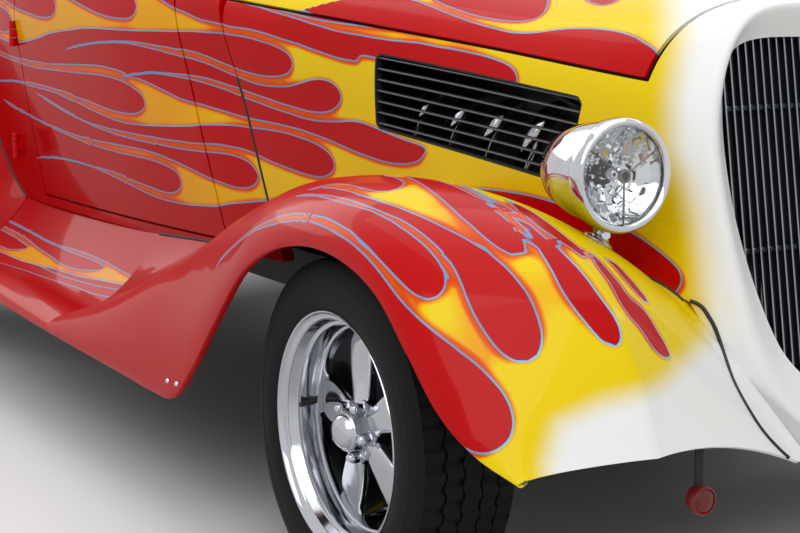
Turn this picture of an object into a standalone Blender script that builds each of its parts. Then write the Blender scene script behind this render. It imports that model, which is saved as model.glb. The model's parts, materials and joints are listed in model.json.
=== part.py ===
"""Flamed hot rod: a lowered three-window coupe of the mid thirties with a one-piece nose.

Metres, +Z up, the nose points along -Y and the car's left side is +X. The pieces are
modelled with the front axle at y = 0 and hang from one empty, which puts the middle of
the car's footprint at the origin.
"""

import math

import bmesh
import bpy
from mathutils import Matrix, Vector
from mathutils.bvhtree import BVHTree

# Driving sizes of the whole car
WHEELBASE = 2.845
HALF_WIDTH = 0.860
FRONT_WHEEL_INSET = 0.150
REAR_WHEEL_INSET = 0.155
FRONT_TRACK = 2.0 * (HALF_WIDTH - FRONT_WHEEL_INSET)
REAR_TRACK = 2.0 * (HALF_WIDTH - REAR_WHEEL_INSET)
PANEL_GAP = 0.006
SEAT_GAP = 0.0004
SHELL_CLEARANCE = 0.0008
CUT_OVERRUN = 0.050

# Tyres and rims
FRONT_TYRE_RADIUS = 0.300
FRONT_TYRE_WIDTH = 0.195
REAR_TYRE_RADIUS = 0.355
REAR_TYRE_WIDTH = 0.245
RIM_RADIUS = 0.190
RIM_LIP_HEIGHT = 0.018
RIM_METAL = 0.009
RIM_WIDTH = 0.184
REAR_RIM_WIDTH = 0.224
HUB_RADIUS = 0.050
HUB_LENGTH = 0.056
HUB_INSET = 0.050
HUB_CAP_RADIUS = 0.036
HUB_CAP_LENGTH = 0.045
SPOKE_COUNT = 5
SPOKE_WIDTH = 0.072
SPOKE_DEPTH = 0.036
SPOKE_SIDES = 6
WHEEL_FACETS = 24

# Body shell: cowl, doors, quarters, roof and tail
BODY_START = 0.955
BODY_LENGTH = 2.300
BODY_HALF_WIDTH = 0.665
ROOF_HEIGHT = 1.445
SILL_HEIGHT = 0.450
BODY_WALL = 0.030
NOSE_SEAM = 0.010
GLASS_WALL = 0.005
GLASS_INSET = 0.012
DOOR_TAPER = 0.400
DOOR_TAPER_START = 0.600
DOOR_REACH = 0.300
SCREEN_HALF_WIDTH = 0.445
REAR_WINDOW_HALF_WIDTH = 0.270
DECK_HALF_WIDTH = 0.400
HINGE_RADIUS = 0.008
HINGE_LENGTH = 0.066
HINGE_LEAF = 0.006
HINGE_FACETS = 10
FIXED_BARRELS = ((-1.5, -0.5), (0.5, 1.5))
MOVING_BARREL = ((-0.5, 0.5),)
DOOR_HINGE_SHARES = (0.42, 0.62)
DOOR_AXIS_SHARES = (1.0301, 0.4403)
DECK_AXIS_SHARES = (0.7413, 0.75606)
LID_HINGE_X = 0.180
DECK_HINGE_X = 0.200
DOOR_AXIS_X = DOOR_AXIS_SHARES[0] * BODY_HALF_WIDTH
DOOR_AXIS_Y = BODY_START + DOOR_AXIS_SHARES[1] * BODY_LENGTH
DECK_AXIS_Y = BODY_START + DECK_AXIS_SHARES[0] * BODY_LENGTH
DECK_AXIS_Z = DECK_AXIS_SHARES[1] * ROOF_HEIGHT

# Nose: hood sides and grille shell in one piece, with the hood lid on it
NOSE_WALL = 0.007
NOSE_TOP_SHARE = 0.70588
NOSE_TOP = NOSE_TOP_SHARE * ROOF_HEIGHT
LID_AXIS_SHARES = (1.02827, 1.0902)
LID_AXIS_Y = LID_AXIS_SHARES[0] * BODY_START
LID_AXIS_Z = LID_AXIS_SHARES[1] * NOSE_TOP
NOSE_HALF_WIDTH = 0.550
LID_GAP = 0.040
VENT_BAR_COUNT = 7
VENT_BAR_SIZE = 0.007
GRILLE_BAR_COUNT = 19
GRILLE_BAR_WIDTH = 0.006
GRILLE_BAR_DEPTH = 0.012
GRILLE_SET_BACK = 0.016

# Fenders and running boards
FENDER_WALL = 0.006
FENDER_INSIDE = 0.034
FENDER_FALL_POWER = 1.8
FENDER_STEPS = 4
FENDER_TOP = 0.725
FENDER_TAIL = 1.300
REAR_FENDER_TOP = 0.850
REAR_FENDER_LENGTH = 1.260
BOARD_WALL = 0.008
BOARD_END = 2.140

# Frame, floor and what stands on them
RAIL_X = 0.360
RAIL_WIDTH = 0.050
RAIL_TOP = 0.4515
RAIL_HEIGHT = 0.090
FLOOR_HEIGHT = 0.452
FLOOR_WALL = 0.012
TRUNK_STEP = 0.078
FIREWALL_Y = 0.990
FIREWALL_WALL = 0.010
ENGINE_LENGTH = 0.620
ENGINE_WIDTH = 0.400
ENGINE_HEIGHT = 0.430
ENGINE_FRONT = 0.120
RADIATOR_WIDTH = 0.320
RADIATOR_HEIGHT = 0.500
RADIATOR_DEPTH = 0.060
RADIATOR_BASE = 0.395
RADIATOR_Y = -0.150
SEAT_WIDTH = 1.020
SEAT_DEPTH = 0.500
SEAT_HEIGHT = 0.180
SEAT_BACK_HEIGHT = 0.520
SEAT_BACK_DEPTH = 0.140
SEAT_START = 1.750
STEERING_WHEEL_RADIUS = 0.175
STEERING_RIM_RADIUS = 0.011
COLUMN_RADIUS = 0.018
DASH_HALF_WIDTH = 0.540
TANK_LENGTH = 0.240
TANK_WIDTH = 0.340
TANK_HEIGHT = 0.140
TANK_START = 2.960

# Axles, knuckles and steering
KINGPIN_INSET = 0.110
KINGPIN_X = FRONT_TRACK / 2.0 - KINGPIN_INSET
AXLE_BEAM_HEIGHT = 0.050
AXLE_BEAM_WIDTH = 0.040
AXLE_DROP = 0.052
EYE_RADIUS = 0.023
EYE_HEIGHT = 0.064
YOKE_HEIGHT = 0.016
DRUM_RADIUS = 0.118
DRUM_WIDTH = 0.050
SPINDLE_RADIUS = 0.022
ARM_LENGTH = 0.135
ARM_DROP = 0.062
ARM_SIZE = 0.020
TIE_ROD_RADIUS = 0.010
SPRING_WIDTH = 0.046
SPRING_THICKNESS = 0.022
SPRING_HALF_SPAN = 0.430
SPRING_ARCH = 0.075
SPRING_Y = 0.000
REAR_TUBE_RADIUS = 0.036
DIFF_RADIUS = 0.105
DIFF_LENGTH = 0.240
AXLE_FLANGE_RADIUS = 0.052

# Lamps
LAMP_RADIUS = 0.093
LAMP_LENGTH = 0.190
LAMP_RING = 0.012
LAMP_PLACE_SHARES = (0.5291, -0.2577, 1.0317)
LAMP_X = LAMP_PLACE_SHARES[0] * HALF_WIDTH
LAMP_Y = LAMP_PLACE_SHARES[1] * FENDER_TAIL
LAMP_Z = LAMP_PLACE_SHARES[2] * FENDER_TOP
STAND_RADIUS = 0.013
STAND_FOOT_RADIUS = 0.026
STAND_FOOT_HEIGHT = 0.008
SIGNAL_RADIUS = 0.024
SIGNAL_LENGTH = 0.034
SIGNAL_PLACE_SHARES = (0.5070, -0.4115, 0.3641)
SIGNAL_X = SIGNAL_PLACE_SHARES[0] * HALF_WIDTH
SIGNAL_Y = SIGNAL_PLACE_SHARES[1] * FENDER_TAIL
SIGNAL_Z = SIGNAL_PLACE_SHARES[2] * FENDER_TOP
TAIL_LAMP_RADIUS = 0.038
TAIL_LAMP_LENGTH = 0.050
TAIL_LAMP_PLACE_SHARES = (0.7674, 0.6588)
TAIL_LAMP_X = TAIL_LAMP_PLACE_SHARES[0] * HALF_WIDTH
TAIL_LAMP_Z = TAIL_LAMP_PLACE_SHARES[1] * REAR_FENDER_TOP
LAMP_FACETS = 20

# Exhaust
PIPE_RADIUS = 0.026
MUFFLER_RADIUS = 0.062
MUFFLER_LENGTH = 0.420
MUFFLER_START = 1.720
PIPE_X = 0.210
PIPE_START = 0.480
PIPE_END = 3.150

# Nose sections from the grille opening back to the cowl.
# Columns: y at the chin and y at the top, in shares of the body's start; then the points
# keel-side low, seam, mid, hood edge, shoulder and top, each (x, z) in shares of the
# nose's half width and top.
NOSE_SECTION_SHARES = (
    (-0.369, -0.262, (0.055, 0.338), (0.227, 0.436), (0.349, 0.627),
     (0.375, 0.814), (0.300, 0.922), (0.000, 0.936)),
    (-0.417, -0.298, (0.091, 0.265), (0.318, 0.397), (0.433, 0.608),
     (0.455, 0.814), (0.309, 0.966), (0.000, 0.988)),
    (-0.403, -0.274, (0.127, 0.250), (0.391, 0.407), (0.495, 0.627),
     (0.504, 0.833), (0.336, 0.971), (0.000, 1.000)),
    (-0.356, -0.225, (0.200, 0.240), (0.491, 0.431), (0.564, 0.647),
     (0.545, 0.851), (0.364, 0.971), (0.000, 1.005)),
    (-0.209, -0.105, (0.545, 0.245), (0.627, 0.471), (0.636, 0.686),
     (0.585, 0.877), (0.391, 0.971), (0.000, 1.012)),
    (0.157, 0.241, (0.655, 0.245), (0.718, 0.490), (0.736, 0.706),
     (0.687, 0.904), (0.455, 0.992), (0.000, 1.029)),
    (0.503, 0.607, (0.736, 0.245), (0.809, 0.490), (0.840, 0.725),
     (0.833, 0.941), (0.545, 1.025), (0.000, 1.054)),
    (0.805, 1.022, (0.800, 0.245), (0.887, 0.490), (0.945, 0.745),
     (1.000, 0.975), (0.636, 1.054), (0.000, 1.078)),
)

# Body sections from the cowl to the tail.
# Columns: y at sill, belt and roof, in shares of the body's length from its start;
# x at sill, waist, belt and roof rail, in shares of the body's half width;
# z at sill, belt, roof rail and roof centre, in shares of the roof's height.
BODY_SECTION_SHARES = (
    (-0.074, -0.011, -0.006, 0.744, 0.805, 0.830, 0.541, 0.311, 0.692, 0.740, 0.761),
    (0.020, 0.076, 0.085, 0.797, 0.869, 0.890, 0.684, 0.311, 0.700, 0.751, 0.770),
    (0.176, 0.193, 0.178, 0.860, 0.944, 0.953, 0.752, 0.311, 0.707, 0.936, 0.969),
    (0.367, 0.367, 0.350, 0.902, 0.985, 0.995, 0.774, 0.311, 0.713, 0.958, 1.000),
    (0.498, 0.498, 0.489, 0.907, 0.992, 1.000, 0.764, 0.311, 0.714, 0.952, 0.994),
    (0.611, 0.611, 0.615, 0.865, 0.965, 0.977, 0.707, 0.311, 0.706, 0.917, 0.952),
    (0.707, 0.707, 0.698, 0.789, 0.880, 0.925, 0.647, 0.311, 0.682, 0.747, 0.779),
    (0.815, 0.815, 0.815, 0.737, 0.810, 0.836, 0.526, 0.311, 0.626, 0.682, 0.702),
    (0.911, 0.911, 0.915, 0.684, 0.740, 0.722, 0.436, 0.313, 0.536, 0.585, 0.602),
    (0.965, 0.967, 0.970, 0.632, 0.662, 0.639, 0.361, 0.320, 0.436, 0.467, 0.478),
    (0.993, 0.996, 0.998, 0.594, 0.609, 0.594, 0.331, 0.335, 0.360, 0.367, 0.370),
)
BODY_ROW_STEPS = (1, 1, 2, 1, 1, 2, 1, 2, 1, 1)
BODY_POINT_STEPS = (1, 2, 2, 2, 1)
NOSE_ROW_STEPS = (1, 1, 1, 2, 2, 1, 1)
NOSE_POINT_STEPS = (1, 2, 1, 2, 2)

# Outlines in the side view. Columns: y in shares of the body's length from its start,
# z in shares of the roof's height.
DOOR_SHARES = (
    (0.020, 0.331), (0.071, 0.685), (0.085, 0.716), (0.181, 0.907), (0.215, 0.924),
    (0.402, 0.931), (0.430, 0.914), (0.439, 0.713), (0.438, 0.331),
)
DOOR_WINDOW_SHARES = (
    (0.117, 0.737), (0.200, 0.896), (0.218, 0.904), (0.396, 0.911), (0.416, 0.898),
    (0.420, 0.737),
)
COWL_SHARES = (
    (-0.150, 0.200), (0.063, 0.200), (0.063, 0.400), (0.106, 0.400), (0.106, 0.723),
    (0.063, 0.803),
    (0.030, 0.900), (-0.150, 0.900),
)
ROOF_SHARES = (
    (0.106, 0.723), (0.672, 0.723), (0.741, 0.830), (0.741, 1.100), (0.030, 1.100),
    (0.030, 0.900), (0.063, 0.803),
)
DECK_SHARES = (
    (0.7340, 0.700), (0.7600, 0.830), (0.9900, 0.830), (1.0300, 0.480), (0.9400, 0.425),
    (0.8000, 0.600),
)
FLOOR_SHARES = (
    (0.018, 0.0), (0.640, 0.0), (0.665, 1.0), (1.000, 1.0),
)
# Window outlines in the front view. Columns: x in shares of the window's half width, z in
# shares of the roof's height.
SCREEN_SHARES = ((-0.92, 0.787), (0.92, 0.787), (1.00, 0.800), (1.00, 0.905), (0.94, 0.927),
                 (0.40, 0.938), (-0.40, 0.938), (-0.94, 0.927), (-1.00, 0.905), (-1.00, 0.800))
REAR_WINDOW_SHARES = ((-0.90, 0.812), (0.90, 0.812), (1.00, 0.825), (1.00, 0.880),
                      (0.85, 0.902), (-0.85, 0.902), (-1.00, 0.880), (-1.00, 0.825))
DECK_FRONT_SHARES = ((-0.62, 0.300), (0.62, 0.300), (0.80, 0.470), (1.00, 0.640),
                     (1.00, 0.900), (-1.00, 0.900), (-1.00, 0.640), (-0.80, 0.470))
DASH_SHARES = (
    (0.060, 0.706), (0.086, 0.742), (0.104, 0.748), (0.122, 0.728), (0.126, 0.640),
    (0.118, 0.636), (0.108, 0.702),
)
# Nose outlines in the side view. Columns: y in shares of the body's start, z in shares
# of the nose's top.
NOSE_UNDERSIDE_SHARES = (
    (-0.455, 0.225), (-0.361, 0.240), (-0.351, 0.332), (-0.340, 0.412), (-0.331, 0.490),
    (-0.317, 0.517), (-0.262, 0.534), (-0.199, 0.554), (1.150, 0.544), (1.150, 0.080),
    (-0.455, 0.080),
)
LID_SHARES = ((-0.209, 0.8725), (1.100, 0.9950), (1.100, 1.200), (-0.209, 1.200))
VENT_SHARES = ((-0.062, 0.698), (0.000, 0.690), (0.486, 0.744), (0.497, 0.754),
               (0.497, 0.880), (0.482, 0.888), (-0.060, 0.836), (-0.073, 0.824))
SEAM_SHARES = ((0.880, 0.563), (1.000, 0.980))

# Front fender, running board and rear fender share one section: a quarter ellipse from
# the outer lip up to the crown, then a power curve down to the seam beside the body.
# Columns: lip y, z, x; crown y, z, x; seam y, z, x. Each y is in shares of the piece's
# length, z of its top and x of the car's half width.
FRONT_FENDER_SHARES = (
    (1.000, 0.348, 0.988, 1.000, 0.403, 0.884, 1.000, 0.640, 0.651),
    (0.815, 0.345, 0.992, 0.815, 0.497, 0.878, 0.815, 0.640, 0.628),
    (0.646, 0.342, 0.995, 0.654, 0.607, 0.870, 0.677, 0.680, 0.581),
    (0.508, 0.339, 0.998, 0.531, 0.690, 0.863, 0.585, 0.759, 0.558),
    (0.423, 0.353, 1.000, 0.438, 0.772, 0.855, 0.508, 0.789, 0.541),
    (0.350, 0.455, 1.000, 0.354, 0.844, 0.840, 0.415, 0.797, 0.523),
    (0.265, 0.607, 1.000, 0.262, 0.910, 0.823, 0.323, 0.800, 0.505),
    (0.173, 0.756, 1.000, 0.165, 0.966, 0.805, 0.223, 0.803, 0.486),
    (0.077, 0.836, 1.000, 0.065, 0.993, 0.786, 0.115, 0.806, 0.467),
    (-0.023, 0.866, 1.000, -0.038, 1.000, 0.767, 0.008, 0.807, 0.449),
    (-0.115, 0.852, 1.000, -0.138, 0.988, 0.749, -0.092, 0.800, 0.430),
    (-0.196, 0.800, 1.000, -0.231, 0.954, 0.726, -0.165, 0.783, 0.413),
    (-0.265, 0.697, 0.998, -0.308, 0.897, 0.702, -0.215, 0.752, 0.384),
    (-0.323, 0.593, 0.988, -0.369, 0.800, 0.684, -0.250, 0.690, 0.349),
    (-0.377, 0.527, 0.967, -0.415, 0.662, 0.669, -0.286, 0.566, 0.291),
    (-0.419, 0.474, 0.919, -0.446, 0.499, 0.657, -0.327, 0.361, 0.174),
)
REAR_FENDER_SHARES = (
    (-0.556, 0.335, 0.988, -0.556, 0.388, 0.884, -0.556, 0.546, 0.686),
    (-0.444, 0.341, 1.002, -0.444, 0.518, 0.884, -0.460, 0.612, 0.680),
    (-0.373, 0.400, 1.009, -0.373, 0.659, 0.874, -0.397, 0.729, 0.674),
    (-0.302, 0.529, 1.012, -0.294, 0.812, 0.858, -0.317, 0.835, 0.663),
    (-0.206, 0.682, 1.012, -0.190, 0.929, 0.840, -0.222, 0.918, 0.645),
    (-0.087, 0.776, 1.012, -0.079, 0.991, 0.821, -0.103, 0.959, 0.626),
    (0.032, 0.791, 1.012, 0.040, 1.000, 0.805, 0.016, 0.959, 0.605),
    (0.143, 0.741, 1.009, 0.159, 0.959, 0.786, 0.127, 0.918, 0.581),
    (0.238, 0.635, 1.000, 0.262, 0.865, 0.763, 0.230, 0.824, 0.556),
    (0.317, 0.506, 0.983, 0.341, 0.729, 0.735, 0.298, 0.706, 0.530),
    (0.381, 0.412, 0.948, 0.401, 0.565, 0.707, 0.341, 0.565, 0.507),
    (0.429, 0.353, 0.890, 0.444, 0.388, 0.680, 0.373, 0.400, 0.483),
)
# The board's rows run from the front fender's tail to the rear fender's foot.
# Columns: share of the way; z of lip, crown and seam, in shares of the sill's height.
BOARD_SHARES = (
    (0.000, 0.561, 0.649, 1.031),
    (0.500, 0.594, 0.692, 1.031),
    (1.000, 0.633, 0.733, 1.031),
)

# Spoke sections from the hub to the rim. Columns: share of the way out, width share,
# depth share, and how far the section sits behind the hub's face in shares of the depth.
SPOKE_SHARES = (
    (0.00, 0.62, 0.80, 0.30),
    (0.22, 0.78, 1.00, 0.20),
    (0.55, 1.00, 1.00, 0.25),
    (0.85, 0.92, 0.90, 0.55),
    (1.00, 0.80, 0.80, 0.70),
)
# Headlamp outline. Columns: share of the length from the lens back, share of the radius.
BUCKET_SHARES = ((0.00, 0.86), (0.00, 1.00), (0.09, 1.00), (0.10, 0.93), (0.35, 0.90),
                 (0.62, 0.74), (0.84, 0.46), (0.96, 0.18), (1.00, 0.00))
SIGNAL_SHARES = ((0.00, 0.00), (0.06, 0.70), (0.16, 1.00), (0.55, 1.00), (0.90, 0.70),
                 (1.00, 0.00))
CAP_SHARES = ((0.00, 0.00), (0.06, 0.60), (0.30, 0.90), (0.70, 1.00), (1.00, 1.00),
              (1.00, 0.00))
# Tyre outline from the bead over the shoulder. Columns: share of half the width, share
# of the height between bead and tread.
TYRE_SHARES = ((0.86, 0.00), (0.93, 0.10), (1.00, 0.42), (0.96, 0.76), (0.80, 0.96),
               (0.40, 1.00))
# Headlamp stand from the foot up to the bucket. Columns: share of the way, shift forward
# in shares of the stand's radius, radius share.
STAND_SHARES = ((0.00, 0.0, 1.30), (0.25, 0.3, 1.00), (0.60, 0.3, 0.85), (1.00, 0.0, 1.30))

# Colour, roughness and metallic value of each finish
MATERIALS = {
    "red_paint": ((0.400, 0.010, 0.014), 0.20, 0.0),
    "polished_metal": ((0.780, 0.780, 0.790), 0.14, 1.0),
    "chrome": ((0.860, 0.870, 0.880), 0.06, 1.0),
    "black_metal": ((0.018, 0.018, 0.020), 0.45, 0.3),
    "tyre_rubber": ((0.022, 0.022, 0.024), 0.78, 0.0),
    "clear_glass": ((0.700, 0.760, 0.760), 0.05, 0.0),
    "amber_lens": ((0.900, 0.330, 0.030), 0.15, 0.0),
    "red_lens": ((0.550, 0.010, 0.010), 0.15, 0.0),
    "tan_leather": ((0.420, 0.250, 0.140), 0.55, 0.0),
}


def clear_scene():
    """Remove what a new file holds."""
    for item in list(bpy.data.objects):
        bpy.data.objects.remove(item, do_unlink=True)


def make_materials():
    """One Principled material for each finish."""
    for name, (colour, roughness, metallic) in MATERIALS.items():
        material = bpy.data.materials.new(name)
        material.use_nodes = True
        shader = material.node_tree.nodes["Principled BSDF"]
        shader.inputs["Base Color"].default_value = (*colour, 1.0)
        shader.inputs["Roughness"].default_value = roughness
        shader.inputs["Metallic"].default_value = metallic


def make_object(name, mesh):
    """A new object in the car's collection."""
    item = bpy.data.objects.new(name, mesh)
    bpy.data.collections["hot_rod"].objects.link(item)
    return item


def mesh_object(name, bm):
    """An object from a bmesh, which is freed."""
    mesh = bpy.data.meshes.new(name)
    bm.to_mesh(mesh)
    bm.free()
    return make_object(name, mesh)


def apply_modifiers(item):
    """Replace an object's mesh by what its modifiers make of it."""
    graph = bpy.context.evaluated_depsgraph_get()
    mesh = bpy.data.meshes.new_from_object(item.evaluated_get(graph))
    old = item.data
    item.modifiers.clear()
    item.data = mesh
    bpy.data.meshes.remove(old)


def combine(item, tool, operation, keep_tool=False):
    """Join, cut or keep what the two solids share."""
    modifier = item.modifiers.new(operation.lower(), "BOOLEAN")
    modifier.operation = operation
    modifier.solver = "EXACT"
    modifier.object = tool
    tool.hide_render = True
    tool.display_type = "WIRE"
    apply_modifiers(item)
    if not keep_tool:
        bpy.data.objects.remove(tool, do_unlink=True)


def join(item, *tools):
    """Union of one object with others, which are used up."""
    for tool in tools:
        combine(item, tool, "UNION")
    return item


def cut(item, tool, keep_tool=False):
    """Difference of an object and a cutter."""
    combine(item, tool, "DIFFERENCE", keep_tool)
    return item


def keep(item, tool, keep_tool=False):
    """What an object and a cutter share."""
    combine(item, tool, "INTERSECT", keep_tool)
    return item


def duplicate(item, name):
    """A copy with its own mesh."""
    return make_object(name, item.data.copy())


def mirrored(item, name):
    """The same piece on the car's other side."""
    twin = duplicate(item, name)
    twin.data.transform(Matrix.Scale(-1.0, 4, Vector((1.0, 0.0, 0.0))))
    twin.data.flip_normals()
    return twin


def smooth_curve(points, steps, crosses_middle=False):
    """Curve through the points, with the given spans between each pair.

    A curve that ends on the car's middle plane runs straight across it.
    """
    points = [Vector(point) for point in points]
    after = 2.0 * points[-1] - points[-2]
    if crosses_middle:
        after = Vector((-points[-2].x, points[-2].y, points[-2].z))
    line = [2.0 * points[0] - points[1], *points, after]
    curve = []
    for index in range(len(points) - 1):
        a, b, c, d = line[index:index + 4]
        spans = steps if isinstance(steps, int) else steps[index]
        for step in range(spans):
            t = step / spans
            curve.append(0.5 * (2.0 * b + (c - a) * t + (2.0 * a - 5.0 * b + 4.0 * c - d) * t ** 2
                                + (3.0 * b - a - 3.0 * c + d) * t ** 3))
    curve.append(points[-1].copy())
    return curve


def refine_rows(rows, steps):
    """Rows between the given rows, so that a loft is smooth along the car."""
    lines = [smooth_curve(column, steps) for column in zip(*rows)]
    return [list(row) for row in zip(*lines)]


def grid_bmesh(rows):
    """Open surface over rows of points, always split along the same diagonal."""
    bm = bmesh.new()
    grid = [[bm.verts.new(point) for point in row] for row in rows]
    for row, following in zip(grid, grid[1:]):
        for index in range(len(row) - 1):
            corners = (row[index], row[index + 1], following[index + 1], following[index])
            bm.faces.new((corners[0], corners[1], corners[2]))
            bm.faces.new((corners[0], corners[2], corners[3]))
    return bm


def turn_outward(bm, inside):
    """Flip a surface whose faces look towards the line x, z = inside."""
    bm.normal_update()
    total = 0.0
    for face in bm.faces:
        centre = face.calc_center_median()
        away = Vector((centre.x - inside[0], 0.0, centre.z - inside[1]))
        total += face.normal.dot(away) * face.calc_area()
    if total < 0.0:
        bmesh.ops.reverse_faces(bm, faces=bm.faces)


def shell(name, rows, wall, inside, mirror=True, inset=0.0):
    """Sheet of a given wall over rows of points, its outside on the points or set in."""
    bm = grid_bmesh(rows)
    turn_outward(bm, inside)
    item = mesh_object(name, bm)
    if mirror:
        half = item.modifiers.new("mirror", "MIRROR")
        half.merge_threshold = 0.0001
    solid = item.modifiers.new("wall", "SOLIDIFY")
    solid.thickness = wall
    solid.offset = -1.0 - 2.0 * inset / wall
    apply_modifiers(item)
    return item


def core(name, rows, swell):
    """Closed solid inside rows that run from the middle plane to the middle plane.

    It is the half loft mirrored, swollen along its normals, with both ends closed.
    """
    bm = grid_bmesh(rows)
    turn_outward(bm, (0.0, (rows[0][0].z + rows[0][-1].z) / 2.0))
    item = mesh_object(name, bm)
    half = item.modifiers.new("mirror", "MIRROR")
    half.merge_threshold = 0.0001
    apply_modifiers(item)
    bm = bmesh.new()
    bm.from_mesh(item.data)
    shifts = [vertex.normal * swell for vertex in bm.verts]
    for vertex, shift in zip(bm.verts, shifts):
        vertex.co += shift
    bmesh.ops.holes_fill(bm, edges=bm.edges)
    bmesh.ops.recalc_face_normals(bm, faces=bm.faces)
    bm.to_mesh(item.data)
    bm.free()
    return item


def loft(name, sections):
    """Solid through closed sections with the same number of points."""
    bm = bmesh.new()
    rings = [[bm.verts.new(point) for point in section] for section in sections]
    count = len(rings[0])
    for ring, following in zip(rings, rings[1:]):
        for index in range(count):
            other = (index + 1) % count
            bm.faces.new((ring[index], ring[other], following[other], following[index]))
    bm.faces.new(list(reversed(rings[0])))
    bm.faces.new(rings[-1])
    bmesh.ops.recalc_face_normals(bm, faces=bm.faces)
    return mesh_object(name, bm)


def side_prism(name, outline, x_low, x_high):
    """Solid with a side-view outline (y, z) between two widths."""
    return loft(name, [[(x, y, z) for y, z in outline] for x in (x_low, x_high)])


def front_prism(name, outline, y_low, y_high):
    """Solid with a front-view outline (x, z) between two places along the car."""
    return loft(name, [[(x, y, z) for x, z in outline] for y in (y_low, y_high)])


def box(name, centre, size):
    """Block with its middle at centre."""
    bm = bmesh.new()
    bmesh.ops.create_cube(bm, size=1.0)
    bmesh.ops.scale(bm, vec=size, verts=bm.verts)
    bmesh.ops.translate(bm, vec=centre, verts=bm.verts)
    return mesh_object(name, bm)


def rounded_box(name, centre, size, radius):
    """Block with its edges rounded."""
    item = box(name, centre, size)
    bevel = item.modifiers.new("edges", "BEVEL")
    bevel.width = radius
    bevel.segments = 2
    apply_modifiers(item)
    return item


def rod(name, start, end, radius, facets=12, end_radius=None):
    """Round bar or cone between two points."""
    start, end = Vector(start), Vector(end)
    axis = end - start
    bm = bmesh.new()
    bmesh.ops.create_cone(bm, cap_ends=True, segments=facets, radius1=radius,
                          radius2=radius if end_radius is None else end_radius,
                          depth=axis.length)
    turn = Vector((0.0, 0.0, 1.0)).rotation_difference(axis).to_matrix().to_4x4()
    bm.transform(Matrix.Translation((start + end) * 0.5) @ turn)
    return mesh_object(name, bm)


def turned(name, outline, facets, place=Matrix()):
    """Solid turned about the local X axis. The outline holds (x, radius) from front to back."""
    mesh = bpy.data.meshes.new(name)
    points = [(x, radius, 0.0) for x, radius in outline]
    edges = [(index, index + 1) for index in range(len(points) - 1)]
    if outline[0][1] > 0.0:
        edges.append((len(points) - 1, 0))
    mesh.from_pydata(points, edges, [])
    item = make_object(name, mesh)
    screw = item.modifiers.new("turn", "SCREW")
    screw.axis = "X"
    screw.angle = math.tau
    screw.steps = facets
    screw.render_steps = facets
    screw.use_merge_vertices = True
    screw.merge_threshold = 0.0001
    apply_modifiers(item)
    bm = bmesh.new()
    bm.from_mesh(item.data)
    bmesh.ops.remove_doubles(bm, verts=bm.verts, dist=screw_merge())
    bmesh.ops.recalc_face_normals(bm, faces=bm.faces)
    bm.transform(place)
    bm.to_mesh(item.data)
    bm.free()
    return item


def screw_merge():
    """Merge distance of turned shapes, far below any real size."""
    return SEAT_GAP * 0.1


def pipe_along(name, stations, sides=10):
    """Pipe that runs along the car, through circles (x, y, z, radius) that face forward."""
    angles = [math.tau * (side + 0.5) / sides for side in range(sides)]
    return loft(name, [[(x + radius * math.cos(angle), y, z + radius * math.sin(angle))
                        for angle in angles] for x, y, z, radius in stations])


def grown(outline, distance):
    """Outline moved outward by a distance, or inward if it is negative."""
    count = len(outline)
    area = sum(outline[i][0] * outline[(i + 1) % count][1]
               - outline[(i + 1) % count][0] * outline[i][1] for i in range(count))
    side = 1.0 if area > 0.0 else -1.0
    moved = []
    for index in range(count):
        before = Vector(outline[index - 1])
        here = Vector(outline[index])
        after = Vector(outline[(index + 1) % count])
        first = (here - before).normalized()
        second = (after - here).normalized()
        first_out = Vector((first.y, -first.x)) * side
        second_out = Vector((second.y, -second.x)) * side
        between = (first_out + second_out).normalized()
        moved.append(tuple(here + between * (distance / max(between.dot(first_out), 0.3))))
    return moved


def body_outline(shares):
    """Side-view outline from shares of the body's length and the roof's height."""
    return [(BODY_START + y * BODY_LENGTH, z * ROOF_HEIGHT) for y, z in shares]


def nose_outline(shares):
    """Side-view outline from shares of the nose."""
    return [(y * BODY_START, z * NOSE_TOP) for y, z in shares]


def body_rows(skirt=None):
    """Half sections of the body, from sill to roof centre.

    With a skirt they start on the middle plane, that far below the sill.
    """
    rows = []
    for y_sill, y_belt, y_roof, *shares in BODY_SECTION_SHARES:
        x_sill, x_waist, x_belt, x_rail = (share * BODY_HALF_WIDTH for share in shares[:4])
        z_sill, z_belt, z_rail, z_roof = (share * ROOF_HEIGHT for share in shares[4:])
        y_sill, y_belt, y_roof = (BODY_START + share * BODY_LENGTH
                                  for share in (y_sill, y_belt, y_roof))
        waist = 0.6
        rail = 0.6
        quarter = 0.55
        points = [
            (x_sill, y_sill, z_sill),
            (x_waist, y_sill + waist * (y_belt - y_sill), z_sill + waist * (z_belt - z_sill)),
            (x_belt, y_belt, z_belt),
            (x_rail, y_belt + rail * (y_roof - y_belt), z_rail),
            (x_rail * quarter, y_roof, z_rail + 0.8 * (z_roof - z_rail)),
            (0.0, y_roof, z_roof),
        ]
        rows.append(smooth_curve(points, BODY_POINT_STEPS, crosses_middle=True))
    rows = refine_rows(rows, BODY_ROW_STEPS)
    if skirt is not None:
        drop = Vector((0.0, 0.0, skirt))
        rows = [[Vector((0.0, row[0].y, row[0].z)) - drop, row[0] - drop, *row] for row in rows]
    return rows


def nose_rows():
    """Half sections of the nose, from the keel to the top."""
    rows = []
    for y_low, y_high, *profile in NOSE_SECTION_SHARES:
        points = [(x * NOSE_HALF_WIDTH, z * NOSE_TOP) for x, z in profile]
        base, top = points[0][1], points[-1][1]
        span = (y_high - y_low) * BODY_START
        line = [(x, y_low * BODY_START + span * (z - base) / (top - base), z)
                for x, z in points]
        row = smooth_curve(line, NOSE_POINT_STEPS, crosses_middle=True)
        rows.append([Vector((0.0, row[0].y, row[0].z)), *row])
    return refine_rows(rows, NOSE_ROW_STEPS)


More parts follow.
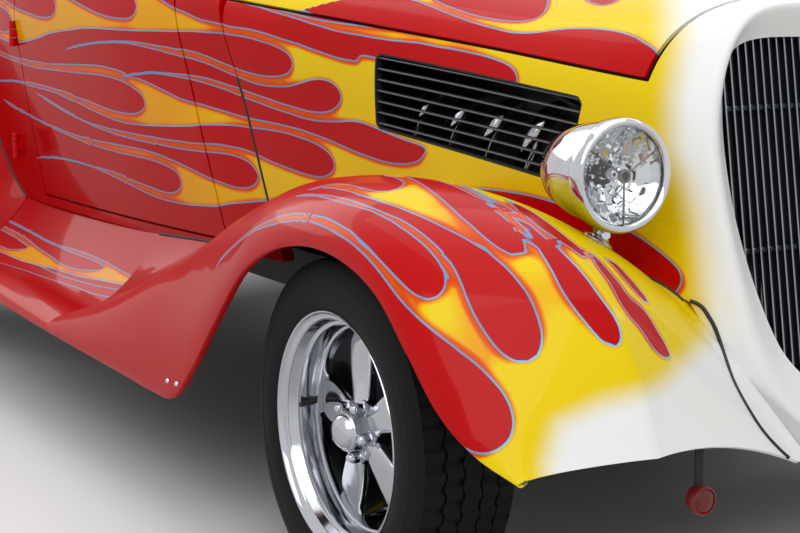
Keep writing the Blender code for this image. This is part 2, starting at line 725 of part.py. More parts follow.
def fender_section(lip, crown, seam):
    """One fender section: quarter ellipse up to the crown, then a rounded fall to the seam."""
    lip, crown, seam = Vector(lip), Vector(crown), Vector(seam)
    points = []
    for step in range(FENDER_STEPS):
        angle = step / FENDER_STEPS * math.pi / 2.0
        out, up = 1.0 - math.cos(angle), math.sin(angle)
        points.append(Vector((lip.x + (crown.x - lip.x) * out,
                              lip.y + (crown.y - lip.y) * out,
                              lip.z + (crown.z - lip.z) * up)))
    for step in range(FENDER_STEPS + 1):
        share = step / FENDER_STEPS
        point = crown.lerp(seam, share)
        point.z = crown.z + (seam.z - crown.z) * share ** FENDER_FALL_POWER
        points.append(point)
    inside = points[-1] + Vector((-FENDER_INSIDE, FENDER_INSIDE / 2.0, 0.0))
    return [*points, inside]


def fender_rows(shares, start, length, top):
    """Rows of a fender from its table."""
    rows = []
    for row in shares:
        points = []
        for y, z, x in (row[0:3], row[3:6], row[6:9]):
            points.append((x * HALF_WIDTH, start + y * length, z * top))
        rows.append(fender_section(*points))
    return rows


def board_rows():
    """Rows of a running board, from one fender to the other."""
    first, last = FRONT_FENDER_SHARES[0], REAR_FENDER_SHARES[0]
    rows = []
    for way, *heights in BOARD_SHARES:
        points = []
        for column, height in zip((2, 5, 8), heights):
            x = (first[column] + (last[column] - first[column]) * way) * HALF_WIDTH
            y = FENDER_TAIL + SEAT_GAP + (BOARD_END - FENDER_TAIL - 2.0 * SEAT_GAP) * way
            points.append((x, y, height * SILL_HEIGHT))
        rows.append(fender_section(*points))
    return rows


def seam_line(offset):
    """The slanted line between nose and cowl, moved back by an offset."""
    (y_low, z_low), (y_high, z_high) = nose_outline(SEAM_SHARES)
    slope = (y_high - y_low) / (z_high - z_low)
    bottom, top = 0.0, ROOF_HEIGHT
    return [(y_low + (z - z_low) * slope + offset, z) for z in (bottom, top)]


def hinge(owner, barrels, centre, axis, point):
    """Barrels of a hinge on one piece, each with a leaf from the axis into the skin."""
    centre, axis = Vector(centre), Vector(axis).normalized()
    third = HINGE_LENGTH / 3.0
    for low, high in barrels:
        start = centre + axis * (low * third + SEAT_GAP / 2.0)
        end = centre + axis * (high * third - SEAT_GAP / 2.0)
        barrel = rod("barrel", start, end, HINGE_RADIUS, HINGE_FACETS)
        reach = Vector(point) - centre
        reach -= axis * reach.dot(axis)
        side = axis.cross(reach).normalized() * HINGE_LEAF / 2.0
        sections = []
        for end_point in (start, end):
            sections.append([end_point + side, end_point - side,
                             end_point - side + reach, end_point + side + reach])
        join(owner, barrel, loft("leaf", sections))


def surface_tree(item):
    """Search tree for rays onto an object."""
    graph = bpy.context.evaluated_depsgraph_get()
    return BVHTree.FromObject(item, graph)


def make_wheel(name, rim_width, tyre_radius, tyre_width):
    """Rim and tyre, turned about the local X axis, with +X outward."""
    half = rim_width / 2.0
    lip = RIM_RADIUS + RIM_LIP_HEIGHT
    bore = RIM_RADIUS - RIM_METAL
    barrel = [
        (half, lip), (half, lip - RIM_METAL), (half - RIM_METAL, bore + RIM_METAL / 3.0),
        (half - 3.0 * RIM_METAL, bore), (-half, bore), (-half, lip),
        (-half + RIM_METAL / 2.0, lip), (-half + RIM_METAL, RIM_RADIUS),
        (half - RIM_METAL, RIM_RADIUS), (half - RIM_METAL / 2.0, lip),
    ]
    rim = turned(name + "_rim", barrel, WHEEL_FACETS)
    face = half - HUB_INSET
    hub = rod("hub", (face - HUB_LENGTH, 0.0, 0.0), (face, 0.0, 0.0), HUB_RADIUS, 20,
              end_radius=HUB_RADIUS * 0.92)
    cap_outline = [(face - SEAT_GAP + HUB_CAP_LENGTH * (1.0 - way), HUB_CAP_RADIUS * wide)
                   for way, wide in CAP_SHARES]
    join(hub, turned("cap", cap_outline, 16))
    for index in range(SPOKE_COUNT):
        turn = Matrix.Rotation(math.tau * index / SPOKE_COUNT, 3, "X")
        sections = []
        for way, wide, deep, behind in SPOKE_SHARES:
            radius = HUB_RADIUS * 0.5 + way * (bore + RIM_METAL * 0.5 - HUB_RADIUS * 0.5)
            width, depth = wide * SPOKE_WIDTH, deep * SPOKE_DEPTH
            section = []
            for side in range(SPOKE_SIDES):
                angle = math.tau * (side + 0.5) / SPOKE_SIDES
                section.append(turn @ Vector((
                    face - depth / 2.0 - behind * SPOKE_DEPTH + math.cos(angle) * depth / 2.0,
                    math.sin(angle) * width / 2.0, radius)))
            sections.append(section)
        join(hub, loft("spoke", sections))
    join(rim, hub)
    bead = RIM_RADIUS + SEAT_GAP
    height = tyre_radius - bead
    outline = [(side * tyre_width / 2.0, bead + up * height) for side, up in TYRE_SHARES]
    seat = half - RIM_METAL - SEAT_GAP
    outline[0] = (seat, bead)
    outline[1] = (seat, bead + RIM_LIP_HEIGHT)
    other = [(-x, radius) for x, radius in reversed(outline)]
    tyre = turned(name + "_tyre", outline + other, WHEEL_FACETS)
    return rim, tyre


def wheel_places():
    """Name, side, axle y, radius and track of each wheel."""
    for end, y, radius, track in (("front", 0.0, FRONT_TYRE_RADIUS, FRONT_TRACK),
                                  ("rear", WHEELBASE, REAR_TYRE_RADIUS, REAR_TRACK)):
        for side, sign in (("left", 1.0), ("right", -1.0)):
            yield f"{end}_{side}", sign, Vector((sign * track / 2.0, y, radius)), end


def make_wheels(car):
    """Four wheels on empties, left and right sharing their meshes."""
    sources = {
        "front": make_wheel("front", RIM_WIDTH, FRONT_TYRE_RADIUS, FRONT_TYRE_WIDTH),
        "rear": make_wheel("rear", REAR_RIM_WIDTH, REAR_TYRE_RADIUS, REAR_TYRE_WIDTH),
    }
    for name, sign, centre, end in wheel_places():
        for source, kind, finish in zip(sources[end], ("rim", "tyre"),
                                        ("polished_metal", "tyre_rubber")):
            piece = make_object(f"{kind}_{name}", source.data)
            piece.parent = car
            piece.location = centre
            piece.rotation_euler = (0.0, 0.0, 0.0 if sign > 0.0 else math.pi)
            dress(piece, finish)
    for pair in sources.values():
        for source in pair:
            bpy.data.objects.remove(source, do_unlink=True)


def dress(item, finish):
    """Give a piece its material and its shading."""
    item.data.materials.clear()
    item.data.materials.append(bpy.data.materials[finish])
    item.data.shade_smooth()
    item.data.set_sharp_from_angle(angle=math.radians(38.0))


def settle(car, item, name, finish, pivot=None):
    """Name a finished piece and hang it from the car or from an empty on its joint."""
    item.name = name
    item.data.name = name
    dress(item, finish)
    item.parent = car
    if pivot is not None:
        item.parent = pivot
        item.matrix_parent_inverse = Matrix.Translation(-pivot.location)
    return item


def pivot_empty(car, name, place):
    """Empty on a joint's axis."""
    pivot = make_object(name, None)
    pivot.location = place
    pivot.parent = car
    return pivot


def door_sections(outline, start, end):
    """The door's outline at three widths, its front edge slanting back on the inside."""
    middle = sum(y for y, _ in outline) / len(outline)
    sections = []
    for x in (end, DOOR_TAPER_START, start):
        shift = max(DOOR_TAPER_START - x, 0.0) * DOOR_TAPER
        sections.append([(x, y + (shift if y < middle else 0.0), z) for y, z in outline])
    return sections


def front_outline(shares, half_width):
    """Front-view outline from shares of a half width and the roof's height."""
    return [(x * half_width, z * ROOF_HEIGHT) for x, z in shares]


def add_hinges(body, door):
    """Two hinges on each door, whose axis stands just outside the skin.

    The right door is made from the left one, so its own barrels come with it.
    """
    tree = surface_tree(body)
    wide = HALF_WIDTH + CUT_OVERRUN
    reach = HINGE_RADIUS * 3.0
    upright = (0.0, 0.0, 1.0)
    for share in DOOR_HINGE_SHARES:
        z = share * ROOF_HEIGHT
        hit = tree.ray_cast(Vector((wide, DOOR_AXIS_Y + reach, z)), Vector((-1.0, 0.0, 0.0)))[0]
        skin = hit.x - BODY_WALL / 2.0
        for side in (1.0, -1.0):
            centre = (side * DOOR_AXIS_X, DOOR_AXIS_Y, z)
            hinge(body, FIXED_BARRELS, centre, upright, (side * skin, DOOR_AXIS_Y + reach, z))
        hinge(door, MOVING_BARREL, (DOOR_AXIS_X, DOOR_AXIS_Y, z), upright,
              (skin, DOOR_AXIS_Y - reach * 1.2, z))


def add_lid_hinges(fixed, moving, half_span, axis_y, axis_z, walls, ahead):
    """Two hinges across the car between a lid and the panel that carries it.

    Ahead is 1 where the lid lies in front of the axis and -1 where it lies behind it.
    """
    reach = HINGE_RADIUS * 3.0 * ahead
    high = ROOF_HEIGHT + CUT_OVERRUN
    down = Vector((0.0, 0.0, -1.0))
    ends = ((fixed, FIXED_BARRELS, axis_y + reach, walls[0]),
            (moving, MOVING_BARREL, axis_y - reach, walls[1]))
    for owner, barrels, y, wall in ends:
        hit = surface_tree(owner).ray_cast(Vector((half_span, y, high)), down)[0]
        for x in (half_span, -half_span):
            hinge(owner, barrels, (x, axis_y, axis_z), (1.0, 0.0, 0.0),
                  (x, y, hit.z - wall / 2.0))


def make_body():
    """Cowl, roof, rear body, doors, deck lid and glass."""
    inside = (0.0, SILL_HEIGHT)
    rows = body_rows()
    overall = BODY_START + BODY_LENGTH + CUT_OVERRUN
    wide = HALF_WIDTH + CUT_OVERRUN
    high = ROOF_HEIGHT + CUT_OVERRUN
    body = shell("body", rows, BODY_WALL, inside)
    pane = shell("pane", rows, GLASS_WALL, inside, inset=GLASS_INSET)
    behind_seam = seam_line(NOSE_SEAM / 2.0)
    keep(body, side_prism("seam", [*behind_seam, (overall, high), (overall, 0.0)], -wide, wide))

    outline = body_outline(DOOR_SHARES)
    door = duplicate(body, "door")
    keep(door, loft("door_cutter", door_sections(outline, DOOR_REACH, wide)))
    opening = loft("opening", door_sections(grown(outline, PANEL_GAP), DOOR_REACH, wide))
    cut(body, mirrored(opening, "opening_right"))
    cut(body, opening)
    window = body_outline(DOOR_WINDOW_SHARES)
    cut(door, side_prism("window", window, DOOR_REACH, wide))
    door_glass = duplicate(pane, "door_glass")
    keep(door_glass, side_prism("window", grown(window, -SEAT_GAP), DOOR_REACH, wide))

    middle = BODY_START + BODY_LENGTH / 2.0
    screen = front_outline(SCREEN_SHARES, SCREEN_HALF_WIDTH)
    cut(body, front_prism("screen", screen, BODY_START, middle))
    windscreen = duplicate(pane, "windscreen")
    keep(windscreen, front_prism("screen", grown(screen, -SEAT_GAP), BODY_START, middle))
    rear = front_outline(REAR_WINDOW_SHARES, REAR_WINDOW_HALF_WIDTH)
    cut(body, front_prism("rear", rear, middle, overall))
    rear_window = duplicate(pane, "rear_window")
    keep(rear_window, front_prism("rear", grown(rear, -SEAT_GAP), middle, overall))
    bpy.data.objects.remove(pane, do_unlink=True)

    side = body_outline(DECK_SHARES)
    face = front_outline(DECK_FRONT_SHARES, DECK_HALF_WIDTH)
    deck = duplicate(body, "deck")
    cutter = side_prism("deck_side", side, -wide, wide)
    keep(deck, keep(cutter, front_prism("deck_face", face, middle, overall + CUT_OVERRUN)))
    cutter = side_prism("deck_side", grown(side, PANEL_GAP), -wide, wide)
    face = grown(face, PANEL_GAP)
    cut(body, keep(cutter, front_prism("deck_face", face, middle, overall + CUT_OVERRUN)))

    cowl = duplicate(body, "cowl")
    cowl_side = body_outline(COWL_SHARES)
    keep(cowl, side_prism("cowl_side", grown(cowl_side, -SEAT_GAP / 2.0), -wide, wide))
    roof = duplicate(body, "roof")
    roof_side = body_outline(ROOF_SHARES)
    keep(roof, side_prism("roof_side", grown(roof_side, -SEAT_GAP / 2.0), -wide, wide))
    cut(body, side_prism("cowl_side", grown(cowl_side, SEAT_GAP / 2.0), -wide, wide))
    cut(body, side_prism("roof_side", grown(roof_side, SEAT_GAP / 2.0), -wide, wide))
    return body, cowl, roof, door, door_glass, windscreen, rear_window, deck


def make_nose():
    """Nose with its vent bars, and the hood lid on it."""
    wide = HALF_WIDTH + CUT_OVERRUN
    high = ROOF_HEIGHT + CUT_OVERRUN
    nose = shell("nose", nose_rows(), NOSE_WALL, (0.0, NOSE_TOP * 0.6))
    front = -(WHEELBASE / 2.0)
    ahead_of_seam = seam_line(-NOSE_SEAM / 2.0)
    keep(nose, side_prism("seam", [*ahead_of_seam, (front, high), (front, 0.0)], -wide, wide))
    skin = surface_tree(nose)
    lid = duplicate(nose, "lid")
    lid_side = nose_outline(LID_SHARES)
    keep(lid, side_prism("lid_side", lid_side_set_back(lid_side), -wide, wide))
    lowered = [(y, z - PANEL_GAP) if z < NOSE_TOP * 1.1 else (y, z) for y, z in lid_side]
    cut(nose, side_prism("lid_opening", lowered, -wide, wide))
    cut(nose, side_prism("underside", nose_outline(NOSE_UNDERSIDE_SHARES), -wide, wide))
    vent = nose_outline(VENT_SHARES)
    cut(nose, side_prism("vent", vent, -wide, wide))
    join(nose, *vent_bars(skin, vent))
    return nose, lid


def lid_side_set_back(outline):
    """The lid's side outline, its front edge set back by the gap to the shell."""
    front = min(y for y, _ in outline)
    (y_low, z_low), (y_high, z_high) = outline[0], outline[1]
    rise = (z_high - z_low) / (y_high - y_low) * LID_GAP
    moved = []
    for y, z in outline:
        if y > front:
            moved.append((y, z))
        elif z < NOSE_TOP:
            moved.append((y + LID_GAP, z + rise))
        else:
            moved.append((y + LID_GAP, z))
    return moved


def vent_bars(skin, vent):
    """Thin bars across the vent of each side, following the hood's surface."""
    y_front = min(y for y, _ in vent) - VENT_BAR_SIZE
    y_rear = max(y for y, _ in vent) + VENT_BAR_SIZE
    front = [z for y, z in vent if y < (y_front + y_rear) / 2.0]
    rear = [z for y, z in vent if y > (y_front + y_rear) / 2.0]
    spans = 4
    bars = []
    for index in range(VENT_BAR_COUNT):
        share = (index + 1.0) / (VENT_BAR_COUNT + 1.0)
        z_front = min(front) + (max(front) - min(front)) * share
        z_rear = min(rear) + (max(rear) - min(rear)) * share
        sections = []
        for step in range(spans + 1):
            y = y_front + (y_rear - y_front) * step / spans
            z = z_front + (z_rear - z_front) * step / spans
            hit = skin.ray_cast(Vector((HALF_WIDTH, y, z)), Vector((-1.0, 0.0, 0.0)))[0]
            low, size = hit.x - NOSE_WALL, VENT_BAR_SIZE / 2.0
            sections.append([(hit.x - SEAT_GAP, y, z - size), (hit.x - SEAT_GAP, y, z + size),
                             (low, y, z + size), (low, y, z - size)])
        bar = loft("bar", sections)
        bars.extend((bar, mirrored(bar, "bar_right")))
    return bars


def grille_opening():
    """Half outline of the grille opening, low to high, from the nose's first section."""
    return nose_rows()[0]


def make_grille(nose_inner):
    """Thin upright bars on two bands that reach the inside of the shell."""
    rim = grille_opening()
    depth = GRILLE_BAR_DEPTH
    levels = [point for point in rim if point.x > 0.0 or point is rim[0]]
    low, high = rim[0].z, rim[-1].z
    spread = max(point.x for point in rim) - GRILLE_BAR_WIDTH * 2.0

    def face_y(z):
        share = (z - low) / (high - low)
        return rim[0].y + (rim[-1].y - rim[0].y) * share + GRILLE_SET_BACK

    def half_width(z):
        for first, second in zip(levels, levels[1:]):
            if first.z <= z <= second.z:
                share = (z - first.z) / max(second.z - first.z, SEAT_GAP)
                return first.x + (second.x - first.x) * share
        return 0.0

    pieces = []
    for index in range(GRILLE_BAR_COUNT):
        x = spread * (2.0 * index / (GRILLE_BAR_COUNT - 1) - 1.0)
        heights = [low + (high - low) * step / 60.0 for step in range(61)]
        inside = [z for z in heights if half_width(z) > abs(x) + GRILLE_BAR_WIDTH * 1.5]
        if abs(x) < GRILLE_BAR_WIDTH:
            inside = heights[1:-2]
        bottom, top = inside[0], inside[-1]
        half = GRILLE_BAR_WIDTH / 2.0
        sections = []
        for z in (bottom, top):
            y = face_y(z)
            sections.append([(x - half, y + depth, z), (x, y, z), (x + half, y + depth, z)])
        pieces.append(loft("bar", sections))
    bands = []
    for share in (0.45, 0.80):
        z = low + (high - low) * share
        y = face_y(z) + depth
        band = box("band", (0.0, y, z), (2.0 * NOSE_HALF_WIDTH, depth, depth))
        bands.append(keep(band, nose_inner, keep_tool=True))
    for band in bands[1:]:
        pieces.append(band)
    return join(bands[0], *pieces)


def make_fenders(nose_core, body_core):
    """Front fender, running board and rear fender of the left side."""
    inside = (HALF_WIDTH * 0.7, 0.0)
    sets = (
        ("front_fender", fender_rows(FRONT_FENDER_SHARES, 0.0, FENDER_TAIL, FENDER_TOP),
         FENDER_WALL),
        ("running_board", board_rows(), BOARD_WALL),
        ("rear_fender", fender_rows(REAR_FENDER_SHARES, WHEELBASE, REAR_FENDER_LENGTH,
                                    REAR_FENDER_TOP), FENDER_WALL),
    )
    pieces = []
    for name, rows, wall in sets:
        piece = shell(name, rows, wall, inside, mirror=False)
        if name != "rear_fender":
            cut(piece, nose_core, keep_tool=True)
        cut(piece, body_core, keep_tool=True)
        largest_body(piece)
        seat = shell(name + "_seat", rows, wall + 2.0 * SEAT_GAP, inside, mirror=False,
                     inset=-SEAT_GAP)
        pieces.append((piece, seat))
    return pieces


def largest_body(item):
    """Drop the offcuts that a cut leaves beside the piece."""
    bm = bmesh.new()
    bm.from_mesh(item.data)
    left = set(bm.verts)
    groups = []
    while left:
        start = left.pop()
        group, frontier = {start}, [start]
        while frontier:
            vertex = frontier.pop()
            for edge in vertex.link_edges:
                other = edge.other_vert(vertex)
                if other in left:
                    left.remove(other)
                    group.add(other)
                    frontier.append(other)
        groups.append(group)
    groups.sort(key=len)
    for group in groups[:-1]:
        bmesh.ops.delete(bm, geom=list(group), context="VERTS")
    bm.to_mesh(item.data)
    bm.free()


def stand_on(tree, start, direction):
    """Where a ray meets a fender, and the fender's normal there."""
    hit, normal, _, _ = tree.ray_cast(start, direction)
    return hit, normal


def make_lamps(fenders):
    """Headlamp on its stand, turn signal and tail lamp of the left side.

    Each foot is cut to the fender's own surface.
    """
    (front, front_seat), _, (rear, rear_seat) = fenders
    sink = FENDER_WALL * 0.5
    forward = Matrix.Rotation(math.pi / 2.0, 4, "Z")
    place = Matrix.Translation(Vector((LAMP_X, LAMP_Y, LAMP_Z))) @ forward
    outline = [(LAMP_LENGTH * way, LAMP_RADIUS * wide) for way, wide in BUCKET_SHARES]
    outline.insert(0, (LAMP_RING, 0.0))
    outline[1] = (LAMP_RING, outline[1][1])
    headlamp = turned("headlamp", outline, LAMP_FACETS, place)
    tree = surface_tree(front)
    top = Vector((LAMP_X, LAMP_Y + LAMP_LENGTH * 0.35, LAMP_Z - LAMP_RADIUS * 0.7))
    hit, normal = stand_on(tree, top, Vector((0.0, 0.0, -1.0)))
    foot_end = hit + normal * STAND_FOOT_HEIGHT
    foot = rod("foot", hit - normal * sink, foot_end, STAND_FOOT_RADIUS, 16)
    sections = []
    for way, ahead, wide in STAND_SHARES:
        centre = (foot_end - normal * sink).lerp(top, way)
        centre.y -= ahead * STAND_RADIUS
        sections.append([centre + Vector((math.cos(angle), math.sin(angle), 0.0))
                         * STAND_RADIUS * wide
                         for angle in (math.tau * side / 12.0 for side in range(12))])
    join(headlamp, foot, loft("stand", sections))
    cut(headlamp, front_seat, keep_tool=True)
    largest_body(headlamp)

    place = Matrix.Translation(Vector((SIGNAL_X, SIGNAL_Y, SIGNAL_Z))) @ forward
    outline = [(SIGNAL_LENGTH * way, SIGNAL_RADIUS * wide) for way, wide in SIGNAL_SHARES]
    signal = turned("signal", outline, 16, place)
    tab_y = SIGNAL_Y + SIGNAL_LENGTH * 0.6
    below = Vector((SIGNAL_X, tab_y, SIGNAL_Z))
    top_z = stand_on(tree, below, Vector((0.0, 0.0, 1.0)))[0].z
    tab = box("tab", (SIGNAL_X, tab_y, (SIGNAL_Z + top_z + sink) / 2.0),
              (SIGNAL_RADIUS, FENDER_WALL, top_z + sink - SIGNAL_Z))
    cut(tab, front_seat)
    largest_body(tab)
    join(signal, tab)

    tree = surface_tree(rear)
    behind = Vector((TAIL_LAMP_X, WHEELBASE + REAR_FENDER_LENGTH, TAIL_LAMP_Z))
    hit, normal = stand_on(tree, behind, Vector((0.0, -1.0, 0.0)))
    backward = Vector((0.0, TAIL_LAMP_LENGTH * 0.6, 0.0))
    pad = rod("pad", hit - normal * sink, hit + normal * STAND_FOOT_HEIGHT,
              STAND_RADIUS * 1.5, 12)
    stem = rod("stem", hit + normal * STAND_FOOT_HEIGHT * 0.5, hit + backward, STAND_RADIUS, 12)
    place = Matrix.Translation(hit + Vector((0.0, TAIL_LAMP_LENGTH * 1.4, 0.0)))
    place = place @ Matrix.Rotation(-math.pi / 2.0, 4, "Z")
    outline = [(TAIL_LAMP_LENGTH * way, TAIL_LAMP_RADIUS * wide) for way, wide in SIGNAL_SHARES]
    tail_lamp = turned("tail_lamp", outline, 16, place)
    join(tail_lamp, stem, pad)
    cut(tail_lamp, rear_seat)
    largest_body(tail_lamp)
    return headlamp, signal, tail_lamp


def cross_top():
    """Top of the frame's cross members."""
    return RAIL_TOP - RAIL_WIDTH * 0.3


def spring_base():
    """Underside of the cross spring at its ends, let into the axle beam's top."""
    beam_top = FRONT_TYRE_RADIUS - AXLE_DROP + AXLE_BEAM_HEIGHT / 2.0
    return beam_top - SPRING_THICKNESS * 0.25


def cross_members(end, notch):
    """Place, top, height and width of each cross member, from the nose back."""
    size, top = RAIL_WIDTH, cross_top()
    spring_top = spring_base() + SPRING_ARCH + SPRING_THICKNESS
    return (
        (RADIATOR_Y, RADIATOR_BASE - SEAT_GAP, RAIL_HEIGHT * 0.3, RADIATOR_DEPTH),
        (SPRING_Y, top, top - spring_top - SEAT_GAP, size),
        (ENGINE_FRONT + ENGINE_LENGTH * 0.8, top, size, size),
        (BODY_START + BODY_LENGTH * 0.30, top, size, size),
        (WHEELBASE - notch * 3.0, top, size, size),
        (end - size * 2.0, top, size * 0.6, size),
    )


def make_frame(body_inner):
    """Two rails with cross members, the floor and the firewall."""
    wide = HALF_WIDTH
    low = RAIL_TOP - RAIL_HEIGHT
    front, end = RADIATOR_Y - RADIATOR_DEPTH * 2.5, TANK_START + TANK_LENGTH - CUT_OVERRUN
    notch, notch_top = REAR_TUBE_RADIUS * 2.4, REAR_TYRE_RADIUS + REAR_TUBE_RADIUS * 1.3
    outline = [(front, RAIL_TOP), (end, RAIL_TOP), (end, low + RAIL_HEIGHT / 2.0),
               (WHEELBASE + notch * 1.5, low + RAIL_HEIGHT / 2.0),
               (WHEELBASE + notch, notch_top), (WHEELBASE - notch, notch_top),
               (WHEELBASE - notch * 2.0, low), (front + RAIL_HEIGHT, low),
               (front, low + RAIL_HEIGHT / 3.0)]
    frame = side_prism("frame", outline, RAIL_X - RAIL_WIDTH / 2.0, RAIL_X + RAIL_WIDTH / 2.0)
    other = mirrored(frame, "rail")
    join(frame, other)
    reach = 2.0 * RAIL_X
    for y, top, height, width in cross_members(end, notch):
        join(frame, box("cross", (0.0, y, top - height / 2.0), (reach, width, height)))

    trunk = [(BODY_START + y * BODY_LENGTH, FLOOR_HEIGHT + up * TRUNK_STEP)
             for y, up in FLOOR_SHARES]
    upper = [(y, z + FLOOR_WALL) for y, z in trunk]
    floor = side_prism("floor", [*trunk, *reversed(upper)], -wide, wide)
    keep(floor, body_inner, keep_tool=True)
    firewall = box("firewall", (0.0, FIREWALL_Y, ROOF_HEIGHT / 2.0),
                   (2.0 * wide, FIREWALL_WALL, ROOF_HEIGHT))
    keep(firewall, body_inner, keep_tool=True)
    floor_top = FLOOR_HEIGHT + FLOOR_WALL + SEAT_GAP
    cut(firewall, box("trim", (0.0, FIREWALL_Y, floor_top / 2.0),
                      (2.0 * wide, FIREWALL_WALL * 4.0, floor_top)))
    return frame, floor, firewall


def make_cabin(body_inner):
    """Seat, dashboard and steering wheel."""
    floor_top = FLOOR_HEIGHT + FLOOR_WALL + SEAT_GAP
    cushion = rounded_box("cushion", (0.0, SEAT_START + SEAT_DEPTH / 2.0,
                                      floor_top + SEAT_HEIGHT / 2.0),
                          (SEAT_WIDTH, SEAT_DEPTH, SEAT_HEIGHT), SEAT_HEIGHT * 0.25)
    back = rounded_box("back", (0.0, SEAT_START + SEAT_DEPTH, floor_top + SEAT_HEIGHT
                                + SEAT_BACK_HEIGHT * 0.35),
                       (SEAT_WIDTH, SEAT_BACK_DEPTH, SEAT_BACK_HEIGHT), SEAT_BACK_DEPTH * 0.3)
    seat = join(cushion, back)
    dash = side_prism("dash", body_outline(DASH_SHARES), -DASH_HALF_WIDTH, DASH_HALF_WIDTH)
    keep(dash, body_inner, keep_tool=True)
    centre = Vector((RAIL_X, SEAT_START - SEAT_BACK_HEIGHT * 0.42, SILL_HEIGHT * 2.03))
    slope = Vector((0.0, math.cos(math.radians(28.0)), math.sin(math.radians(28.0))))
    column_end = centre - slope * ((centre.y - FIREWALL_Y - FIREWALL_WALL) / slope.y)
    column = rod("column", column_end, centre, COLUMN_RADIUS, 12)
    hole = rod("hole", column_end, centre, COLUMN_RADIUS + SEAT_GAP, 12)
    cut(dash, hole)
    bm = bmesh.new()
    ring_steps, ring_sides = 28, 6
    turn = Vector((0.0, 0.0, 1.0)).rotation_difference(slope).to_matrix()
    sections = []
    for step in range(ring_steps):
        angle = math.tau * step / ring_steps
        spoke = Vector((math.cos(angle), math.sin(angle), 0.0))
        ring = []
        for side in range(ring_sides):
            tilt = math.tau * side / ring_sides
            local = spoke * (STEERING_WHEEL_RADIUS + STEERING_RIM_RADIUS * math.cos(tilt))
            local.z = STEERING_RIM_RADIUS * math.sin(tilt)
            ring.append(bm.verts.new(centre + turn @ local))
        sections.append(ring)
    for ring, following in zip(sections, sections[1:] + sections[:1]):
        for side in range(ring_sides):
            other = (side + 1) % ring_sides
            bm.faces.new((ring[side], ring[other], following[other], following[side]))
    bmesh.ops.recalc_face_normals(bm, faces=bm.faces)
    wheel = mesh_object("steering_wheel", bm)
    for step in range(3):
        angle = math.tau * (step / 3.0 + 0.25)
        tip = turn @ Vector((math.cos(angle), math.sin(angle), 0.0)) * STEERING_WHEEL_RADIUS
        join(wheel, rod("spoke", centre - tip * 0.05, centre + tip, STEERING_RIM_RADIUS * 0.7, 8))
    join(wheel, rod("boss", centre - slope * COLUMN_RADIUS * 2.0,
                    centre + slope * COLUMN_RADIUS, COLUMN_RADIUS * 1.6, 16))
    join(wheel, column)
    square_end = box("trim", (RAIL_X, FIREWALL_Y, column_end.z),
                     (COLUMN_RADIUS * 6.0, FIREWALL_WALL + 2.0 * SEAT_GAP, COLUMN_RADIUS * 8.0))
    cut(wheel, square_end)
    return seat, dash, wheel


def make_engine():
    """Plain engine block and the radiator."""
    base = cross_top() + SEAT_GAP
    engine = rounded_box("engine", (0.0, ENGINE_FRONT + ENGINE_LENGTH / 2.0,
                                    base + ENGINE_HEIGHT / 2.0),
                         (ENGINE_WIDTH, ENGINE_LENGTH, ENGINE_HEIGHT), ENGINE_HEIGHT * 0.06)
    radiator = rounded_box("radiator", (0.0, RADIATOR_Y, RADIATOR_BASE + RADIATOR_HEIGHT / 2.0),
                           (RADIATOR_WIDTH, RADIATOR_DEPTH, RADIATOR_HEIGHT),
                           RADIATOR_DEPTH * 0.15)
    return engine, radiator


def make_front_axle():
    """Dropped beam with its eyes, carrying the arched cross spring."""
    height, width = AXLE_BEAM_HEIGHT / 2.0, AXLE_BEAM_WIDTH / 2.0
    low = FRONT_TYRE_RADIUS - AXLE_DROP
    bend, start = KINGPIN_X - EYE_RADIUS * 0.4, KINGPIN_X * 0.72
    path = ((-bend, FRONT_TYRE_RADIUS), (-start, low), (start, low), (bend, FRONT_TYRE_RADIUS))
    sections = [[(x, -width, z - height), (x, width, z - height), (x, width, z + height),
                 (x, -width, z + height)] for x, z in path]
    axle = loft("axle", sections)
    for side in (-1.0, 1.0):
        centre = Vector((side * KINGPIN_X, 0.0, FRONT_TYRE_RADIUS))
        half = Vector((0.0, 0.0, EYE_HEIGHT / 2.0))
        join(axle, rod("eye", centre - half, centre + half, EYE_RADIUS, 16))
    base = spring_base()
    sections = []
    for step in range(9):
        share = step / 4.0 - 1.0
        x = share * SPRING_HALF_SPAN
        z = base + SPRING_ARCH * (1.0 - share * share)
        half = SPRING_WIDTH / 2.0
        sections.append([(x, -half, z), (x, half, z), (x, half, z + SPRING_THICKNESS),
                         (x, -half, z + SPRING_THICKNESS)])
    return join(axle, loft("spring", sections))


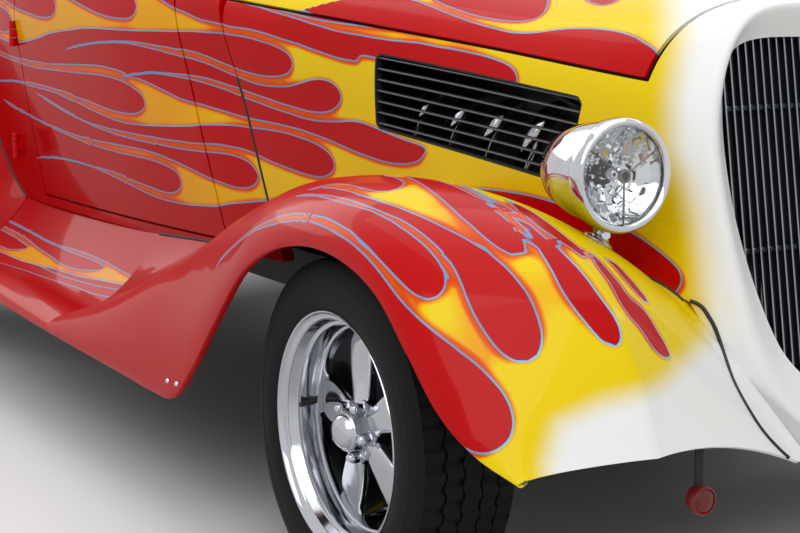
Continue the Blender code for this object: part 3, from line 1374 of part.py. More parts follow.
def make_knuckle():
    """Left knuckle: yoke round the axle's eye, spindle with drum, and steering arm."""
    centre = Vector((KINGPIN_X, 0.0, FRONT_TYRE_RADIUS))
    reach = EYE_HEIGHT / 2.0 + SEAT_GAP
    hub_back = FRONT_TRACK / 2.0 + RIM_WIDTH / 2.0 - HUB_INSET - HUB_LENGTH - SEAT_GAP
    drum_end = hub_back - SPINDLE_RADIUS * 0.4
    spindle = rod("spindle", (KINGPIN_X + EYE_RADIUS * 1.5, 0.0, FRONT_TYRE_RADIUS),
                  (hub_back, 0.0, FRONT_TYRE_RADIUS), SPINDLE_RADIUS, 16)
    drum = rod("drum", (drum_end - DRUM_WIDTH, 0.0, FRONT_TYRE_RADIUS),
               (drum_end, 0.0, FRONT_TYRE_RADIUS), DRUM_RADIUS, 16)
    plate_x = drum_end - DRUM_WIDTH
    thickness = YOKE_HEIGHT
    post = box("post", (plate_x, 0.0, FRONT_TYRE_RADIUS),
               (thickness, 2.0 * EYE_RADIUS, 2.0 * (reach + YOKE_HEIGHT)))
    join(drum, spindle, post)
    for side in (-1.0, 1.0):
        start = centre + Vector((0.0, 0.0, side * reach))
        end = centre + Vector((0.0, 0.0, side * (reach + YOKE_HEIGHT)))
        lug = rod("lug", start, end, EYE_RADIUS, 16)
        bar = box("bar", ((centre.x + plate_x) / 2.0, 0.0, (start.z + end.z) / 2.0),
                  (plate_x - centre.x, 2.0 * EYE_RADIUS * 0.8, YOKE_HEIGHT))
        join(drum, lug, bar)
    arm_z = centre.z - reach - YOKE_HEIGHT / 2.0
    half = ARM_SIZE / 2.0
    sections = []
    for share in (0.0, 0.5, 1.0):
        y = share * ARM_LENGTH
        x = centre.x - share * share * ARM_SIZE
        z = arm_z
        sections.append([(x - half, y, z - half * 0.7), (x + half, y, z - half * 0.7),
                         (x + half, y, z + half * 0.7), (x - half, y, z + half * 0.7)])
    return join(drum, loft("arm", sections))


def tie_rod_end():
    """Where the tie rod hangs on the left steering arm."""
    reach = EYE_HEIGHT / 2.0 + SEAT_GAP + YOKE_HEIGHT / 2.0
    return Vector((KINGPIN_X - ARM_SIZE, ARM_LENGTH - ARM_SIZE / 2.0,
                   FRONT_TYRE_RADIUS - reach - ARM_SIZE * 0.35 - SEAT_GAP))


def make_tie_rod():
    """Rod across the car under both steering arms, with an eye at each end."""
    end = tie_rod_end()
    middle = end.z - TIE_ROD_RADIUS * 1.2
    rod_line = rod("tie_rod", (-end.x, end.y, middle), (end.x, end.y, middle),
                   TIE_ROD_RADIUS, 10)
    for side in (-1.0, 1.0):
        join(rod_line, rod("eye", (side * end.x, end.y, middle - TIE_ROD_RADIUS * 1.2),
                           (side * end.x, end.y, end.z), TIE_ROD_RADIUS * 1.4, 14))
    return rod_line


def make_rear_axle():
    """Rear axle tube with its differential and the brake drums."""
    inner = REAR_TRACK / 2.0 + REAR_RIM_WIDTH / 2.0 - HUB_INSET - HUB_LENGTH - SEAT_GAP
    centre = Vector((0.0, WHEELBASE, REAR_TYRE_RADIUS))
    axle = rod("rear_axle", centre - Vector((inner, 0.0, 0.0)), centre + Vector((inner, 0.0, 0.0)),
               REAR_TUBE_RADIUS, 16)
    outline = [(DIFF_LENGTH * (share - 0.5), DIFF_RADIUS * wide) for share, wide in
               ((0.0, 0.0), (0.0, 0.4), (0.25, 0.9), (0.5, 1.0), (0.75, 0.9), (1.0, 0.4),
                (1.0, 0.0))]
    join(axle, turned("differential", outline, 20, Matrix.Translation(centre)))
    for side in (-1.0, 1.0):
        edge = side * (inner - SPINDLE_RADIUS * 0.4)
        join(axle, rod("drum", centre + Vector((edge - side * DRUM_WIDTH, 0.0, 0.0)),
                       centre + Vector((edge, 0.0, 0.0)), DRUM_RADIUS * 1.05, 16))
        pad = notch_seat()
        join(axle, box("perch", (side * RAIL_X, WHEELBASE,
                                 (centre.z + pad) / 2.0),
                       (RAIL_WIDTH * 0.9, REAR_TUBE_RADIUS, pad - centre.z)))
    return axle


def notch_seat():
    """Top of the rear axle's perches, just below the notch in the rails."""
    return REAR_TYRE_RADIUS + REAR_TUBE_RADIUS * 1.3 - SEAT_GAP


def make_tank():
    """Fuel tank between the rails behind the rear axle."""
    top = cross_top() - RAIL_WIDTH * 0.6 - SEAT_GAP
    return rounded_box("fuel_tank", (0.0, TANK_START + TANK_LENGTH / 2.0, top - TANK_HEIGHT / 2.0),
                       (TANK_WIDTH, TANK_LENGTH, TANK_HEIGHT), TANK_HEIGHT * 0.2)


def make_exhaust():
    """Two pipes with mufflers, joined by a cross pipe, under the cross members."""
    high = cross_top() - RAIL_WIDTH - SEAT_GAP - PIPE_RADIUS
    low = high - PIPE_RADIUS * 3.0
    cone = MUFFLER_RADIUS - PIPE_RADIUS
    stations = (
        (PIPE_START, high, PIPE_RADIUS), (MUFFLER_START - cone, high, PIPE_RADIUS),
        (MUFFLER_START, high, MUFFLER_RADIUS),
        (MUFFLER_START + MUFFLER_LENGTH, high, MUFFLER_RADIUS),
        (MUFFLER_START + MUFFLER_LENGTH + cone, high, PIPE_RADIUS),
        (WHEELBASE - DIFF_RADIUS * 2.4, high, PIPE_RADIUS),
        (WHEELBASE - DIFF_RADIUS * 1.2, low, PIPE_RADIUS), (PIPE_END, low, PIPE_RADIUS),
    )
    left, right = (pipe_along("pipe", [(side * PIPE_X, *station) for station in stations])
                   for side in (1.0, -1.0))
    cross_y = MUFFLER_START - MUFFLER_LENGTH / 2.0
    cross = rod("cross", (-PIPE_X, cross_y, high), (PIPE_X, cross_y, high),
                PIPE_RADIUS * 0.8, 9)
    return join(left, cross, right)


def make_all():
    """Build every piece, hang it from its empty and centre the car."""
    car = make_object("car", None)
    make_wheels(car)
    nose_core = core("nose_core", nose_rows(), SEAT_GAP)
    nose_inner = core("nose_inner", nose_rows(), -NOSE_WALL - SEAT_GAP)
    body_core = core("body_core", body_rows(PANEL_GAP), SEAT_GAP)
    body_inner = core("body_inner", body_rows(2.0 * BODY_WALL)[:-4],
                      -BODY_WALL - SHELL_CLEARANCE)
    body, cowl, roof, door, door_glass, windscreen, rear_window, deck = make_body()
    nose, lid = make_nose()
    add_hinges(body, door)
    add_lid_hinges(cowl, lid, LID_HINGE_X, LID_AXIS_Y, LID_AXIS_Z, (BODY_WALL, NOSE_WALL), 1.0)
    add_lid_hinges(body, deck, DECK_HINGE_X, DECK_AXIS_Y, DECK_AXIS_Z, (BODY_WALL, BODY_WALL),
                   -1.0)
    body_parts = ((body, "rear_body", "red_paint"), (cowl, "cowl", "red_paint"),
                  (roof, "roof", "red_paint"), (nose, "nose", "red_paint"),
                  (windscreen, "windscreen", "clear_glass"),
                  (rear_window, "rear_window", "clear_glass"))
    fenders = make_fenders(nose_core, body_core)
    lamps = make_lamps(fenders)
    bpy.data.objects.remove(fenders[1][1], do_unlink=True)
    fenders = [piece for piece, _ in fenders]
    frame, floor, firewall = make_frame(body_inner)
    seat, dash, wheel = make_cabin(body_inner)
    engine, radiator = make_engine()
    fixed = (*body_parts, (make_grille(nose_inner), "grille_bars", "chrome"),
             (frame, "frame", "black_metal"), (floor, "floor_pan", "black_metal"),
             (firewall, "firewall", "red_paint"), (seat, "seat", "tan_leather"),
             (dash, "dashboard", "red_paint"), (wheel, "steering_wheel", "black_metal"),
             (engine, "engine_block", "black_metal"), (radiator, "radiator", "black_metal"),
             (make_front_axle(), "front_axle", "black_metal"),
             (make_rear_axle(), "rear_axle", "black_metal"),
             (make_tank(), "fuel_tank", "black_metal"),
             (make_exhaust(), "exhaust", "polished_metal"))
    for item, name, finish in fixed:
        settle(car, item, name, finish)
    for item, name, finish in ((fenders[0], "front_fender", "red_paint"),
                               (fenders[1], "running_board", "red_paint"),
                               (fenders[2], "rear_fender", "red_paint"),
                               (lamps[0], "headlamp", "chrome"),
                               (lamps[1], "turn_signal", "amber_lens"),
                               (lamps[2], "tail_lamp", "red_lens")):
        settle(car, mirrored(item, name), f"{name}_right", finish)
        settle(car, item, f"{name}_left", finish)

    for side, sign in (("left", 1.0), ("right", -1.0)):
        place = Vector((sign * DOOR_AXIS_X, DOOR_AXIS_Y, BODY_WALL))
        pivot = pivot_empty(car, f"door_{side}_axis", place)
        for item, name, finish in ((door, "door", "red_paint"),
                                   (door_glass, "door_glass", "clear_glass")):
            piece = duplicate(item, name) if sign > 0.0 else mirrored(item, name)
            settle(car, piece, f"{name}_{side}", finish, pivot)
    for item in (door, door_glass):
        bpy.data.objects.remove(item, do_unlink=True)
    pivot = pivot_empty(car, "hood_top_axis", Vector((0.0, LID_AXIS_Y, LID_AXIS_Z)))
    settle(car, lid, "hood_top", "red_paint", pivot)
    pivot = pivot_empty(car, "deck_lid_axis", Vector((0.0, DECK_AXIS_Y, DECK_AXIS_Z)))
    settle(car, deck, "deck_lid", "red_paint", pivot)
    knuckle = make_knuckle()
    for side, sign in (("left", 1.0), ("right", -1.0)):
        place = Vector((sign * KINGPIN_X, 0.0, FRONT_TYRE_RADIUS))
        pivot = pivot_empty(car, f"knuckle_{side}_axis", place)
        piece = duplicate(knuckle, "knuckle") if sign > 0.0 else mirrored(knuckle, "knuckle")
        settle(car, piece, f"knuckle_{side}", "black_metal", pivot)
    bpy.data.objects.remove(knuckle, do_unlink=True)
    pivot = pivot_empty(car, "tie_rod_axis", tie_rod_end())
    settle(car, make_tie_rod(), "tie_rod", "black_metal", pivot)
    for item in (nose_core, nose_inner, body_core, body_inner):
        bpy.data.objects.remove(item, do_unlink=True)
    centre_car(car)


def centre_car(car):
    """Put the middle of the footprint at the origin and the lowest point on the floor."""
    bpy.context.view_layer.update()
    low, high = Vector([math.inf] * 3), Vector([-math.inf] * 3)
    for item in car.children_recursive:
        if item.type != "MESH":
            continue
        for vertex in item.data.vertices:
            point = item.matrix_world @ vertex.co
            for axis in range(3):
                low[axis] = min(low[axis], point[axis])
                high[axis] = max(high[axis], point[axis])
    car.location = (-(low.x + high.x) / 2.0, -(low.y + high.y) / 2.0, -low.z)


clear_scene()
bpy.context.scene.collection.children.link(bpy.data.collections.new("hot_rod"))
make_materials()
make_all()
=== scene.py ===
import json
import logging
import math
from dataclasses import dataclass, field
from enum import Enum
from typing import Callable, ClassVar, Iterable, Sequence

import bmesh
import bpy
import numpy as np
from mathutils import Matrix, Vector
from mathutils.bvhtree import BVHTree
from mathutils.kdtree import KDTree

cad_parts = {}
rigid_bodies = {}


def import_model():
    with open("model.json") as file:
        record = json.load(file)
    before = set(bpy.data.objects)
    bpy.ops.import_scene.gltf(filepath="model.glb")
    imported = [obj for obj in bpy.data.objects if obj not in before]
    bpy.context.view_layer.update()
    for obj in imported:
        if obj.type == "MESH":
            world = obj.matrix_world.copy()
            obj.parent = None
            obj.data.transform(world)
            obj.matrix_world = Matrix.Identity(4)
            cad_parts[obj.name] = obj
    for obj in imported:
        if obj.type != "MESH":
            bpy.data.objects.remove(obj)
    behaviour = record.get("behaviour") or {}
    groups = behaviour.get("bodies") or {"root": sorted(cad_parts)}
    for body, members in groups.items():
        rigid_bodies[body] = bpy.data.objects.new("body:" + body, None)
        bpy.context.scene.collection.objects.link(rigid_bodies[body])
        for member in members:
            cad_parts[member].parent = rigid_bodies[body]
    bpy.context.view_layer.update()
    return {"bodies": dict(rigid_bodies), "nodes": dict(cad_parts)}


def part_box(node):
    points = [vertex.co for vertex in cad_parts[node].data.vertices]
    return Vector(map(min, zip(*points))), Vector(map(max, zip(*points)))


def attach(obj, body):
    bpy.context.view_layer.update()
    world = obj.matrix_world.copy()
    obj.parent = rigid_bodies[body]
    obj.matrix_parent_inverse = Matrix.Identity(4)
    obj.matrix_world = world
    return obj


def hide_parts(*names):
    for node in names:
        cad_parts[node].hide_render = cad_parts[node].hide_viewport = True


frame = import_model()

LOG = logging.getLogger("hot_rod")

# Sizes of the car, with the front axle at y = 0; the CAD's frame is moved along by CAR_Y.
CAR_Y = sum(corner.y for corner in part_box("rim_front_left")) / 2.0
HALF_WIDTH = 0.860
BODY_START = 0.955
BODY_LENGTH = 2.300
BODY_HALF_WIDTH = 0.665
ROOF_HEIGHT = 1.445
NOSE_TOP = 1.020
NOSE_HALF_WIDTH = 0.550
SILL_HEIGHT = 0.450
FENDER_TAIL = 1.300
FENDER_TOP = 0.725
WHEELBASE = 2.845
REAR_FENDER_LENGTH = 1.260
REAR_FENDER_TOP = 0.850
BOARD_END = 2.140
PANEL_GAP = 0.006
NOSE_SEAM = 0.009
DOOR_REACH = 0.300
BODY_WALL = 0.030
NOSE_WALL = 0.007
FENDER_WALL = 0.006
GLASS_WALL = 0.005
GLASS_INSET = 0.012

# Sections of the nose: y at chin and top, then (x, z) of six points, in shares.
NOSE_SECTIONS = (
    (-0.369, -0.262, (0.055, 0.338), (0.227, 0.436), (0.349, 0.627),
     (0.375, 0.814), (0.300, 0.922), (0.000, 0.936)),
    (-0.417, -0.298, (0.091, 0.265), (0.318, 0.397), (0.433, 0.608),
     (0.455, 0.814), (0.309, 0.966), (0.000, 0.988)),
    (-0.403, -0.274, (0.127, 0.250), (0.391, 0.407), (0.495, 0.627),
     (0.504, 0.833), (0.336, 0.971), (0.000, 1.000)),
    (-0.356, -0.225, (0.200, 0.240), (0.491, 0.431), (0.564, 0.647),
     (0.545, 0.851), (0.364, 0.971), (0.000, 1.005)),
    (-0.209, -0.105, (0.545, 0.245), (0.627, 0.471), (0.636, 0.686),
     (0.585, 0.877), (0.391, 0.971), (0.000, 1.012)),
    (0.157, 0.241, (0.655, 0.245), (0.718, 0.490), (0.736, 0.706),
     (0.687, 0.904), (0.455, 0.992), (0.000, 1.029)),
    (0.503, 0.607, (0.736, 0.245), (0.809, 0.490), (0.840, 0.725),
     (0.833, 0.941), (0.545, 1.025), (0.000, 1.054)),
    (0.805, 1.022, (0.800, 0.245), (0.887, 0.490), (0.945, 0.745),
     (1.000, 0.975), (0.636, 1.054), (0.000, 1.078)),
)
# Sections of the body: y at sill, belt and roof; x at sill, waist, belt and rail; z at
# sill, belt, rail and roof centre, in shares.
BODY_SECTIONS = (
    (-0.074, -0.011, -0.006, 0.744, 0.805, 0.830, 0.541, 0.311, 0.692, 0.740, 0.761),
    (0.020, 0.076, 0.085, 0.797, 0.869, 0.890, 0.684, 0.311, 0.700, 0.751, 0.770),
    (0.176, 0.193, 0.178, 0.860, 0.944, 0.953, 0.752, 0.311, 0.707, 0.936, 0.969),
    (0.367, 0.367, 0.350, 0.902, 0.985, 0.995, 0.774, 0.311, 0.713, 0.958, 1.000),
    (0.498, 0.498, 0.489, 0.907, 0.992, 1.000, 0.764, 0.311, 0.714, 0.952, 0.994),
    (0.611, 0.611, 0.615, 0.865, 0.965, 0.977, 0.707, 0.311, 0.706, 0.917, 0.952),
    (0.707, 0.707, 0.698, 0.789, 0.880, 0.925, 0.647, 0.311, 0.682, 0.747, 0.779),
    (0.815, 0.815, 0.815, 0.737, 0.810, 0.836, 0.526, 0.311, 0.626, 0.682, 0.702),
    (0.911, 0.911, 0.915, 0.684, 0.740, 0.722, 0.436, 0.313, 0.536, 0.585, 0.602),
    (0.965, 0.967, 0.970, 0.632, 0.662, 0.639, 0.361, 0.320, 0.436, 0.467, 0.478),
    (0.993, 0.996, 0.998, 0.594, 0.609, 0.594, 0.331, 0.335, 0.360, 0.367, 0.370),
)
DOOR = ((0.020, 0.331), (0.071, 0.685), (0.085, 0.716), (0.181, 0.907), (0.215, 0.924),
        (0.402, 0.931), (0.430, 0.914), (0.439, 0.713), (0.438, 0.331))
DOOR_WINDOW = ((0.117, 0.737), (0.200, 0.896), (0.218, 0.904), (0.396, 0.911),
               (0.416, 0.898), (0.420, 0.737))
COWL = ((-0.150, 0.200), (0.063, 0.200), (0.063, 0.400), (0.106, 0.400), (0.106, 0.723),
        (0.063, 0.803), (0.030, 0.900), (-0.150, 0.900))
ROOF = ((0.106, 0.723), (0.672, 0.723), (0.741, 0.830), (0.741, 1.100), (0.030, 1.100),
        (0.030, 0.900), (0.063, 0.803))
DECK = ((0.7340, 0.700), (0.7600, 0.830), (0.9900, 0.830), (1.0300, 0.480),
        (0.9400, 0.425), (0.8000, 0.600))
SCREEN = ((-0.92, 0.787), (0.92, 0.787), (1.00, 0.800), (1.00, 0.905), (0.94, 0.927),
          (0.40, 0.938), (-0.40, 0.938), (-0.94, 0.927), (-1.00, 0.905), (-1.00, 0.800))
SCREEN_HALF_WIDTH = 0.445
REAR_WINDOW = ((-0.90, 0.812), (0.90, 0.812), (1.00, 0.825), (1.00, 0.880),
               (0.85, 0.902), (-0.85, 0.902), (-1.00, 0.880), (-1.00, 0.825))
REAR_WINDOW_HALF_WIDTH = 0.270
DECK_FACE = ((-0.62, 0.300), (0.62, 0.300), (0.80, 0.470), (1.00, 0.640), (1.00, 0.900),
             (-1.00, 0.900), (-1.00, 0.640), (-0.80, 0.470))
DECK_HALF_WIDTH = 0.400
UNDERSIDE = ((-0.455, 0.225), (-0.361, 0.240), (-0.351, 0.332), (-0.340, 0.412),
             (-0.331, 0.490), (-0.317, 0.517), (-0.262, 0.534), (-0.199, 0.554),
             (1.150, 0.544), (1.150, 0.080), (-0.455, 0.080))
LID = ((-0.209, 0.8725), (1.100, 0.9950), (1.100, 1.200), (-0.209, 1.200))
LID_GAP = 0.012
VENT = ((-0.062, 0.698), (0.000, 0.690), (0.486, 0.744), (0.497, 0.754), (0.497, 0.880),
        (0.482, 0.888), (-0.060, 0.836), (-0.073, 0.824))
SEAM = ((0.880, 0.563), (1.000, 0.980))
# Fender sections: lip y, z, x; crown y, z, x; seam y, z, x, in shares.
FRONT_FENDER = (
    (1.000, 0.348, 0.988, 1.000, 0.403, 0.884, 1.000, 0.640, 0.651),
    (0.815, 0.345, 0.992, 0.815, 0.497, 0.878, 0.815, 0.640, 0.628),
    (0.646, 0.342, 0.995, 0.654, 0.607, 0.870, 0.677, 0.680, 0.581),
    (0.508, 0.339, 0.998, 0.531, 0.690, 0.863, 0.585, 0.759, 0.558),
    (0.423, 0.353, 1.000, 0.438, 0.772, 0.855, 0.508, 0.789, 0.541),
    (0.350, 0.455, 1.000, 0.354, 0.844, 0.840, 0.415, 0.797, 0.523),
    (0.265, 0.607, 1.000, 0.262, 0.910, 0.823, 0.323, 0.800, 0.505),
    (0.173, 0.756, 1.000, 0.165, 0.966, 0.805, 0.223, 0.803, 0.486),
    (0.077, 0.836, 1.000, 0.065, 0.993, 0.786, 0.115, 0.806, 0.467),
    (-0.023, 0.866, 1.000, -0.038, 1.000, 0.767, 0.008, 0.807, 0.449),
    (-0.115, 0.852, 1.000, -0.138, 0.988, 0.749, -0.092, 0.800, 0.430),
    (-0.196, 0.800, 1.000, -0.231, 0.954, 0.726, -0.165, 0.783, 0.413),
    (-0.265, 0.697, 0.998, -0.308, 0.897, 0.702, -0.215, 0.752, 0.384),
    (-0.323, 0.593, 0.988, -0.369, 0.800, 0.684, -0.250, 0.690, 0.349),
    (-0.377, 0.527, 0.967, -0.415, 0.662, 0.669, -0.286, 0.566, 0.291),
    (-0.419, 0.474, 0.919, -0.446, 0.499, 0.657, -0.327, 0.361, 0.174),
)
REAR_FENDER = (
    (-0.556, 0.335, 0.988, -0.556, 0.388, 0.884, -0.556, 0.546, 0.686),
    (-0.444, 0.341, 1.002, -0.444, 0.518, 0.884, -0.460, 0.612, 0.680),
    (-0.373, 0.400, 1.009, -0.373, 0.659, 0.874, -0.397, 0.729, 0.674),
    (-0.302, 0.529, 1.012, -0.294, 0.812, 0.858, -0.317, 0.835, 0.663),
    (-0.206, 0.682, 1.012, -0.190, 0.929, 0.840, -0.222, 0.918, 0.645),
    (-0.087, 0.776, 1.012, -0.079, 0.991, 0.821, -0.103, 0.959, 0.626),
    (0.032, 0.791, 1.012, 0.040, 1.000, 0.805, 0.016, 0.959, 0.605),
    (0.143, 0.741, 1.009, 0.159, 0.959, 0.786, 0.127, 0.918, 0.581),
    (0.238, 0.635, 1.000, 0.262, 0.865, 0.763, 0.230, 0.824, 0.556),
    (0.317, 0.506, 0.983, 0.341, 0.729, 0.735, 0.298, 0.706, 0.530),
    (0.381, 0.412, 0.948, 0.401, 0.565, 0.707, 0.341, 0.565, 0.507),
    (0.429, 0.353, 0.890, 0.444, 0.388, 0.680, 0.373, 0.400, 0.483),
)
BOARD = ((0.000, 0.561, 0.649, 1.031), (0.500, 0.594, 0.692, 1.031),
         (1.000, 0.633, 0.733, 1.031))

# How a fender's section runs: lengths of its parts, the fall from crown to seam, the flange
# beyond the seam and the rolled hem below the lip.
OUTER_RUN = 0.16
INNER_RUN = 0.32
FLANGE_RUN = 0.03
FALL_POWER = 1.8
FLANGE = (-0.034, 0.017, 0.0)
HEM = ((-0.016, 0.0, 0.001), (-0.008, 0.0, -0.004), (-0.002, 0.0, -0.003))

# How the body's section runs between its given heights, in shares.
WAIST_WAY = 0.6
RAIL_WAY = 0.6
ROOF_POINT = (0.55, 0.8)

# A corner of a sheet is taken as inside when it lies closer than this to a cut.
LEAST_LEVEL = 2e-5

# Longest thin tail of a flame, in pixels, and the pairs of facing points that one needs.
LONGEST_TAIL = 170.0
FEWEST_PAIRS = 6

# Flame borders as the camera sees them, in pixels of an 800 x 533 picture. A bar marks a
# pointed tip: the run before it ends there and the next run starts there.
SIDE_FLAME = """
1000,700 1000,-200 640,-200 640,68 600,60 500,45 400,30 320,20 245,0 225,-6 | 245,3 260,7
270,10.5 285,15 300,19.5 310,23 320,26 330,29 340,31.5 350,33.5 360,35 370,37 380,38.5 390,40
400,41 410,42 420,43 430,45 440,47 450,48.5 470,52.5 485,56 500,61 510,66 515,72 517,78 516,83
500,90 430,75 360,56 357,61 350,60.5 340,58.5 330,55.5 320,52 310,48.5 300,44.5 290,41.5
280,38.5 270,35 260,32 250,29.5 240,28 230,26.5 220,24 207,21 200,19.3 193,16.4 184,12 177,9.3
170,5.7 163,1 150,-8 135,-17 115,-25 90,-31 60,-35 30,-36 | 60,-32 90,-26 110,-19 125,-11 132,-5
135,0 136,3.6 136.4,8.6 134.3,13.6 130.7,17.4 125.7,18.6 120,18.6 110,17.1 100,14.3 90,9.7
80,4.3 73.6,.7 60,-8 45,-15 25,-20 5,-22 | 25,-17 40,-12 50,-6 54,0 55.5,5 55.5,10 53.5,14 50,17
44,17.5 37,16.4 30,13.6 20,10 10.7,4.3 0,-3 -15,-12 -30,-17 -50,-20 | -30,-14 -15,-5 0,6 5,9
9,14 11.5,20 11.5,26 9,31 4,32 0,31 -10,28 -25,21 -45,14 -70,10 | -45,17 -25,26 -10,33 0,37.9
5,40 11.4,41.9 18.6,42.4 27,41 37,37.9 50,33 60,31 70,29.7 80,28.3 91.4,27.9 110,29 130,30.3
150,30.6 170,31.1 190,31.1 200,31.7 210,32.4 220,33 230,34.5 240,36 250,38 260,41 270,44
280,48.5 287,53 292,60 292,67 288,73 280,76 270,76.5 260,75.5 250,73 240,70 230,66 220,62
207,56.4 200,54 193,51.7 185.7,50.3 180,50 170,48.3 160,46.4 150,44.6 140,42.9 132,41.9 120,41.3
110,41.3 100,41.8 90,43 84,44 75,46 67,48.9 | 75,47 84,45 90,44 100,42.8 110,42.5 120,42.7
130,43.6 140,45.4 150,47.9 160,50.3 170,53.1 180,55.7 193,58.9 207,63.3 220,69 230,73.5 240,77.5
250,81.5 260,84.5 270,86 280,86.5 290,86 300,83 310,80 320,79 330,81.5 336,86 340,92 341,98
339,104 334,109 327,112 320,112.5 310,111.5 300,109 290,106 280,103 270,99.5 260,96 250,92.5
240,89 230,86 220,82.5 207,78.6 200,77.1 190,75.6 180,74.6 170,73.4 160,72.6 150,72.1 137,73.5
128.6,74.5 123,76.9 | 128.6,75.5 137,74.5 150,73.3 160,73.9 170,75.3 180,77 190,78.9 200,81.4
207,83.3 220,87.5 230,91 240,95.5 250,99.5 260,103 270,107 280,110.5 290,113.5 300,117 310,119.5
320,121 330,121.5 340,121.5 350,121 360,122 400,138 424,147 426,150 423,156 418,161 410,163.5
400,164 390,163 380,160.5 370,157 360,153.5 350,149.5 340,145 330,140.5 320,136.5 310,133
300,129.5 290,127 280,124.5 270,122.5 260,120.5 250,118.5 240,116 230,113 220,110 207,106.1
200,104 190,101.7 180,98.6 170,93.6 160,88.6 150,83.6 140,79.3 130,75.7 120,71.1 108.6,67.9
100,66 90,65.1 80,64.7 70,64.6 60,64.3 50,63.9 40,62.9 30,61.4 20,59.3 10,56.4 0,52.1 -15,46
-35,40 | -15,48 0,54 10,58.6 20,62.1 30,65.4 40,67.9 50,69.4 60,70.7 70,71.9 80,72.9 90,73.9
100,75 110,77.1 120,80.3 130,85.4 137,90.7 141.4,94.3 144.3,100 145,105 142.9,109.7 137.9,112.9
131.4,113.9 124.3,113.1 114.3,111.1 105.7,108.3 90,101.7 80,98.3 70,94.6 60,91.1 50,87.9 40,85.4
30,83.2 20,81.4 10,80.3 0,80 -20,80 | 0,81 10,81.3 20,82.6 30,85 40,87.6 50,90.3 60,94 70,98.6
80,103.6 90,108.9 100,113.6 110,117.9 120,121.4 130,123.6 140,124.7 150,125.3 160,125.7 170,126
190,125.8 203,124.7 215,124.6 230,125 240,126 250,127.5 260,128.5 270,130 280,131.5 290,134
300,137.5 310,141 320,146 328,152 333,159 334.5,166 332,172 326,176 318,177 310,175.5 300,172.5
290,169 280,165 270,161 260,156 250,151.5 240,148.5 230,146.5 220,144.6 205.7,143.8 190,142.9
180,141.4 170,140.1 160,138.5 150,137.1 140,135.4 130,133.6 120,131.4 110,129.3 100,126.4
90,123.2 80,118.5 70,113.2 60,107.5 50,101.3 43,96.7 37.4,93.6 | 43,97.3 50,102.1 60,108.3
70,114 80,119.3 90,124 100,127.9 110,131.7 120,135 130,137.8 140,140.3 150,142.4 160,144.6
170,146.6 180,148.6 190,150 205.7,151.8 220,153 230,154.5 240,157.5 250,163 255,169 258.5,176
257,182 252,186.5 245,188 236,187.5 228,185 213,179.3 207,176.9 200,173.6 190,168.6 180,163.6
170,159.3 160,155 150,151.7 140,149.1 130,147.1 120,145.2 110,143.3 100,141.4 90,139.3 80,136.9
70,133.6 60,129.6 50,125.3 40,120.3 30,115 20,109.6 10,103.6 5,100.3 | 10,104.4 20,110.4
30,115.8 40,121.1 50,126.1 60,130.8 70,135.3 80,139.7 90,143.6 100,147.1 110,150 120,152.8
130,155 140,157.1 150,159.5 160,162.9 170,167.4 175.7,171.4 179.7,177.1 181.1,182.9 180.3,187.9
176.4,191.7 170.7,193.1 164.3,192.1 150,186.9 140,183.1 130,179.3 120,175 110,171.4 100,168.5
90,165.3 80,162.2 70,159.5 60,157.5 50,156.8 37.9,157.4 | 50,157.8 60,158.7 70,160.4 80,163
90,166.1 100,169.7 110,174 120,178.9 130,184.3 140,189.5 150,194.4 160,198.3 170,201.1 180,203.1
190,204.6 200,205.3 217,206 230,203.5 250,202 270,200 285,198 300,200 330,215 420,240 560,300
640,330 720,400 1000,700
"""
LAMP_HOLE = """
425,187 440,188 460,188.5 485,189 500,190.5 520,193.5 540,198 563,205 590,214 615,224 633,233
650,244 665,256 673,263 679,270 681.5,278 680,286 674,293 655,290 645,287 632,281 610,270
580,252 550,235 520,215 500,205 480,198 460,191.5 440,188.8 425,187 |
"""
# The fender's flame; its last points run off the fender, past its inner and front sides.
FENDER_FLAME = """
437,425 440,422 445,430 455,441 465,448 475,452.5 485,453.5 495,451 503,446 510,438 513,428
513,418 510,406 505,396 500,388.5 490,377.5 480,367.5 470,359 460,351.5 450,343.5 440,336
430,328 420,319.5 410,310 400,299 390,286 380,272.5 370,260.5 360,250.5 350,242 340,235.5
330,229.5 320,225 310,221.5 300,219.5 290,219.5 280,221 270,224 260,227.5 250,233 240,241
230,250 220,261 214,272 | 220,260.4 230,249.4 240,240.2 250,232 260,226 270,221.5 280,217.5
290,215.5 300,214.5 310,215 320,216.5 330,219.5 340,225 350,231 360,240 370,249.5 380,260.5
390,271 400,281.5 410,291 420,297 430,299.5 437,297 443,291 445.5,283 444,273 440,264 433,254
425,245.5 415,237 405,229.5 395,222.5 385,217 375,212 365,208.5 355,205.5 345,202.5 335,199.5
325,197 315,195.7 305,195.3 295,196.5 | 305,194.7 315,194.9 325,195.6 335,197.3 345,199.6
355,202.5 365,205.8 375,209.5 385,213.5 395,217.5 405,222.7 415,229 425,236.5 435,245 445,255.5
450,262 456,272 461,283 466,296 471,308 476,318 482,328 488,337 495,346 503,354 512,360 522,362
530,361 537,356 541,347 542,335 539,321 534,307 527,293 518,281 508,269.5 498,260.5 488,252.5
478,246 468,240 458,234.5 448,229.5 440,225.5 430,220.5 420,216 410,212 400,208 390,204.5
380,201 370,198 360,195 350,191.5 335,188.5 325,188 315,188.5 308,190 | 320,186.5 330,184.5
340,184 350,185 360,187.5 370,190 380,191.5 390,191 397,189 402,186 404,183 400,180 393,177
385,175.5 375,165 385,130 760,130 1000,200 1000,600 700,560 500,500 437,425
"""
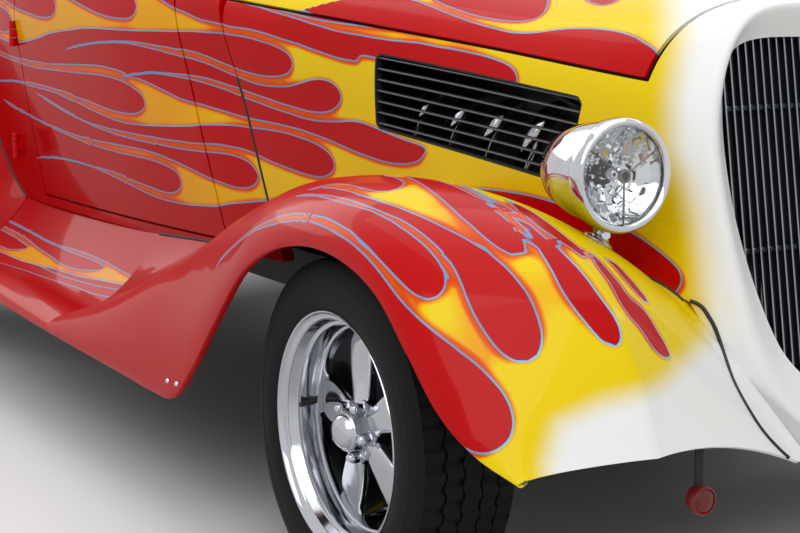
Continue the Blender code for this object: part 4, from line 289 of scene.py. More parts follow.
FENDER_HOLES = (
    """408,177.5 420,183 430,190 440,197.5 450,206.5 460,216 470,224.5 480,233.5 490,242
    500,249 510,254 518,255.5 524,253 525,246 522,238 516,229 508,220 498,211.5 488,204.5
    478,198 468,192.5 458,188 448,184 438,180.5 428,178 415,176.5 408,177.5 |""",
    """450,181 460,185.5 470,190.5 485,198 495,203.5 508,213.5 520,225 530,236 538,248
    546,261 553,273 560,287 568,300 576,311 585,322 594,333 603,342 611,346 618,346
    621,340 620,329 614,316 607,306 598,294 588,280 578,268 566,256 553,244 540,233
    527,221.5 514,211.5 500,203 485,195.5 470,188 460,184 450,181 |""",
    """505,199 520,212 540,228 560,241 575,251 583,257 585.5,254 581,249 570,240 555,228
    540,217 525,208 505,199 |""",
    """605,258 615,268 626,281 638,295 645,302 648,303 647,299 640,290 628,276 615,263
    605,258 |""",
    """586.7,250 600,270 610,283 620,301.7 630,316.7 640,328 655,350 665,358 670,357
    667,347 658,332 648,315 640,306 630,298 620,284 608,270 596,257 586.7,250 |""",
)
HOOD_HOLES = (
    """380,-10 405,-3 413,0 420,2 435,8 450,14 465,19.5 480,24.5 495,28.5 510,32 525,33
    540,32 550,30.5 570,28.5 590,28.5 605,29.5 620,32 635,37 645,43 655,50 661,60 663,70
    661,78 655,84 640,87 620,86.5 605,84 590,79 575,75 560,70 540,62 520,55 450,40
    400,32 340,22 300,10""",
    """435,0 445,5 455,8.8 470,13.8 485,17.5 500,20 515,21.3 527.5,20.5 537.5,17.5
    543.8,12.5 547,6 548,0 540,-8 500,-16 450,-14 430,-8""",
    """587,0 592,2.5 602,5 612,3 617,0 614,-5 600,-8 588,-6""",
)
BOARD_FLAME = """
150,284 140,279.7 130,275.4 120,270 110,264.3 100,259.3 90,255 80,251.4 70,248.3
60,245.7 50,241.8 40,236.8 30,231 20,226 10,221 0,214 -15,205 | 0,214.6 10,221.8
20,226.8 30,231.8 40,237.5 50,242.5 60,247 70,251.4 80,255 90,258.6 98.6,262.9
103,265.7 103,267.9 100,269.7 93,270.3 80,269.7 70,267.4 60,262.9 50,255.7 40,249.3
30,241.4 20,234.3 10,229.3 0,224.3 -20,214 | 0,228.6 10,234.3 20,240 25.7,244.3
27.9,246.4 25.7,248.6 20,249.3 10,249.3 0,246 -30,236 | 0,251.4 10,255.7 20,260
30,262.9 40,265.7 50,267.9 60,270.7 70,273.6 80,276.4 100,280 120,284 140,287.4
153,286 165,288 175,286 165,284 150,284
"""
BOARD_LINES = (
    "0,262.9 20,268.6 40,275.7 60,282.1 80,288.6 93,293.6 110,297.1 120,298.3",
    "31.4,257.9 40,265.7 60,275 80,281.4 100,286.4 120,289.7 131,290.7",
)
# The bead between the fender and the nose, in the same pixels.
WELT = """
690,301 696,303 702,307 709,317 715,328 724,354 733,380
746,405 762,430 780,450 800,467 822,484 846,498"""
# Where the paint turns white, in the same pixels.
SIDE_WHITE = ("720,-300 682,40 672,100 672,150 688,190 696,220 703,260 705,300 712,600"
              " 1000,600 1000,-300")
HOOD_WHITE = "668,-80 672,120 1000,120 1000,-80"
FENDER_WHITE = ("548,500 546,462 558,424 600,404 640,394 660,386 682,364 704,342 714,320"
                " 900,320 900,600 540,600")


# Skins as grids of points, and the fields that cut them.

def curve(points: np.ndarray, steps: Sequence[int], crosses_middle: bool = False) -> np.ndarray:
    """Smooth curve along the first axis of an array of points.

    Args:
        points: The given points, or rows of points.
        steps: Spans between each pair.
        crosses_middle: True where the curve runs straight across the car's middle plane.

    Returns:
        The points of the curve.
    """
    after = 2.0 * points[-1] - points[-2]
    if crosses_middle:
        after = points[-2] * np.array((-1.0, 1.0, 1.0))
    line = np.concatenate(((2.0 * points[0] - points[1])[None], points, after[None]))
    parts = []
    for index, spans in enumerate(steps):
        a, b, c, d = line[index:index + 4]
        t = (np.arange(spans) / spans).reshape((-1,) + (1,) * (points.ndim - 1))
        parts.append(0.5 * (2.0 * b + (c - a) * t + (2.0 * a - 5.0 * b + 4.0 * c - d) * t ** 2
                            + (3.0 * b - a - 3.0 * c + d) * t ** 3))
    return np.concatenate((*parts, points[-1:]))


def spans_for(points: np.ndarray, spacing: float) -> list[int]:
    """Spans that keep a curve's points about one spacing apart.

    Args:
        points: Points, or rows of points, of the curve.
        spacing: Distance between points, in metres.

    Returns:
        Spans between each pair of points.
    """
    gaps = np.diff(points, axis=0)
    lengths = np.linalg.norm(gaps, axis=-1)
    if lengths.ndim > 1:
        lengths = lengths.max(axis=tuple(range(1, lengths.ndim)))
    return [max(1, int(math.ceil(length / spacing))) for length in lengths]


def refined(rows: np.ndarray, spacing: float, crosses_middle: bool) -> np.ndarray:
    """Grid of points over rows of points, smooth both ways.

    Args:
        rows: Rows of given points.
        spacing: Distance between points, in metres.
        crosses_middle: True where the rows run across the car's middle plane.

    Returns:
        The grid.
    """
    columns = np.swapaxes(rows, 0, 1)
    columns = curve(columns, spans_for(columns, spacing), crosses_middle)
    rows = np.swapaxes(columns, 0, 1)
    return curve(rows, spans_for(rows, spacing))


def body_grid(spacing: float) -> np.ndarray:
    """Left half of the body's skin, rows from cowl to tail, columns from sill to roof.

    Args:
        spacing: Distance between points, in metres.

    Returns:
        The grid.
    """
    rows = []
    for y_sill, y_belt, y_roof, *shares in BODY_SECTIONS:
        x_sill, x_waist, x_belt, x_rail = (share * BODY_HALF_WIDTH for share in shares[:4])
        z_sill, z_belt, z_rail, z_roof = (share * ROOF_HEIGHT for share in shares[4:])
        y_sill, y_belt, y_roof = (BODY_START + share * BODY_LENGTH
                                  for share in (y_sill, y_belt, y_roof))
        rows.append((
            (x_sill, y_sill, z_sill),
            (x_waist, y_sill + WAIST_WAY * (y_belt - y_sill),
             z_sill + WAIST_WAY * (z_belt - z_sill)),
            (x_belt, y_belt, z_belt),
            (x_rail, y_belt + RAIL_WAY * (y_roof - y_belt), z_rail),
            (x_rail * ROOF_POINT[0], y_roof, z_rail + ROOF_POINT[1] * (z_roof - z_rail)),
            (0.0, y_roof, z_roof),
        ))
    return refined(np.array(rows), spacing, True)


def nose_grid(spacing: float) -> np.ndarray:
    """Left half of the nose's skin, rows from grille to cowl, columns from chin to top.

    Args:
        spacing: Distance between points, in metres.

    Returns:
        The grid.
    """
    rows = []
    for y_low, y_high, *profile in NOSE_SECTIONS:
        points = [(x * NOSE_HALF_WIDTH, z * NOSE_TOP) for x, z in profile]
        base, top = points[0][1], points[-1][1]
        span = (y_high - y_low) * BODY_START
        rows.append([(x, y_low * BODY_START + span * (z - base) / (top - base), z)
                     for x, z in points])
    return refined(np.array(rows), spacing, True)


def fender_grid(shares: Sequence[Sequence[float]], start: float, length: float, top: float,
                spacing: float) -> np.ndarray:
    """Skin of a fender, rows from tail to front, columns from lip to flange.

    Args:
        shares: Rows of y, z and x of lip, crown and seam, as shares.
        start: Where y is zero.
        length: Length that y is a share of.
        top: Height that z is a share of.
        spacing: Distance between points, in metres.

    Returns:
        The grid.
    """
    knots = np.array([[(x * HALF_WIDTH, start + y * length, z * top)
                       for y, z, x in (row[0:3], row[3:6], row[6:9])] for row in shares])
    knots = curve(knots, spans_for(knots, spacing))
    return section_grid(knots, spacing)


def section_grid(knots: np.ndarray, spacing: float) -> np.ndarray:
    """Fender sections over rows of lip, crown and seam points.

    Args:
        knots: Rows of lip, crown and seam points.
        spacing: Distance between points, in metres.

    Returns:
        The grid.
    """
    lip, crown, seam = (knots[:, None, index] for index in range(3))
    outer = max(6, int(OUTER_RUN / spacing))
    inner = max(8, int(INNER_RUN / spacing))
    angle = (np.arange(outer) / outer * math.pi / 2.0)[None, :, None]
    rise = lip + (crown - lip) * np.concatenate(
        (1.0 - np.cos(angle), 1.0 - np.cos(angle), np.sin(angle)), axis=2)
    way = (np.arange(inner + 1) / inner)[None, :, None]
    fall = crown + (seam - crown) * np.concatenate((way, way, way ** FALL_POWER), axis=2)
    steps = max(2, int(FLANGE_RUN / spacing))
    along = (np.arange(1, steps + 1) / steps)[None, :, None]
    flange = seam + np.array(FLANGE) * along
    hem = lip + np.array(HEM)[None]
    return np.concatenate((hem, rise, fall, flange), axis=1)


def board_grid(spacing: float) -> np.ndarray:
    """Skin of the left running board, rows from front to rear.

    Args:
        spacing: Distance between points, in metres.

    Returns:
        The grid.
    """
    first, last = FRONT_FENDER[0], REAR_FENDER[0]
    rows = []
    for way, *heights in BOARD:
        points = []
        for column, height in zip((2, 5, 8), heights):
            x = (first[column] + (last[column] - first[column]) * way) * HALF_WIDTH
            y = FENDER_TAIL + (BOARD_END - FENDER_TAIL) * way
            points.append((x, y, height * SILL_HEIGHT))
        rows.append(points)
    knots = np.array(rows)
    return section_grid(curve(knots, spans_for(knots, spacing)), spacing)


def side_outline(shares: Sequence[tuple[float, float]]) -> np.ndarray:
    """Side-view outline from shares of the body."""
    return np.array([(BODY_START + y * BODY_LENGTH, z * ROOF_HEIGHT) for y, z in shares])


def nose_outline(shares: Sequence[tuple[float, float]]) -> np.ndarray:
    """Side-view outline from shares of the nose."""
    return np.array([(y * BODY_START, z * NOSE_TOP) for y, z in shares])


def front_outline(shares: Sequence[tuple[float, float]], half_width: float) -> np.ndarray:
    """Front-view outline from shares of a half width and the roof's height."""
    return np.array([(x * half_width, z * ROOF_HEIGHT) for x, z in shares])


def inside_polygon(points: np.ndarray, outline: np.ndarray) -> np.ndarray:
    """Which points lie inside a closed outline.

    Args:
        points: Points in the outline's plane.
        outline: Corners of the outline.

    Returns:
        True for each point inside.
    """
    inside = np.zeros(len(points), bool)
    x, y = points[:, 0], points[:, 1]
    for (ax, ay), (bx, by) in zip(outline, np.roll(outline, -1, axis=0)):
        if ay == by:
            continue
        crosses = (ay > y) != (by > y)
        inside ^= crosses & (x < (bx - ax) * (y - ay) / (by - ay) + ax)
    return inside


def depth_in(points: np.ndarray, outline: np.ndarray) -> np.ndarray:
    """Signed distance to an outline, positive inside.

    Args:
        points: Points in the outline's plane.
        outline: Corners of the outline.

    Returns:
        The distance of each point.
    """
    nearest = np.full(len(points), np.inf)
    for a, b in zip(outline, np.roll(outline, -1, axis=0)):
        along = b - a
        t = np.clip(((points - a) @ along) / max(along @ along, 1e-12), 0.0, 1.0)
        gap = points - a - t[:, None] * along
        nearest = np.minimum(nearest, np.einsum("ij,ij->i", gap, gap))
    sign = np.where(inside_polygon(points, outline), 1.0, -1.0)
    return sign * np.sqrt(nearest)


Field3 = Callable[[np.ndarray], np.ndarray]


def in_side(outline: np.ndarray, grow: float = 0.0) -> Field3:
    """Positive where a point lies inside a side-view outline moved outward by grow."""
    return lambda p: depth_in(p[:, 1:3], outline) + grow


def in_front(outline: np.ndarray, grow: float = 0.0, ahead: bool = True) -> Field3:
    """Positive inside a front-view outline, on the screen's or the tail's end of the car.

    Args:
        outline: Corners of the outline.
        grow: How far it is moved outward.
        ahead: True for the screen's end, False for the tail's.

    Returns:
        The field.
    """
    middle = BODY_START + BODY_LENGTH / 2.0

    def depth(p: np.ndarray) -> np.ndarray:
        """Depth inside the outline and its end of the car."""
        end = (middle - p[:, 1]) if ahead else (p[:, 1] - middle)
        return np.minimum(depth_in(p[:, (0, 2)], outline) + grow, end)
    return depth


def outside(field_3: Field3) -> Field3:
    """The opposite of a field."""
    return lambda p: -field_3(p)


def both(first: Field3, second: Field3) -> Field3:
    """Positive where both fields are."""
    return lambda p: np.minimum(first(p), second(p))


def ahead_of_seam(offset: float) -> Field3:
    """Positive ahead of the slanted line between nose and cowl, moved back by an offset."""
    (y_low, z_low), (y_high, z_high) = nose_outline(SEAM)
    slope = (y_high - y_low) / (z_high - z_low)
    return lambda p: y_low + (p[:, 2] - z_low) * slope + offset - p[:, 1]


def beyond_reach(p: np.ndarray) -> np.ndarray:
    """Positive outboard of the doors' inner reach."""
    return p[:, 0] - DOOR_REACH


@dataclass
class Sheet:
    """Open surface with values at its points.

    Attributes:
        points: Corner points.
        faces: Corner numbers of each face.
        values: Named values, one for each point.
    """

    points: np.ndarray
    faces: list[tuple[int, ...]]
    values: dict[str, np.ndarray] = field(default_factory=dict)

    @classmethod
    def over(cls, grid: np.ndarray) -> "Sheet":
        """Sheet over a grid, its faces turned outward on the car's left side.

        Args:
            grid: Rows and columns of points.

        Returns:
            The sheet.
        """
        rows, columns = grid.shape[:2]
        numbers = np.arange(rows * columns).reshape(rows, columns)
        corners = np.stack((numbers[:-1, :-1], numbers[1:, :-1], numbers[1:, 1:],
                            numbers[:-1, 1:]), axis=-1).reshape(-1, 4)
        points = grid.reshape(-1, 3).copy()
        a, b, c = (points[corners[:, index]] for index in (0, 1, 3))
        normals = np.cross(b - a, c - a)
        middle = np.array((0.0, 0.0, points[:, 2].mean() - 0.2))
        outward = (a - middle) * np.array((1.0, 0.0, 1.0))
        if (normals * outward).sum() < 0.0:
            corners = corners[:, ::-1]
        return cls(points, [tuple(face) for face in corners.tolist()])

    def normals(self) -> np.ndarray:
        """Unit normal at each point.

        Returns:
            The normals, in the order of the points.
        """
        total = np.zeros_like(self.points)
        triangles = [(f[0], f[i], f[i + 1]) for f in self.faces for i in range(1, len(f) - 1)]
        corner = np.array(triangles)
        a, b, c = (self.points[corner[:, index]] for index in range(3))
        facing = np.cross(b - a, c - a)
        for index in range(3):
            np.add.at(total, corner[:, index], facing)
        length = np.linalg.norm(total, axis=1, keepdims=True)
        return total / np.maximum(length, 1e-12)

    def keep(self, field_3: Field3) -> "Sheet":
        """The part of the sheet where a field is positive.

        Args:
            field_3: Field over points, positive where they stay.

        Returns:
            The new sheet.
        """
        level = field_3(self.points)
        level = np.where(np.abs(level) < LEAST_LEVEL, LEAST_LEVEL, level)
        inside = level > 0.0
        points = [self.points]
        values = {name: [value] for name, value in self.values.items()}
        count = len(self.points)
        fresh: dict[tuple[int, int], int] = {}
        starts, ends, ways = [], [], []
        faces = []
        flags = inside.tolist()
        for face in self.faces:
            state = [flags[index] for index in face]
            if all(state):
                faces.append(face)
                continue
            if not any(state):
                continue
            kept = []
            for index, here in enumerate(face):
                after = face[(index + 1) % len(face)]
                if flags[here]:
                    kept.append(here)
                if flags[here] != flags[after]:
                    key = (min(here, after), max(here, after))
                    if key not in fresh:
                        low, high = level[key[0]], level[key[1]]
                        fresh[key] = count + len(fresh)
                        starts.append(key[0])
                        ends.append(key[1])
                        ways.append(low / (low - high))
                    kept.append(fresh[key])
            if len(kept) > 2:
                faces.append(tuple(kept))
        if fresh:
            way = np.array(ways)[:, None]
            first, second = self.points[starts], self.points[ends]
            points.append(first + (second - first) * way)
            for name, value in self.values.items():
                values[name].append(value[starts] + (value[ends] - value[starts]) * way[:, 0])
        sheet = Sheet(np.concatenate(points), faces,
                      {name: np.concatenate(value) for name, value in values.items()})
        return sheet.compact()

    def compact(self) -> "Sheet":
        """The same sheet without unused points.

        Returns:
            The new sheet.
        """
        used = np.zeros(len(self.points), bool)
        for face in self.faces:
            used[list(face)] = True
        number = np.cumsum(used) - 1
        faces = [tuple(int(number[index]) for index in face) for face in self.faces]
        return Sheet(self.points[used], faces,
                     {name: value[used] for name, value in self.values.items()})

    def flipped(self) -> "Sheet":
        """The same sheet facing the other way."""
        return Sheet(self.points, [face[::-1] for face in self.faces], self.values)

    def mirrored(self) -> "Sheet":
        """The sheet on the car's other side."""
        turned = self.flipped()
        return Sheet(self.points * np.array((-1.0, 1.0, 1.0)), turned.faces, self.values)

    def with_twin(self) -> "Sheet":
        """The sheet and its mirror image, joined where they meet on the middle plane.

        Returns:
            The new sheet.
        """
        twin = self.mirrored()
        centre = np.abs(self.points[:, 0]) < 1e-5
        number = np.where(centre, np.arange(len(self.points)),
                          len(self.points) + np.arange(len(self.points)))
        faces = self.faces + [tuple(int(number[i]) for i in face) for face in twin.faces]
        points = np.concatenate((self.points, twin.points))
        values = {name: np.concatenate((v, v)) for name, v in self.values.items()}
        return Sheet(points, faces, values).compact()

    def rim(self) -> list[tuple[int, int]]:
        """Edges that only one face uses, in that face's direction.

        Returns:
            Pairs of point numbers.
        """
        edges: dict[tuple[int, int], int] = {}
        for face in self.faces:
            for index, here in enumerate(face):
                edges[(here, face[(index + 1) % len(face)])] = 1
        return [(a, b) for a, b in edges if (b, a) not in edges]

    def loops(self) -> list[list[int]]:
        """The rim as closed or open chains of point numbers, longest first.

        Returns:
            The chains.
        """
        following = dict(self.rim())
        starts = [a for a in following if a not in set(following.values())]
        chains = []
        while following:
            start = starts.pop() if starts else next(iter(following))
            if start not in following:
                continue
            chain = [start]
            while chain[-1] in following:
                chain.append(following.pop(chain[-1]))
            chains.append(chain)
        return sorted(chains, key=len, reverse=True)

    def moved_in(self, distance: float) -> "Sheet":
        """The sheet moved against its normals."""
        return Sheet(self.points - self.normals() * distance, self.faces, self.values)

    def plus(self, *others: "Sheet") -> "Sheet":
        """Several sheets as one, not joined to each other.

        Args:
            others: Sheets to add.

        Returns:
            The new sheet.
        """
        points, faces = [self.points], list(self.faces)
        values = {name: [value] for name, value in self.values.items()}
        count = len(self.points)
        for other in others:
            faces.extend(tuple(index + count for index in face) for face in other.faces)
            points.append(other.points)
            for name in values:
                values[name].append(other.values.get(
                    name, np.full(len(other.points), -1.0)))
            count += len(other.points)
        return Sheet(np.concatenate(points), faces,
                     {name: np.concatenate(value) for name, value in values.items()})

    def edged(self, wall: float) -> "Sheet":
        """The sheet with its rim turned in by the wall.

        Args:
            wall: Depth of the turned edge.

        Returns:
            The new sheet.
        """
        normals = self.normals()
        rim = [(a, b) for a, b in self.rim()
               if max(abs(self.points[a][0]), abs(self.points[b][0])) > 1e-5]
        used = sorted({index for edge in rim for index in edge})
        number = {index: len(self.points) + place for place, index in enumerate(used)}
        deeper = self.points[used] - normals[used] * wall
        faces = self.faces + [(b, a, number[a], number[b]) for a, b in rim]
        values = {name: np.concatenate((v, v[used])) for name, v in self.values.items()}
        return Sheet(np.concatenate((self.points, deeper)), faces, values)


# The painted flames, from outlines in the picture.

class Camera:
    """The picture's camera, in the front-axle frame, seeing the car's right side.

    Attributes:
        place: Where it stands.
        azimuth: Its angle from the car's nose.
        elevation: Its angle above the ground.
        focal_px: Focal length, in pixels.
        centre: Middle of the picture, in pixels.
        lens: Focal length, in millimetres.
        sensor: Width of its sensor, in millimetres.
    """

    place: ClassVar[np.ndarray] = np.array((-2.2151, -2.6752, 1.0899))
    azimuth: ClassVar[float] = math.radians(-30.0)
    elevation: ClassVar[float] = math.radians(9.5)
    focal_px: ClassVar[float] = 1850.0
    centre: ClassVar[np.ndarray] = np.array((400.0, 266.5))
    lens: ClassVar[float] = 83.25
    sensor: ClassVar[float] = 36.0

    @classmethod
    def axes(cls) -> tuple[np.ndarray, np.ndarray, np.ndarray]:
        """Right, up and back vectors.

        Returns:
            The directions to the right, up and back.
        """
        a, e = cls.azimuth, cls.elevation
        back = np.array((math.sin(a) * math.cos(e), -math.cos(a) * math.cos(e), math.sin(e)))
        right = np.cross((0.0, 0.0, 1.0), back)
        right /= np.linalg.norm(right)
        return right, np.cross(back, right), back

    @classmethod
    def pixels(cls, points: np.ndarray) -> np.ndarray:
        """Where the mirror images of points on the left side show in the picture.

        Args:
            points: Points on the car's right side, given on its left.

        Returns:
            Their places in the picture.
        """
        right, up, back = cls.axes()
        gap = points * np.array((-1.0, 1.0, 1.0)) - cls.place
        depth = -(gap @ back)
        return np.stack((cls.centre[0] + cls.focal_px * (gap @ right) / depth,
                         cls.centre[1] - cls.focal_px * (gap @ up) / depth), axis=1)

    @classmethod
    def ray(cls, pixel: np.ndarray) -> tuple[Vector, Vector]:
        """Start and direction of a pixel's ray, mirrored to the car's left side.

        Args:
            pixel: A place in the picture.

        Returns:
            Start and direction of the ray.
        """
        right, up, back = cls.axes()
        way = right * (pixel[0] - cls.centre[0]) - up * (pixel[1] - cls.centre[1])
        way = way - back * cls.focal_px
        way /= np.linalg.norm(way)
        return (Vector((-cls.place[0], cls.place[1], cls.place[2])),
                Vector((-way[0], way[1], way[2])))


def runs_of(text: str) -> list[np.ndarray]:
    """Runs of a border's table, each starting at the tip where the last one ended.

    Args:
        text: Pairs of numbers, with a bar at each tip.

    Returns:
        The runs.
    """
    runs, tip = [], None
    for part in text.split("|"):
        points = [tuple(float(number) for number in pair.split(",")) for pair in part.split()]
        if not points:
            continue
        if tip is not None:
            points.insert(0, tip)
        tip = points[-1]
        runs.append(np.array(points))
    return runs


def smooth_run(run: np.ndarray, step: float) -> np.ndarray:
    """A run of points as a smooth line with points one step apart.

    Args:
        run: Points of the run.
        step: Distance between points, in pixels.

    Returns:
        The line.
    """
    spans = spans_for(run, step)
    line = np.concatenate(((2.0 * run[0] - run[1])[None], run, (2.0 * run[-1] - run[-2])[None]))
    parts = []
    for index, count in enumerate(spans):
        a, b, c, d = line[index:index + 4]
        knots = [0.0]
        for first, second in ((a, b), (b, c), (c, d)):
            knots.append(knots[-1] + max(float(np.linalg.norm(second - first)), 1e-6) ** 0.5)
        t0, t1, t2, t3 = knots
        t = (t1 + (t2 - t1) * np.arange(count) / count)[:, None]
        a1 = (t1 - t) / (t1 - t0) * a + (t - t0) / (t1 - t0) * b
        a2 = (t2 - t) / (t2 - t1) * b + (t - t1) / (t2 - t1) * c
        a3 = (t3 - t) / (t3 - t2) * c + (t - t2) / (t3 - t2) * d
        b1 = (t2 - t) / (t2 - t0) * a1 + (t - t0) / (t2 - t0) * a2
        b2 = (t3 - t) / (t3 - t1) * a2 + (t - t1) / (t3 - t1) * a3
        parts.append((t2 - t) / (t2 - t1) * b1 + (t - t1) / (t2 - t1) * b2)
    return np.concatenate((*parts, run[-1:]))


def tail_lines(lines: Sequence[np.ndarray], step: float, width: float,
               closed: bool) -> list[np.ndarray]:
    """Both sides of the thin tails at the tips between runs, point against point.

    Args:
        lines: Smooth runs of one border.
        step: Distance between their points, in pixels.
        width: Gap at which a tail ends, in pixels.
        closed: True where the last run ends where the first one starts.

    Returns:
        An array of facing pairs for each tail.
    """
    tails = []
    pairs = list(zip(lines, lines[1:]))
    if closed:
        pairs.append((lines[-1], lines[0]))
    for before, after in pairs:
        reach = int(LONGEST_TAIL / step)
        upper, lower = before[::-1][:reach], after[:reach]
        tree = KDTree(len(lower))
        for index, point in enumerate(lower):
            tree.insert((point[0], point[1], 0.0), index)
        tree.balance()
        facing = []
        for point in upper:
            near, _, gap = tree.find((point[0], point[1], 0.0))
            if gap > width and len(facing) > FEWEST_PAIRS // 2:
                break
            facing.append(((point[0], point[1]), (near.x, near.y)))
        if len(facing) > FEWEST_PAIRS:
            tails.append(np.array(facing))
    return tails


def between(first: np.ndarray, second: np.ndarray, width: float) -> list[np.ndarray]:
    """Both sides of the thin strips between two holes, point against point.

    Args:
        first: Outline of one hole.
        second: Outline of the other.
        width: Widest strip, in pixels.

    Returns:
        An array of facing pairs for each strip.
    """
    strips, facing = [], []
    gaps = np.linalg.norm(first[:, None] - second[None], axis=2)
    nearest, least = gaps.argmin(axis=1), gaps.min(axis=1)
    for index, point in enumerate(first):
        if least[index] <= width:
            facing.append((point, second[nearest[index]]))
        if least[index] > width or index == len(first) - 1:
            if len(facing) > FEWEST_PAIRS:
                strips.append(np.array(facing))
            facing = []
    return strips


@dataclass
class Artwork:
    """Painted flames of one group of panels.

    Attributes:
        chains: Borders; the first is the flame's outline and the others are holes in it.
        whole: True where the flame covers everything but the holes.
        lines: Thin lines painted on their own.
        white: Outline of the part that fades to white.
        fade: Half width of that fade, in pixels.
        step: Distance between points of a border, in pixels.
        thin: Widest part of a tail that is painted along its middle line, in pixels.
        handed_over: Gap, in pixels, below which a tail's line takes the border's place.
        reach: Distance up to which a tail is felt, in metres.
        outer: Depth of points whose border a tail's line has taken over, in metres.
        overshoot: How far beyond its end a tail is felt, in pixels.
        hair: Widest tip of a hole that is painted as a plain line, in pixels.
        strip: Widest strip between two holes that is painted as a tail, in pixels.
        widest: Widest tail on the skin, in metres.
        far: Distance that stands for having no tail near, in metres.
        tolerance: How far border and tail may differ where the tail takes over, in metres.
        glow_reach: Half the side of the square that the glow is averaged over, in metres.
        glow_start: Share of flame in that square at which the glow starts.
        glow_span: Share over which it grows to its full strength.
    """

    chains: tuple[str, ...]
    whole: bool = False
    lines: tuple[str, ...] = ()
    white: str = ""
    fade: float = 20.0
    step: float = 0.8
    thin: float = 8.5
    handed_over: float = 6.0
    reach: float = 0.020
    outer: float = -0.009
    overshoot: float = 4.0
    hair: float = 3.4
    strip: float = 6.0
    widest: float = 0.017
    far: float = 1.0
    tolerance: float = 0.0022
    glow_reach: float = 0.026
    glow_start: float = 0.42
    glow_span: float = 0.42

    def paint(self, sheet: Sheet, shape: tuple[int, int], caster: BVHTree,
              spacing: float) -> None:
        """Put the values flame, tail, glow and white on a sheet over a full grid.

        Args:
            sheet: Sheet over the whole grid.
            shape: Rows and columns of the grid.
            caster: Skins that the picture shows the flames on.
            spacing: Distance between points, in metres.
        """
        pixels = Camera.pixels(sheet.points)
        sign = np.full(len(pixels), self.whole)
        samples, tails, lines, holes = [], [], [], []
        for place, text in enumerate(self.chains):
            runs = [smooth_run(run, self.step) for run in runs_of(text)]
            outline = np.concatenate(runs)
            inside = inside_polygon(pixels, outline)
            if place == 0 and not self.whole:
                sign = inside
            else:
                sign &= ~inside
            samples.extend(runs)
            if place == 0 and not self.whole:
                tails.extend(tail_lines(runs, self.step, self.thin, False))
            else:
                for hole in holes:
                    tails.extend(between(outline, hole, self.strip))
                holes.append(outline)
                lines.extend(facing.mean(axis=1) for facing
                             in tail_lines(runs, self.step, self.hair, len(runs) == 1))
        for text in self.lines:
            lines.extend(smooth_run(run, self.step) for run in runs_of(text))
        tails.extend(np.stack((line, line), axis=1) for line in lines)
        border = self.cast(np.concatenate(samples), caster)
        crossings = self.crossings(sheet, sign, pixels)
        if len(crossings):
            border = np.concatenate((border, crossings))
        distance = self.distances(sheet.points, border)
        depth = np.where(sign, distance, -distance)
        tail, half, own = self.tail_values(sheet.points, pixels, tails, caster)
        beyond = np.abs(tail) - half
        own &= np.abs(distance - np.abs(beyond)) < self.tolerance
        own &= ~sign | (beyond < self.tolerance)
        sheet.values["flame_depth"] = np.where(own, self.outer, depth)
        sheet.values["flame_tail"] = tail
        sheet.values["flame_half"] = half
        mask = sign.reshape(shape).astype(float)
        cells = max(2, int(self.glow_reach / spacing))
        glow = (self.blurred(mask, cells).reshape(-1) - self.glow_start) / self.glow_span
        sheet.values["flame_glow"] = np.clip(glow, 0.0, 1.0)
        if self.white:
            outline = runs_of(self.white)[0]
            depth = depth_in(pixels, outline)
            way = np.clip(depth / (2.0 * self.fade) + 0.5, 0.0, 1.0)
            sheet.values["flame_white"] = way * way * (3.0 - 2.0 * way)
        else:
            sheet.values["flame_white"] = np.zeros(len(pixels))

    @staticmethod
    def cast(pixels: np.ndarray, caster: BVHTree) -> np.ndarray:
        """Points of the skin that pixels show.

        Args:
            pixels: Places in the picture.
            caster: Skins that are hit.

        Returns:
            The points that were hit.
        """
        found = []
        for pixel in pixels:
            start, way = Camera.ray(pixel)
            hit = caster.ray_cast(start, way)[0]
            if hit is not None:
                found.append(tuple(hit))
        return np.array(found).reshape(-1, 3)

    @staticmethod
    def crossings(sheet: Sheet, sign: np.ndarray, pixels: np.ndarray) -> np.ndarray:
        """Middles of mesh edges across the border that the camera can't see.

        Args:
            sheet: Sheet over the whole grid.
            sign: True for each point in the flame.
            pixels: Place of each point in the picture; not used.

        Returns:
            The middles.
        """
        normals = sheet.normals()
        eye = Camera.place * np.array((-1.0, 1.0, 1.0))
        hidden = np.einsum("ij,ij->i", normals, eye - sheet.points) < 0.02
        corners = np.array([face for face in sheet.faces if len(face) == 4])
        found = []
        for first, second in ((0, 1), (1, 2)):
            a, b = corners[:, first], corners[:, second]
            across = (sign[a] != sign[b]) & hidden[a]
            found.append((sheet.points[a[across]] + sheet.points[b[across]]) / 2.0)
        return np.concatenate(found)

    @staticmethod
    def distances(points: np.ndarray, border: np.ndarray) -> np.ndarray:
        """Distance of each point from a densely sampled border.

        Args:
            points: Points to measure from.
            border: Points of the border.

        Returns:
            The distances.
        """
        tree = KDTree(len(border))
        for index, point in enumerate(border):
            tree.insert(point, index)
        tree.balance()
        result = np.empty(len(points))
        for index, point in enumerate(points):
            near = tree.find_n(point, 2)
            a = np.array(near[0][0])
            gap = point - a
            if len(near) > 1 and abs(near[0][1] - near[1][1]) == 1:
                along = np.array(near[1][0]) - a
                length = along @ along
                if 1e-10 < length < 4e-4:
                    gap = gap - along * np.clip((gap @ along) / length, 0.0, 1.0)
            result[index] = math.sqrt(gap @ gap)
        return result

